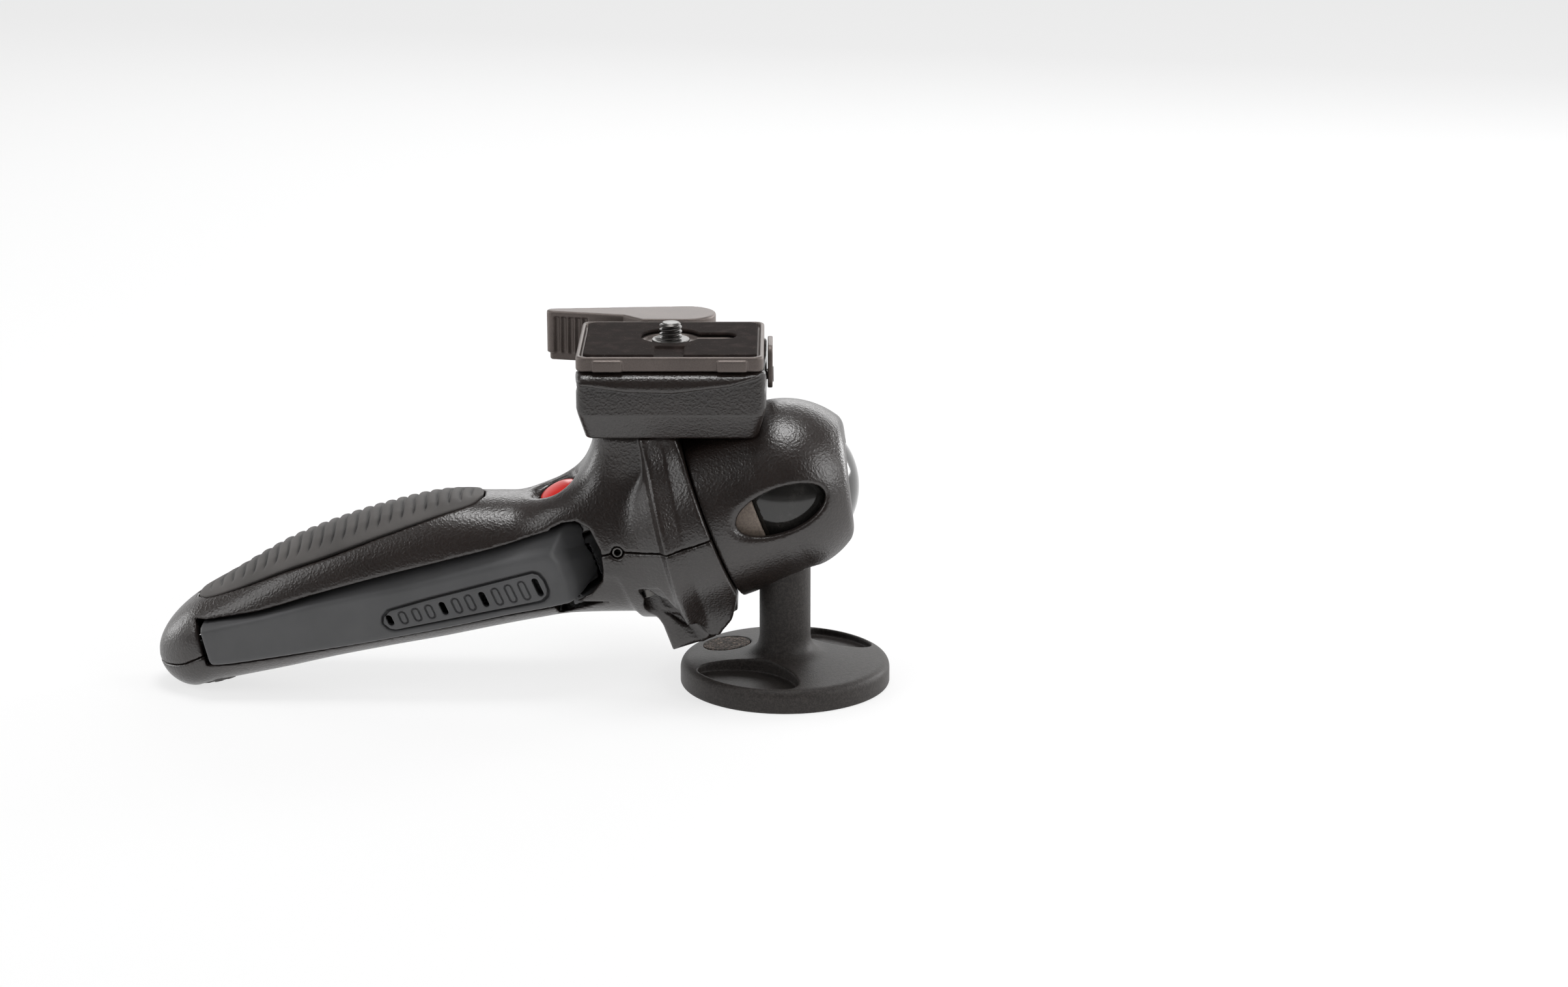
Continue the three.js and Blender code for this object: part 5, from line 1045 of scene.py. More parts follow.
def bush_rows(base):
    """Rows round a flanged bush whose bore carries a thread: the bore's radius is a
    sawtooth wave of height / pitch - turn, and the outside follows the corners."""
    pitch, depth, margin = 1.5875, 0.35, 0.4
    angle = full_turn(48)
    height = np.linspace(margin, base.bush_length - margin, 61)[:, None]
    wave = (height / pitch - angle / (2 * np.pi)) % 1
    bore = base.socket_radius + depth * np.abs(2 * wave - 1) - 0.1
    outside = np.array([
        [base.socket_radius + 0.5, base.bush_length], [base.bush_radius, base.bush_length],
        [base.bush_radius, FLANGE], [base.bush_flange, FLANGE], [base.bush_flange, 0.3],
        [base.bush_flange - 0.3, 0], [base.socket_radius + 0.5, 0]])
    ones = np.ones(len(angle))
    return rings(np.concatenate([bore, outside[:, :1] * ones]),
                 np.concatenate([height * ones, outside[:, 1:] * ones]), angle)


class BuildBase(Operator):
    """Base casting with its scalloped pockets and stem, speckled inlay and bush"""
    bl_idname = "joystick.build_base"
    bl_label = "Base"

    def execute(self, context):
        base = sizes("base")
        reach = base.radius + 1.2
        casting = field_surface("base_casting_skin", base_field(base), (-reach, -reach, -1),
                                (reach, reach, base.stem_top + 1), 0.4)
        finish(casting, "base", "sanded_black", "base_casting")
        low = FIT - base.inlay_depth
        rows = fillets([[0, low], [base.inlay_radius, low], [base.inlay_radius, 0], [0, 0]],
                       [0, 0.1, 0.25, 0])
        away = (base.inlay_reach * math.cos(base.inlay_turn),
                base.inlay_reach * math.sin(base.inlay_turn),
                cone_height(base, base.inlay_reach + base.inlay_radius))
        inlay = turned("inlay", spaced(rows, 0.5), 96, placed(*away))
        reshape(inlay, lambda points: tilt_top(points, base))
        finish(inlay, "base", "cork", "base_inlay")
        bush = skin("tripod_bush_skin", bush_rows(base), closed=False)
        finish(bush, "base", "brass", "tripod_bush")
        dress("steel", "stem_stud")
        return {"FINISHED"}


# Ball, housing and cup

# Spigot behind the housing: its length and radius, and the same of the ring at its end.
SPIGOT, SPIGOT_RADIUS, RING, RING_RADIUS = 3.5, 23, 1.3, 24.2


def axis_coordinates(ball, x, y, z):
    """Place back along the housing's axis, height square to it, and distance from it."""
    c, s = math.cos(ball.tilt), math.sin(ball.tilt)
    rise = z - ball.height
    back = -(x * c + rise * s)
    up = -x * s + rise * c
    return back, up, np.hypot(up, y)


def housing_field(ball):
    """A round shell with a domed and flattened front, a spigot behind, a bore, a round
    mouth and slot for the stem, and an oval window in each side."""
    def field(x, y, z):
        back, up, off = axis_coordinates(ball, x, y, z)
        rise = z - ball.height
        centre = np.sqrt(x ** 2 + y ** 2 + rise ** 2)
        widen = np.clip(back / 4.0, 0, 1)
        radius = ball.dome_radius + (ball.housing_radius - ball.dome_radius) * widen
        outside = np.where(back < 0, centre, off) - radius
        lean = ball.tilt - ball.facet_turn
        front = x * math.cos(lean) + rise * math.sin(lean) - ball.facet
        body = both(both(outside, front, 1.6), back - ball.housing_length, 0.6)
        end = ball.housing_length + SPIGOT
        spigot = np.maximum(off - SPIGOT_RADIUS, slab_field(back, ball.housing_length - 2, end))
        ring = np.maximum(off - RING_RADIUS, slab_field(back, end - RING, end))
        body = either(either(body, spigot), ring)
        bore = np.maximum(off - ball.bore, slab_field(back, 0, end + 4))
        seat = centre - ball.radius - BALL_GAP
        body = less(less(body, bore), seat, soft=0.5)
        mouth = np.maximum(np.hypot(x - ball.mouth_offset, y) - ball.mouth_radius, rise)
        over = math.radians(6)
        sector = np.maximum(-x, rise * math.cos(over) - x * math.sin(over))
        slot = np.maximum(sector, np.abs(y) - ball.slot_half)
        body = less(body, either(mouth, slot, 1.0), soft=1.3)
        side = np.abs(y) - (ball.housing_radius - ball.window_chamfer)
        window = ellipse_field(back - ball.window_back, up, ball.window_length / 2,
                               ball.window_height / 2) - np.maximum(side, 0)
        return less(body, window, 10 - np.abs(y), soft=1.6)
    return field


class BuildBall(Operator):
    """Ball, its housing with the oval windows, and the pressure cup"""
    bl_idname = "joystick.build_ball"
    bl_label = "Ball and housing"

    def execute(self, context):
        ball, base = sizes("ball"), sizes("base")
        seat = base.stem_top + FIT - ball.height
        sphere = ball.radius * arc(math.degrees(math.asin(seat / ball.radius)), 90, 72)
        hole, top = STUD + FIT, seat + STUD_ABOVE + FIT
        hole = [[0, top], [hole, top], [hole, seat]]
        profile = np.concatenate([spaced(np.array(hole + [sphere[0]]), 2.0), sphere[1:]])
        globe = turned("ball_skin", profile, 128, placed(0, 0, ball.height))
        finish(globe, "ball", "ball_black", "ball")
        reach = ball.housing_radius + 1.5
        shell = field_surface("housing", housing_field(ball),
                              (-reach - 6, -reach, ball.height - reach - 4),
                              (reach, reach, ball.height + reach + 4), 0.62)
        finish(shell, "head", "coat", "ball_housing")

        front, rear, cone, rod_hole, stem_half = 8.2, 24.4, 12, 4.1, 7.9

        def cup(x, y, z):
            back, _, off = axis_coordinates(ball, x, y, z)
            centre = np.sqrt(x ** 2 + y ** 2 + (z - ball.height) ** 2)
            slope = (off - cone) * 0.59 + (back - rear) * 0.81
            body = both(np.maximum(off - ball.bore + BALL_GAP, front - back), slope, 1.0)
            body = less(both(body, back - rear, 0.6), centre - ball.radius - BALL_GAP)
            body = less(body, off - rod_hole)
            notch = np.minimum(np.maximum(np.abs(y) - stem_half, -x),
                               np.hypot(x, y) - stem_half)
            return less(body, notch, z - ball.height, soft=0.8)

        cup_skin = field_surface("pressure_cup_skin", cup, (-27, -23, 30), (5, 23, 80), 0.8)
        finish(cup_skin, "ball_seat", "cup_grey", "pressure_cup")
        return {"FINISHED"}


# Grip

# How far beyond the middle plane the lever's window reaches, and the pivot pin's radius.
WINDOW_DEPTH, PIVOT_PIN = 4.6, 2


def grip_section(grip, x):
    """Centre height, half height and half width of the grip at places along X."""
    share = (grip.end + x) / (grip.end - grip.root)
    centre, tall, wide = smooth_rows(GRIP_ROWS, share)
    return (centre * grip.centre_height, tall * grip.girth_height / 2,
            wide * grip.girth_width / 2)


def grip_outside(grip, x, y, z):
    """Radial distance to the swept superellipse, with an elliptic end."""
    centre, tall, wide = grip_section(grip, x)
    up = z - centre
    ring = squared_ring(y, up, wide, tall, GRIP_POWER)
    past = np.maximum((-x - grip.end + grip.end_rounding) / grip.end_rounding, 0)
    reach = np.sqrt(ring ** 2 + past ** 2) + 1e-6
    radius = np.sqrt(y ** 2 + up ** 2 + (past * grip.end_rounding) ** 2)
    return np.maximum(radius, 0.5) * (1 - 1 / reach)


def grip_hollow(grip, x, y, z):
    """The room inside the grip: the section drawn in by the walls, thicker at the crown."""
    centre, tall, wide = grip_section(grip, x)
    low, high = centre - tall + grip.wall, centre + tall - grip.crown_wall
    up = z - (low + high) / 2
    ring = squared_ring(y, up, wide - grip.wall, (high - low) / 2, GRIP_POWER) + 1e-6
    inside = np.maximum(np.hypot(y, up), 0.5) * (1 - 1 / ring)
    return both(inside, slab_field(x, -170.5, -70), 3.0)


def neck_field(grip, x, y, z):
    """A squared oval column whose far end flares towards the grip."""
    down = (grip.neck_top - z) / grip.neck_height
    flare, = smooth_rows(NECK_ROWS, np.clip(down, 0, 1))
    seat_end, foot = 54, 42
    end, root = seat_end + flare * grip.neck_length, seat_end - grip.neck_length
    half = (end - root) / 2
    wide = grip.neck_half * (1 + flare / 4)
    along = x + (end + root) / 2
    ring = squared_ring(along, y, half, wide, 3.6) + 1e-6
    side = np.maximum(np.hypot(along, y), 0.5) * (1 - 1 / ring)
    return both(side, slab_field(z, foot, grip.neck_top), 0.8)


def shell_field(ball, grip, lever):
    """Grip, neck, collar and tail blended into one form, less the hollow, the bores along
    the axis, the yoke's room and the lever's window with its round pocket."""
    edges = lever_outline(lever, grip)
    front = grip.collar_front

    def field(x, y, z):
        back, up, off = axis_coordinates(ball, x, y, z)
        radius = straight_rows(COLLAR_ROWS, (back + 0.13 * up - front) / grip.collar_length)
        column = np.maximum(np.abs(y) - grip.pillar_half, polygon_field(back, up, BANDS))
        section = either(off - grip.ridge_radius, column, 7.0)
        collar = (section - (radius - 1) * grip.ridge_radius) * 0.92
        start = front + np.clip(-up - 20, 0, 8) * 0.6
        collar = both(collar, slab_field(back, start, front + grip.collar_length), 0.8)
        collar = both(collar, z - grip.neck_top, 0.6)
        leg = both(polygon_field(back, up, LEG_OUTLINE), np.abs(y) - grip.tail_half + 1, 2.5)
        body = either(grip_outside(grip, x, y, z), neck_field(grip, x, y, z), 9.0)
        body = either(body, collar, 1.2)
        body = either(body, leg, 1.2)
        trough = np.maximum(polygon_field(back, up, TROUGH), grip.tail_half - 6 - np.abs(y))
        body = less(body, trough, -1.3 - body, soft=0.6)
        body = both(body, front - back, 0.3)
        body = both(body, x + grip.chin, 0.8)
        body = less(body, grip_hollow(grip, x, y, z))
        body = less(body, axis_bores(ball, back, off))
        yoke_start, yoke_end, yoke_up, yoke_near, yoke_far = 51.3, 71.8, 9.2, -15.8, 12.8
        body = less(body, slab_field(back, yoke_start, yoke_end), np.abs(up) - yoke_up,
                    slab_field(y, yoke_near, yoke_far))
        window = polygon_field(x, z, edges)
        body = less(body, window, y - WINDOW_DEPTH, soft=0.9)
        pocket = polygon_field(x, z, window_pocket(lever, grip))
        return less(body, pocket, y + lever.inner - FIT, soft=0.9)
    return field


def axis_bores(ball, back, off):
    """Steps of bore along the axis for the spigot, the spring, the bulkhead and the rod."""
    spigot_end = ball.housing_length + SPIGOT + FIT
    ring_start = spigot_end - RING - 2 * FIT
    spring_radius, spring_end, rod_radius, rod_end = 12.9, 41.8, 6.6, 57.8
    bores = [(20, ring_start, SPIGOT_RADIUS + FIT), (ring_start, spigot_end, RING_RADIUS + FIT),
             (spigot_end - 1, spring_end, spring_radius), (41, rod_end, rod_radius)]
    return np.min([np.maximum(off - radius, slab_field(back, start, end))
                   for start, end, radius in bores], axis=0)


def lever_place(lever, grip, shares):
    """[x, z] of places given as shares of the lever's length and of the grip's girth."""
    shares = np.asarray(shares, float)
    return np.stack([-lever.end + shares[:, 0] * (lever.end - lever.root),
                     shares[:, 1] * grip.girth_height], -1)


def lever_edges(lever, grip, x):
    """Lower edge, crease and upper edge of the lever at places along X."""
    share = (x + lever.end) / (lever.end - lever.root)
    return [edge * grip.girth_height for edge in smooth_rows(LEVER_ROWS, np.clip(share, 0, 1))]


def lever_outline(lever, grip):
    """Outline of the lever's window in side view."""
    x = np.linspace(-lever.end, -lever.root, 25)
    low, _, high = lever_edges(lever, grip, x)
    end = -lever.end - 1.6 - lever.end_gap
    return np.concatenate([
        [[end, high[0] + lever.gap * 0.8]], np.stack([x, high + lever.gap], -1),
        np.stack([x, low - lever.gap], -1)[::-1],
        [[end + lever.end_slant + 0.3, low[0] - lever.gap]]])


def window_pocket(lever, grip):
    """Outline of the round recess beyond the lever's root, in side view."""
    low, _, high = lever_edges(lever, grip, np.array([-lever.root]))
    start = -lever.root - 4.2
    end = lever_place(lever, grip, WINDOW_END)
    return np.concatenate([[[start, low[0]], [start, high[0]]], end,
                           [[-lever.root, low[0] - lever.gap]]])


def pad_wrap(grip, x):
    """Half angle of the palm pad's wrap at places along X."""
    share = (grip.pad_end + x) / (grip.pad_end - grip.pad_root)
    return grip.pad_wrap * smooth_rows(PAD_ROWS, np.clip(share, 0, 1))[0]


def lean_way(angle):
    """Unit vector of a line that leans back from upright by an angle."""
    return np.array([-math.sin(angle), 0, math.cos(angle)])


def screw_room(grip, x, y, z):
    """Holes for the collar's and the grip's screws and for the roll pin."""
    head, shaft = SMALL_SCREW["head"] + FIT, SMALL_SCREW["shaft"] + FIT
    pin = np.array([ROLL_PIN_X, 0, ROLL_PIN_Z])
    rods = [(pin - [0, 16.7, 0], pin - [0, 37, 0], ROLL_PIN_RADIUS + FIT)]
    for side in (-1, 1):
        start = COLLAR_SCREW * [1, side, 1]
        for lean, reach, radius in ((COLLAR_LEAN, -29, head), (math.radians(42), -29, head),
                                    (COLLAR_LEAN, 17.3, shaft)):
            rods.append((start, start + lean_way(lean) * reach, radius))
    for reach in GRIP_SCREWS:
        centre, tall, _ = grip_section(grip, np.array([-reach]))
        top = straight_rows(SPLIT_LINE, -reach) + 8.1
        for low, high, radius in ((-2, (centre - tall)[0] + 5.2, head), (0, top, shaft)):
            rods.append(((-reach, GRIP_SCREW_SIDE, low), (-reach, GRIP_SCREW_SIDE, high), radius))
    return functools.reduce(np.minimum, (rod_field(x, y, z, *rod) for rod in rods))


class BuildGrip(Operator):
    """The two moulded shells: grip, neck, collar and tail, with their joint"""
    bl_idname = "joystick.build_grip"
    bl_label = "Grip shells"

    def execute(self, context):
        ball, grip, lever = sizes("ball"), sizes("grip"), sizes("lever")
        blank = shell_field(ball, grip, lever)
        window = lever_outline(lever, grip)
        pivot_way, dial_way = lean_way(ball.tilt), lean_way(DIAL_LEAN)
        pivot = np.array([-lever.pivot_back * math.cos(ball.tilt), lever.pivot_depth,
                          ball.height - lever.pivot_back * math.sin(ball.tilt)])
        dial_foot = np.array([DIAL_X, 0, DIAL_Z])
        seat_radius, seat_height, post_radius, pin_half = 11.6, 6.8, 3.6, 11.8
        badge_way, badge_at = np.array(BADGE_PLACE)[:3, 2], np.array(BADGE_PLACE)[:3, 3]

        def bore(body, place, way, start, end, radius, soft=0.0):
            x, y, z, at = place
            rod = rod_field(x, y, z, at + way * start, at + way * end, radius)
            return less(body, rod, soft=soft)

        def shared(x, y, z):
            outside = grip_outside(grip, x, y, z)
            seat = meet(np.hypot(x - DIAL_X, y) - seat_radius, z - DIAL_Z - seat_height)
            body = either(blank(x, y, z), np.maximum(seat, outside))
            for reach in GRIP_SCREWS:
                post = np.hypot(x + reach, y - GRIP_SCREW_SIDE) - post_radius
                body = either(body, np.maximum(post, outside + 0.2))
            body = less(body, polygon_field(x, z, window), y - WINDOW_DEPTH, soft=0.9)
            body = less(body, screw_room(grip, x, y, z), soft=0.5)
            body = bore(body, (x, y, z, pivot), pivot_way, -pin_half, pin_half, PIVOT_PIN + FIT)
            body = bore(body, (x, y, z, dial_foot), dial_way, -20, 3.7, DIAL_RADIUS + FIT, 0.6)
            return bore(body, (x, y, z, dial_foot), dial_way, 0, 7.5, 1.9)

        def lower(x, y, z):
            above = z - straight_rows(SPLIT_LINE, x) + grip.joint / 2
            return both(shared(x, y, z), above * 0.96, 0.5)

        def upper(x, y, z):
            below = straight_rows(SPLIT_LINE, x) + grip.joint / 2 - z
            body = both(shared(x, y, z), below * 0.96, 0.5)
            centre, tall, wide = grip_section(grip, x)
            angle = np.arctan2(np.abs(y) / wide, np.maximum(z - centre, 0.01) / tall)
            lateral = (angle - pad_wrap(grip, x) - 0.05) * np.hypot(y, z - centre)
            pocket = both(lateral, slab_field(x, -grip.pad_end - 0.3, -grip.pad_root + 0.3), 1.0)
            depth = -(grip_outside(grip, x, y, z) + grip.pad_thickness + 0.4)
            body = less(body, pocket, depth, -z + centre, soft=0.5)
            badge = (x, y, z, badge_at)
            body = bore(body, badge, badge_way, -2.1, 6, grip.badge_radius + 0.5, 0.6)
            body = bore(body, badge, badge_way, 0.3, 9, grip.badge_radius + 1.6, 2.5)
            for reach in CLAMP_SCREWS:
                shaft = np.hypot(x + reach, y) - CLAMP_SCREW["shaft"] - FIT
                body = less(body, shaft, 64.4 - z)
            return body

        top = field_surface("grip_upper", upper, (-181, -30.5, 4), (-10, 30.5, 87), 0.66)
        finish(top, "head", "coat", "grip_upper_shell")
        bottom = field_surface("grip_lower", lower, (-181, -30.5, 0), (-10, 30.5, 56), 0.66)
        finish(bottom, "head", "coat", "grip_lower_shell")
        return {"FINISHED"}


class BuildPad(Operator):
    """Ribbed rubber palm pad and the round red badge"""
    bl_idname = "joystick.build_pad"
    bl_label = "Palm pad and badge"

    def execute(self, context):
        grip = sizes("grip")
        finish(palm_pad(grip), "head", "rubber", "palm_pad")
        edge, thick, rim = grip.badge_radius, 1.8, -0.85
        profile = np.concatenate([
            fillets([[0, -thick], [edge, -thick], [edge, rim]], [0, 0.3, 0]),
            [0, rim] + [edge, 1.25] * arc(math.degrees(0.12), 90, 16)])
        dome = turned("badge_dome", profile, 64, np.array(BADGE_PLACE))
        finish(dome, "head", "red", "badge")
        return {"FINISHED"}


def signed_power(value, power):
    """A power of the value's size, with the value's sign."""
    return np.sign(value) * np.abs(value) ** power


def palm_pad(grip):
    """A slice of the grip's crown on a grid of along (u) and around (v).

    Round the section, v runs over a squared circle (c, s) = signed powers of cos and sin.
    The angle on the crown is wrap(u) c, and the depth below the grip's skin is half the
    thickness (1 - s). The ribs raise the outside by a rounded sawtooth of
    (ribs + 1) u - sin(pi b) / 4 + b^2 / 4, where b is the angle's share of the widest wrap,
    and fade out towards the rim. Both wrap and thickness shrink to nothing at the two ends
    as the square root of the distance.
    """
    along, around = 600, 132
    even = np.linspace(0, 1, along)
    u = 0.65 * (0.5 - 0.5 * np.cos(np.pi * even)) + 0.35 * even
    v = full_turn(around)
    length = grip.pad_end - grip.pad_root
    x = -grip.pad_end + u * length
    centre, tall, wide = grip_section(grip, x)
    from_end = np.minimum(u, 1 - u) * length
    close = np.sqrt(np.clip(1 - (1 - np.clip(from_end / 1.6, 0, 1)) ** 2, 0, 1))
    wrap = pad_wrap(grip, x) * (0.35 + 0.65 * close)
    c, s = signed_power(np.cos(v), 2 / 7), signed_power(np.sin(v), 2 / 7)
    angle = wrap[:, None] * c[None]
    outer = np.clip(s, 0, 1)[None]
    arc_from_rim = (wrap[:, None] - np.abs(angle)) * (wide[:, None] + tall[:, None]) / 2
    fade = np.clip((arc_from_rim - 1.8) / 4.0, 0, 1)
    fade = fade * np.clip((from_end[:, None] - 2.2) / 1.5, 0, 1)
    fade = fade * fade * (3 - 2 * fade)
    bend = np.abs(angle) / grip.pad_wrap
    wave = (grip.ribs + 1) * u[:, None] - 0.25 * np.sin(np.pi * bend) + 0.25 * bend ** 2
    rib = np.sqrt(np.clip(1 - (2 * (wave % 1) ** 0.75 - 1) ** 2, 0, 1))
    thick = grip.pad_thickness * close[:, None]
    raise_by = (grip.rib_height * (rib - 1) * fade + 0.6 * close[:, None]) * outer
    depth = thick / 2 * (1 - s[None]) - raise_by
    half_w, half_t = wide[:, None] - depth, tall[:, None] - depth
    y = half_w * signed_power(np.sin(angle), 2 / GRIP_POWER)
    z = centre[:, None] + half_t * signed_power(np.cos(angle), 2 / GRIP_POWER)
    rows = np.stack([np.broadcast_to(x[:, None], y.shape), y, z], -1)
    piece = skin("palm_pad_ribbed", rows)
    # The rib attribute carries painted shade for the rubber: 1 on the crests, lower in the valleys
    # between the ribs.
    height = np.concatenate([(1 - (1 - rib ** 2) * fade * outer).ravel(), [1, 1]])
    piece.data.attributes.new("rib", "FLOAT", "POINT").data.foreach_set("value", height)
    return piece


# Squeeze lever and plaque

class BuildLever(Operator):
    """Squeeze lever with its creases and yoke, and the slotted plaque on its face"""
    bl_idname = "joystick.build_lever"
    bl_label = "Squeeze lever"

    def execute(self, context):
        ball, grip, lever = sizes("ball"), sizes("grip"), sizes("lever")
        through = [i + 1 in THROUGH_SLOTS for i in range(SLOTS)]
        c, s = math.cos(lever.plaque_slope), math.sin(lever.plaque_slope)
        seat = np.array(PLAQUE_OUTLINE) * [lever.plaque_length + 1.2, lever.plaque_across + 1.3]
        slot_short, slot_long, slot_lean, bevel_taper = 3.2, 5.6, 0.16, 50
        # The yoke back along the axis: its front, and the ends of its arm, cheeks and plate;
        # its side towards the lever and their far sides; their heights, and the round lug.
        front, arm_end, cheek_end, plate_end = 54.8, 79.2, 66.6, 57.2
        near, arm_far, cheek_far, plate_far = -13, -8, 8, 4
        cheek_up, cheek_half, plate_up, lug = 7, 1, 8, 4.2
        rod_hole, nut_hole = (4, 50, 57.8), (6, 57.2, 72.8)

        def plaque_slot(px, pz, i):
            share = i / (SLOTS - 1)
            across = px - (i - (SLOTS - 1) / 2) * lever.slot_pitch + slot_lean * pz
            z = (1 - 2 * share) * lever.plaque_across / 12
            length = slot_short + (slot_long - slot_short) * share
            reach = (length - lever.slot_width) / 2
            rise = np.maximum(np.abs(pz - z) - reach, 0)
            return np.hypot(across, rise) - lever.slot_width / 2

        def facet(x, y, z):
            return (x - straight_rows(FACET_EDGE, z) - 0.97 * (y + lever.face)) * 0.72

        def plaque_place(x, z):
            dx, dz = x + lever.plaque_reach, z - lever.plaque_height
            return dx * c + dz * s, -dx * s + dz * c

        def skin_field(x, y, z, wall):
            low, crease, high = lever_edges(lever, grip, x)
            face = lever.face - wall
            widen = np.clip((x + lever.end) / bevel_taper, 0, 1)
            drop = (lever.face - lever.bevel) * (0.2 + 0.8 * widen * (2 - widen))
            rise = np.maximum(high - crease, 0.4)
            tilt = (z - crease) * drop - (lever.face - wall + y) * rise
            bevel = tilt / np.hypot(drop, rise)
            body = both(-y - face, bevel, 0.9 if not wall else 0.1)
            edge = np.maximum((low + wall - z) * 0.93, (z - high + wall) * 0.93)
            body = both(body, edge, 1.6 if not wall else 0.1)
            start = -lever.end - 1.5 + wall + (21 - z) / 10.5 * lever.end_slant
            body = both(body, start - x, 1.0)
            return both(both(body, facet(x, y, z), 1.2), polygon_field(x, z, ROOT_OUTLINE), 0.8)

        def field(x, y, z):
            body = np.maximum(skin_field(x, y, z, 0), y + lever.inner)
            hollow = np.maximum(skin_field(x, y, z, lever.wall), y + lever.inner - 2)
            body = less(body, hollow, slab_field(x, -lever.end + 4.4, -lever.end + 87.7))
            px, pz = plaque_place(x, z)
            pocket = polygon_field(px, pz, seat)
            body = less(body, pocket, y + lever.face - 1.0, soft=0.3)
            wells = np.min([plaque_slot(px, pz, i) for i in range(SLOTS) if through[i]], axis=0)
            return less(body, wells - 0.1, y + lever.face - 5)

        def yoke(x, y, z):
            back, up, off = axis_coordinates(ball, x, y, z)
            arm = meet(slab_field(back, front, arm_end), slab_field(up, -4, 8),
                       slab_field(y, near, arm_far))
            from_pivot = np.hypot(back - lever.pivot_back, y - lever.pivot_depth)
            cheek = meet(slab_field(back, front, cheek_end), slab_field(y, near, cheek_far))
            cheek = meet(np.minimum(cheek, from_pivot - lug),
                         np.abs(np.abs(up) - cheek_up) - cheek_half)
            plate = meet(slab_field(back, front, plate_end), slab_field(y, near, plate_far),
                         np.abs(up) - plate_up)
            joined = np.minimum(np.minimum(arm, cheek), plate)
            joined = meet(joined, facet(x, y, z) + 0.4)
            for radius, start, end in (rod_hole, nut_hole):
                joined = less(joined, off - radius, slab_field(back, start, end))
            return less(joined, from_pivot - PIVOT_PIN - FIT)

        def whole(x, y, z):
            return either(field(x, y, z), yoke(x, y, z))

        blade = field_surface("squeeze_lever", whole, (-166, -19.2, 8.5), (-46, 13.5, 55), 0.6)
        finish(blade, "grip_lever", "charcoal", "grip_lever")
        outline = np.array(PLAQUE_OUTLINE) * [lever.plaque_length, lever.plaque_across]
        outer = lever.face + lever.plaque_proud

        def plaque(px, y, pz):
            body = both(polygon_field(px, pz, outline), slab_field(-y, outer - 1.2, outer), 0.45)
            for i in range(SLOTS):
                capsule = plaque_slot(px, pz, i)
                if through[i]:
                    body = less(body, capsule, soft=0.3)
                else:
                    body = less(body, capsule - 0.3, y + outer - 0.55, soft=0.2)
                    bump = both(capsule + 0.12, -y - outer - 0.2, 0.6)
                    body = either(body, np.maximum(bump, y + outer - 0.6))
            return body

        face = field_surface("plaque", plaque, (-24.5, -outer - 0.9, -6), (24.5, -outer + 1.8, 5),
                             0.25)
        place = placed(-lever.plaque_reach, 0, lever.plaque_height, -lever.plaque_slope)
        reshape(face, lambda points: moved(points, place))
        finish(face, "grip_lever", "charcoal", "lever_plaque")
        return {"FINISHED"}


# Clamp, its lever and catch

HUB_PIN, CATCH_PIN = 3, 1.5


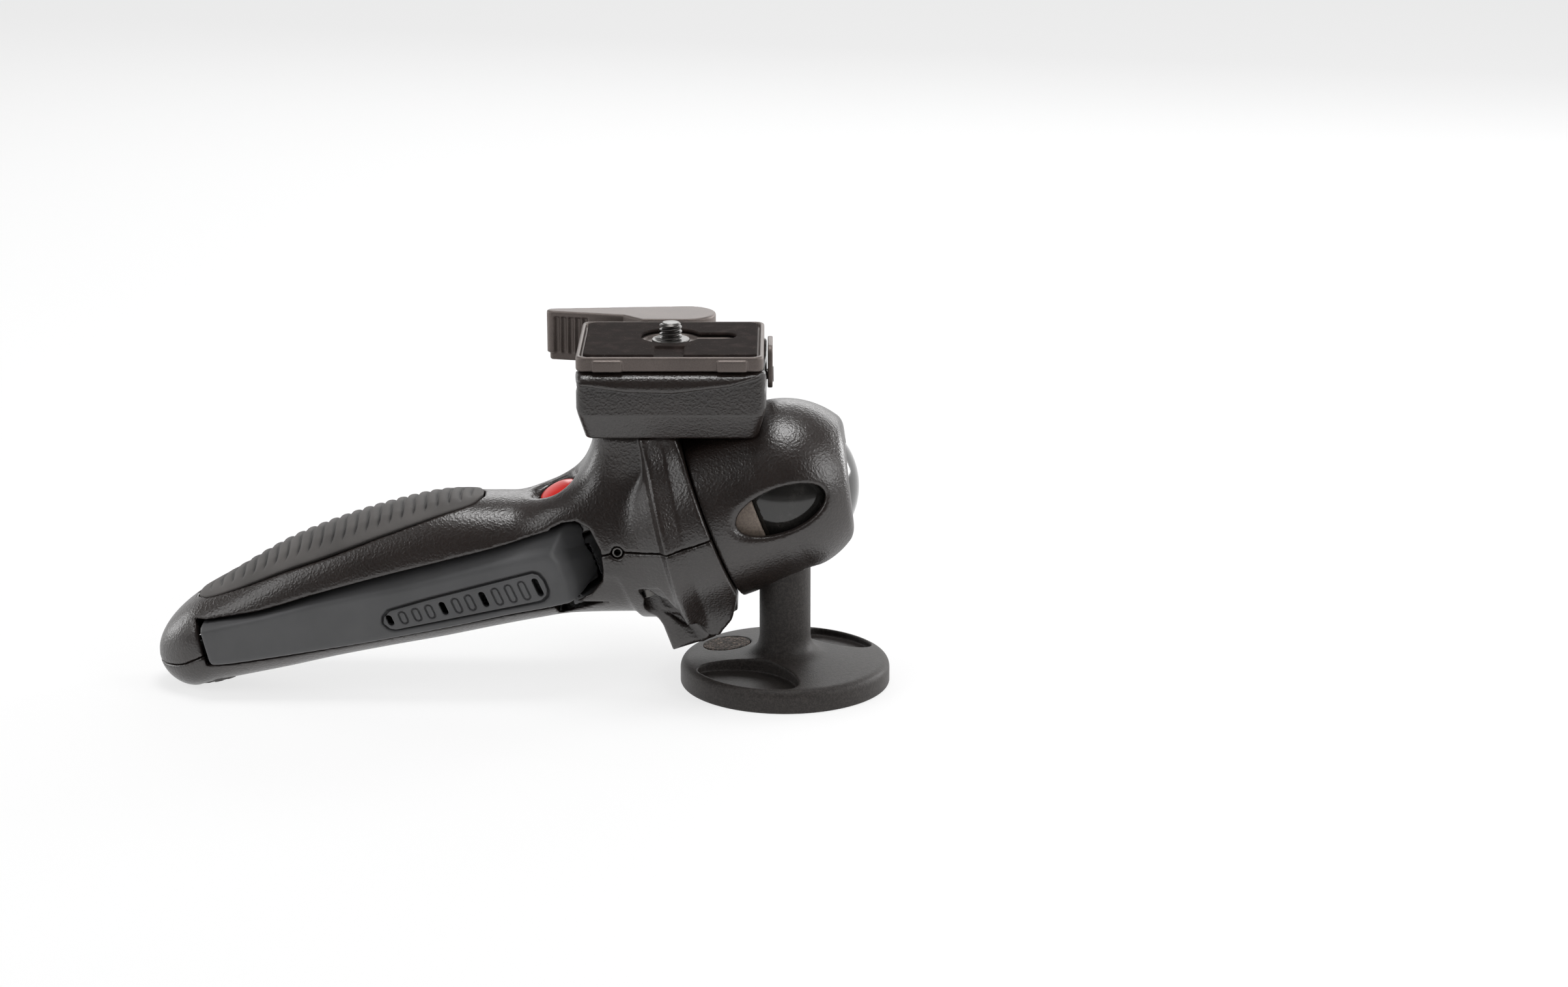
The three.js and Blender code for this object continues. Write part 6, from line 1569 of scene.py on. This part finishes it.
class BuildClamp(Operator):
    """Quick-release clamp: body with its curled near lip, lever with flutes, catch"""
    bl_idname = "joystick.build_clamp"
    bl_label = "Clamp"

    def execute(self, context):
        ball, clamp = sizes("ball"), sizes("clamp")
        middle = -clamp.end + clamp.length / 2
        bracket_top = clamp.lever_bottom - 0.3
        lobe = clamp.hub_depth - PLATE_FOOT - LOBE_GAP
        lip_bulge, lip_round, web_start, bracket = 2.3, 5.0, 14.2, 8

        def field(x, y, z):
            back, _, off = axis_coordinates(ball, x, y, z)
            low = np.clip((clamp.bevel_height - z) / (clamp.bevel_height - clamp.bottom), 0, 1)
            ends = np.abs(x - middle) - clamp.length / 2 + low * clamp.end_inset
            sides = np.abs(y) - clamp.half + low * clamp.bevel_inset
            share = np.clip((x - middle) / clamp.length + 0.5, 0, 1)
            crease = clamp.lip - clamp.roll * straight_rows(ROLL_ROWS, share)
            band = both(-y - clamp.half - lip_bulge, z - clamp.lip, lip_round)
            band = both(band, crease - z, 1.6)
            block = both(ends * 0.96, np.maximum(sides, -y - clamp.half + clamp.roll_proud) * 0.9,
                         2.6)
            block = both(block, slab_field(z, clamp.bottom, clamp.lip), 0.6)
            block = either(block, np.maximum(both(band, ends * 0.96, 2.0), y + clamp.half - 4),
                           0.35)
            from_hub = np.hypot(x + clamp.hub_reach, y - clamp.hub_depth)
            web = np.maximum(np.abs(x + clamp.hub_reach) - clamp.hub_radius,
                             slab_field(y, web_start, clamp.hub_depth))
            arm = meet(np.minimum(from_hub - clamp.hub_radius, web),
                       slab_field(z, bracket_top - bracket, bracket_top))
            block = either(block, arm, 0.8)
            wide = np.interp(z, [clamp.floor, 96.6], [PLATE_FOOT + FIT, 17.3])
            channel = np.maximum(np.abs(y) - wide, clamp.floor - z)
            block = less(block, channel, soft=0.6)
            block = less(block, from_hub - lobe - FIT, bracket_top - z, soft=0.5)
            block = less(block, from_hub - HUB_PIN - FIT)
            centre = np.sqrt(x ** 2 + y ** 2 + (z - ball.height) ** 2)
            housing = np.where(back < 0, centre, off) - ball.housing_radius - BALL_GAP
            block = less(block, housing, back - 22, soft=0.5)
            for reach in CLAMP_SCREWS:
                across = np.hypot(x + reach, y)
                block = less(block, across - CLAMP_SCREW["head"] - FIT, CLAMP_SEAT - FIT - z)
                block = less(block, across - CLAMP_SCREW["shaft"] - FIT)
            catch = np.hypot(y - CATCH_Y, z - CATCH_PIN_Z) - CATCH_PIN - FIT
            return less(block, catch, slab_field(x, -12.5, 0))

        body = field_surface("clamp_block", field, (-59, -24, 75.4), (-4, 39.5, 97.4), 0.46)
        finish(body, "head", "coat", "clamp_body")
        finish(clamp_lever(clamp), "clamp_lever", "die_cast", "clamp_lever")
        start = -clamp.end + clamp.length + FIT
        outline = rounded_rectangle(CATCH_Y, 92.2, 7.5, 6.2, 2.6)
        catch = carried("catch", outline, rounded_steps(start, start + 1.4, 0.35))
        # Carried along Z, it is turned to run along X: (x, y, z) becomes (z, x, y).
        face_outwards(reshape(catch, lambda points: points[:, [2, 0, 1]]))
        finish(catch, "safety_catch", "die_cast", "safety_catch")
        return {"FINISHED"}


def clamp_lever(clamp):
    """The blade's outline in plan, drawn in at its foot and rounded at its top edge; the
    flutes are round bites out of its near side by the tip."""
    length = clamp.lever_tip - clamp.hub_reach
    tip = clamp.tip_thickness / 2
    tip_at = np.array([-clamp.lever_tip + tip, clamp.hub_depth + 0.42 * clamp.hub_radius])
    hub = np.array([-clamp.hub_reach, clamp.hub_depth])
    near, far = (hub + np.array(shares) * [-length, clamp.hub_radius]
                 for shares in ([[0.448, -0.373], [0.315, -0.988]], [[0.451, 0.855]]))
    lobe_reach, lobe_radius = clamp.hub_depth - PLATE_FOOT - LOBE_GAP, 6
    start = tip_at + [0, -tip]
    flutes = [start + (near[0] - start) * 0.5 * (i + 0.5) / clamp.flutes
              for i in range(clamp.flutes)]
    outline = np.concatenate([tip_at + tip * arc(90, 270, 10), near,
                              hub + clamp.hub_radius * arc(270, 450, 48), far])

    def field(x, y, z):
        blade = polygon_field(x, y, outline)
        foot_top = clamp.lever_bottom + clamp.foot
        inset = np.clip((foot_top - z) / 0.3 + 0.5, 0, 1) * 0.8
        body = both(blade + inset, slab_field(z, clamp.lever_bottom, clamp.lever_top), 0.7)
        lobe = np.hypot(x + clamp.hub_reach, y - clamp.hub_depth + lobe_reach - lobe_radius)
        lobe = lobe - lobe_radius
        lobe = np.maximum(lobe, slab_field(z, clamp.lever_bottom, 96.3))
        body = either(body, lobe, 0.5)
        off = np.hypot(x + clamp.hub_reach, y - clamp.hub_depth)
        body = less(body, off - HUB_PIN - FIT, z - clamp.lever_top + 1.2)
        for fx, fy in flutes:
            bite = np.hypot(x - fx, y - fy) - clamp.flute
            band = slab_field(z, foot_top, clamp.lever_top - 1.6)
            body = less(body, bite, band, soft=0.4)
        return body

    return field_surface("clamp_lever_blade", field, (-69.8, 17, 85.8), (-18.8, 39, 102), 0.42)


# Camera plate

SCREW_FOOT = 91.4  # Height of the camera screw's underside, in millimetres.


class BuildPlate(Operator):
    """Camera plate with its recess and slot, its dark pad and the threaded screw"""
    bl_idname = "joystick.build_plate"
    bl_label = "Camera plate"

    def execute(self, context):
        plate = sizes("plate")
        middle = -plate.end + plate.length / 2
        flange_low = plate.top - plate.flange
        pad_floor = plate.top + plate.pad_proud - 1
        tab_reach, tab_half, notch_half = 17.2, 4.2, 3.6

        def rectangle(x, y, half_x, half_y, corner):
            qx = np.abs(x - middle) - half_x + corner
            qy = np.abs(y) - half_y + corner
            outside = np.hypot(np.maximum(qx, 0), np.maximum(qy, 0))
            return outside + np.minimum(np.maximum(qx, qy), 0) - corner

        def from_screw(x, y):
            return np.hypot(x + plate.screw_reach, y - plate.screw_depth)

        def recess(x, y, grow):
            along = np.clip(x, -plate.screw_reach, -plate.screw_reach + plate.slot_length)
            slot = np.hypot(x - along, y - plate.screw_depth) - plate.slot_half
            return np.minimum(from_screw(x, y) - plate.recess, slot) - grow

        def pad_shape(x, y, grow):
            return rectangle(x, y, plate.length / 2 - plate.rim + grow,
                             plate.half - plate.rim + grow, plate.corner)

        def metal_field(x, y, z):
            outline = rectangle(x, y, plate.length / 2, plate.half, plate.corner)
            body = both(outline, slab_field(z, flange_low, plate.top), 0.8)
            wide = plate.foot_top_half + (plate.foot_half - plate.foot_top_half) * np.clip(
                (flange_low - z) / 5.5, 0, 1)
            foot = both(np.abs(y) - wide, np.abs(x - middle) - plate.length / 2 + 1.6, 0.8)
            foot = np.maximum(foot, slab_field(z, 91.1, flange_low + 0.3))
            body = either(body, foot, 0.3)
            for side in (-1, 1):
                tab = both(np.abs(x - middle - side * tab_reach) - tab_half,
                           slab_field(z, flange_low + 0.1, plate.top - 0.9), 0.6)
                tab = both(tab, slab_field(-y, plate.half - 2, plate.half + 0.75), 0.4)
                body = either(body, tab, 0.25)
            body = less(body, pad_shape(x, y, FIT), pad_floor - FIT - z, soft=0.35)
            low = plate.top - plate.recess_depth
            body = less(body, recess(x, y, -0.3), low - z, soft=0.35)
            body = less(body, from_screw(x, y) - 7.6, z - SCREW_FOOT - 2.9)
            return less(body, from_screw(x, y) - 3.5)

        tray = field_surface("plate_metal", metal_field, (-59, -22.3, 90.4),
                             (-4.8, 22, 101.6), 0.44)
        finish(tray, "head", "die_cast", "camera_plate")

        def pad_field(x, y, z):
            shrink = 0.45
            near = -plate.half + plate.rim
            notch = np.maximum(np.abs(x + plate.screw_reach) - notch_half, y - near - 10) - shrink
            sheet = both(pad_shape(x, y, -shrink), slab_field(z, pad_floor, pad_floor + 1), 0.45)
            sheet = less(sheet, notch, pad_floor + 0.35 - z, soft=0.3)
            return less(sheet, recess(x, y, 0.3), soft=0.45)

        sheet = field_surface("plate_pad_sheet", pad_field, (-57.5, -20.6, 99.5),
                              (-6.4, 20.6, 101.8), 0.4)
        finish(sheet, "head", "plate_pad", "plate_pad")
        finish(camera_screw(plate), "camera_screw", "dark_steel", "camera_screw")
        return {"FINISHED"}


def camera_screw(plate):
    """Shaft with a rolled thread on a grid of turn and height: the radius dips by a
    rounded wave of height / pitch - turn, and closes smoothly at the tip."""
    angle = full_turn(72)
    low, flange = SCREW_FOOT, plate.top - plate.recess_depth + 0.3
    tip = plate.top + plate.screw_height
    head, head_top, shaft, collar, collar_top = 7, low + 2.6, 3.0, 5.3, flange + 0.6
    base = fillets([[0, low], [head, low], [head, head_top], [shaft, head_top],
                    [shaft, flange], [collar, flange], [collar, collar_top],
                    [shaft, collar_top]], [0, 0.3, 0.3, 0.2, 0, 0.2, 0.25, 0])
    start = flange + 0.7
    height = np.linspace(start, tip - 0.02, 110)[:, None]
    wave = (height / plate.pitch - angle / (2 * np.pi)) % 1
    crest = 0.5 - 0.5 * np.cos(2 * np.pi * wave)
    crest = np.clip(crest * 1.35 - 0.15, 0, 1)
    near_tip = np.clip((tip - height) / 0.7, 0, 1)
    depth = 0.85
    full = plate.screw_radius - depth + depth * crest
    radius = np.minimum(full, plate.screw_radius - 0.75 * (1 - near_tip))
    ones = np.ones(len(angle))
    radius = np.concatenate([base[:, :1] * ones, radius, [0.6 * ones * plate.screw_radius],
                             [0 * ones]])
    level = np.concatenate([base[:, 1:] * ones, height * ones, [tip * ones], [tip * ones]])
    rows = rings(radius, level, angle) + [-plate.screw_reach, plate.screw_depth, 0]
    return skin("camera_thread", rows)


# Small pieces

def socket_profile(shaft_length, head, head_length, shaft, key):
    """A cap screw's half section as [radius, height]: the head hangs below zero with a
    key hole half its height deep, and the shaft rises above it."""
    return fillets([[0, -head_length / 2], [key, -head_length / 2], [key, -head_length],
                    [head, -head_length], [head, 0], [shaft, 0], [shaft, shaft_length],
                    [0, shaft_length]], [0, 0, 0.15, 0.4, 0.1, 0, 0.3, 0])


def fasten(name, node, profile, sides, place, closed=True, body="head"):
    """Turns a half section into a piece of dark steel that stands for a node."""
    finish(turned(name, profile, sides, place, closed), body, "dark_steel", node)


class BuildFasteners(Operator):
    """Screws, pins and the friction dial under the grip"""
    bl_idname = "joystick.build_fasteners"
    bl_label = "Fasteners and dial"

    def execute(self, context):
        clamp = sizes("clamp")
        collar = [(socket_profile(17, **SMALL_SCREW),
                   placed(*COLLAR_SCREW * [1, side, 1], -COLLAR_LEAN) @ placed(0, 0, -FIT))
                  for side in (-1, 1)]
        grip = []
        for i, reach in enumerate(GRIP_SCREWS, 1):
            low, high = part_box(f"grip_screw_{i}")
            seat = low.z / MM + SMALL_SCREW["head_length"]
            grip.append((socket_profile(high.z / MM - seat, **SMALL_SCREW),
                         placed(-reach, GRIP_SCREW_SIDE, seat)))
        quarter = math.pi / 2
        flip, to_near = (np.array(Matrix.Rotation(by, 4, "X")) for by in (2 * quarter, quarter))
        seat = [(socket_profile(22, **CLAMP_SCREW), placed(-reach, 0, CLAMP_SEAT) @ flip)
                for reach in CLAMP_SCREWS]
        for kind, screws in (("collar", collar), ("grip", grip), ("clamp", seat)):
            for i, (profile, place) in enumerate(screws, 1):
                fasten(f"{kind}_cap_screw_{i}", f"{kind}_screw_{i}", spaced(profile, 1.5), 32,
                       place)
        rim = ROLL_PIN_RADIUS
        ring = fillets([[0.9, 17], [rim, 17], [rim, 20], [0.9, 20], [0.9, 17]],
                       [0, 0.15, 0.25, 0.25, 0])
        fasten("roll_pin_ring", "roll_pin", ring, 32,
               placed(ROLL_PIN_X, 0, ROLL_PIN_Z) @ to_near, closed=False)
        top = clamp.lever_top - 1.6
        profile = fillets([[0, 78.3], [HUB_PIN, 78.3], [HUB_PIN, top], [0, top]],
                          [0, 0.3, 0.3, 0])
        fasten("hub_pin", "clamp_lever_pin", spaced(profile, 1.5), 48,
               placed(-clamp.hub_reach, clamp.hub_depth, 0))
        profile = fillets([[0, -6.7], [CATCH_PIN, -6.7], [CATCH_PIN, 1.72], [2.2, 1.72],
                           [2.2, 1.95], [0, 1.95]], [0, 0.2, 0, 0.05, 0.15, 0])
        fasten("catch_pin_head", "catch_pin", spaced(profile, 1.0), 40,
               placed(-clamp.end + clamp.length, CATCH_Y, CATCH_PIN_Z, quarter))
        finish(dial(), "friction_dial", "coat", "friction_dial")
        profile = socket_profile(5.5, 3.4, 1.25, 1.6, 1.3)
        fasten("dial_cap_screw", "dial_screw", spaced(profile, 1.0), 32,
               placed(DIAL_X, 0, DIAL_Z, -DIAL_LEAN) @ placed(0, 0, 1.4), body="friction_dial")
        return {"FINISHED"}


def dial():
    """The friction dial on a grid of turn and profile: the radius of the outer rows dips
    by a rounded notch fourteen times round, and the middle has a stepped hole."""
    angle = full_turn(224)
    notches = 14
    notch = np.clip(1 - np.abs((angle * notches / (2 * np.pi) + 0.5) % 1 - 0.5) / 0.2, 0, 1)
    dip = 0.8 * np.sqrt(np.clip(1 - (1 - notch) ** 2, 0, 1))
    hole, seat, rim, top = 1.9, 3.7, DIAL_RADIUS, 3.4
    profile = spaced(fillets([[hole, top], [hole, 1.7], [seat, 1.7], [seat, 0], [rim, 0],
                              [rim, top], [hole, top]], [0, 0, 0, 0.2, 0.6, 0.3, 0]), 0.9)
    share = np.clip((profile[:, 0] - 8.0) / 0.9, 0, 1)[:, None]
    rows = rings(profile[:, :1] - dip * share, profile[:, 1:], angle)
    place = placed(DIAL_X, 0, DIAL_Z, -DIAL_LEAN)
    return skin("dial_knob", moved(rows[:-1], place), closed=False)


class BuildInner(Operator):
    """Spring, bulkhead, rod, nut and pivot pin inside the grip, which keep their shapes"""
    bl_idname = "joystick.dress_inner"
    bl_label = "Inner parts"

    def execute(self, context):
        dress("steel", "bulkhead", "lever_pivot_pin", "pull_rod", "rod_nut")
        dress("spring_steel", "main_spring")
        return {"FINISHED"}


class BuildStage(Operator):
    """Pale floor, white surroundings, soft lamps and the photograph's camera"""
    bl_idname = "joystick.build_stage"
    bl_label = "Stage"

    def execute(self, context):
        scene = context.scene
        scene.view_settings.view_transform = "Standard"
        camera = bpy.data.cameras.new("camera")
        camera.lens, camera.sensor_width = 84.47, 36
        camera.clip_start, camera.clip_end = 0.05, 20
        view = bpy.data.objects.new("camera", camera)
        view.location = (-0.0003, -1.0, 0.3517)
        view.rotation_euler = (math.radians(73.51), 0, 0)
        scene.collection.objects.link(view)
        scene.camera = view
        lamps = [
            ("top", (-0.04, 0.02, 0.90), (0.4, 0.3), 3.8, (-0.05, 0, 0.05)),
            ("left", (-0.90, -0.45, 0.60), (0.5, 0.6), 2.6, (-0.06, 0, 0.04)),
            ("right", (0.80, -0.40, 0.50), (0.4, 0.6), 3.4, (-0.02, 0, 0.05)),
            ("back", (0.15, 0.85, 0.45), (1.0, 0.3), 3.0, (-0.05, 0, 0.05)),
            ("left_rim", (-0.95, 0.40, 0.22), (0.3, 0.4), 1.5, (-0.10, 0, 0.04)),
            ("right_rim", (0.85, 0.50, 0.30), (0.3, 0.5), 5.0, (0, 0, 0.05)),
        ]
        for name, place, (wide, tall), power, aim in lamps:
            lamp = bpy.data.lights.new(name, "AREA")
            lamp.shape, lamp.size, lamp.size_y, lamp.energy = "RECTANGLE", wide, tall, power
            item = bpy.data.objects.new(name, lamp)
            item.location = place
            item.rotation_euler = (Vector(aim) - Vector(place)).to_track_quat(
                "-Z", "Y").to_euler()
            scene.collection.objects.link(item)
        half = 6000
        corners = np.array([[-half, -half, -0.05], [half, -half, -0.05], [half, half, -0.05],
                            [-half, half, -0.05]])
        floor = mesh_object("floor", corners, [[0, 1, 2, 3]])
        floor.data.materials.append(floor_paper())
        scene.world = surroundings()
        return {"FINISHED"}


def surroundings():
    """White to the camera and through glass. Mirrors see it white behind the object and low
    down, and a darker room overhead and on the camera's side. Matte light comes evenly."""
    g = Graph("surroundings", "worlds")
    way = g.node("ShaderNodeTexCoord", output="Generated")
    split = {axis: g.node("ShaderNodeSeparateXYZ", {}, {0: way}, axis) for axis in "YZ"}
    mirror = 0.05 + 0.95 * split["Y"].ramp(-0.45, 0.25) * (1 - 0.9 * split["Z"].ramp(0.3, 0.6))
    level = g.between(g.path("Glossy"), 0.34, mirror)
    g.feed(g.tree.nodes["Background"].inputs[0], g.between(g.seen(), level, 1.0))
    return g.material


def floor_paper():
    """White paper: mostly its own white to the camera and through glass, with enough matte
    surface left to hold the object's soft shadow, and white to mirrors close to the object."""
    g = Graph("paper")
    g.set(Base_Color=(0.86, 0.86, 0.86), Roughness=1.0, Specular_IOR_Level=0.0)
    glow, dark = (g.node("ShaderNodeEmission", {}, {0: (level,) * 3, 1: 1.0})
                  for level in (1, 0.2))
    depth = g.node("ShaderNodeSeparateXYZ", {}, {0: g.places()}, "Y")

    def mix(factor, first, second):
        return g.node("ShaderNodeMixShader", {}, {0: factor, 1: first, 2: second})

    plain = mix(g.seen() * 0.72, Wire(g, g.shader.outputs[0]), glow)
    mirror = mix(depth.ramp(-0.50, -0.30), dark, glow)
    g.feed(g.tree.nodes["Material Output"].inputs[0], mix(g.path("Glossy"), plain, mirror))
    return g.material


class HeadPanel(Panel):
    """Buttons and sizes of the joystick head"""
    bl_idname = "JOYSTICK_PT_head"
    bl_label = "Joystick head"
    bl_space_type = "VIEW_3D"
    bl_region_type = "UI"
    bl_category = "Joystick"

    def draw(self, context):
        for operator in OPERATORS:
            self.layout.operator(operator.bl_idname, text=operator.bl_label)
        head = context.scene.joystick_head
        for name in ("base", "ball", "grip", "lever", "clamp", "plate", "colours"):
            box = self.layout.box()
            box.label(text=name.capitalize())
            group = getattr(head, name)
            for key in group.__annotations__:
                box.prop(group, key)


OPERATORS = (BuildStage, BuildBase, BuildBall, BuildGrip, BuildPad, BuildLever, BuildClamp,
             BuildPlate, BuildFasteners, BuildInner)
GROUPS = (BaseSizes, BallSizes, GripSizes, LeverSizes, ClampSizes, PlateSizes, Colours, Head)


def register():
    for item in GROUPS + OPERATORS + (HeadPanel,):
        bpy.utils.register_class(item)
    bpy.types.Scene.joystick_head = PointerProperty(type=Head)


def unregister():
    del bpy.types.Scene.joystick_head
    for item in reversed(GROUPS + OPERATORS + (HeadPanel,)):
        bpy.utils.unregister_class(item)


def main():
    register()
    make_finishes()
    for operator in OPERATORS:
        family, name = operator.bl_idname.split(".")
        if getattr(getattr(bpy.ops, family), name)() != {"FINISHED"}:
            raise RuntimeError(f"{operator.bl_label} was not built")


if __name__ == "__main__":
    main()
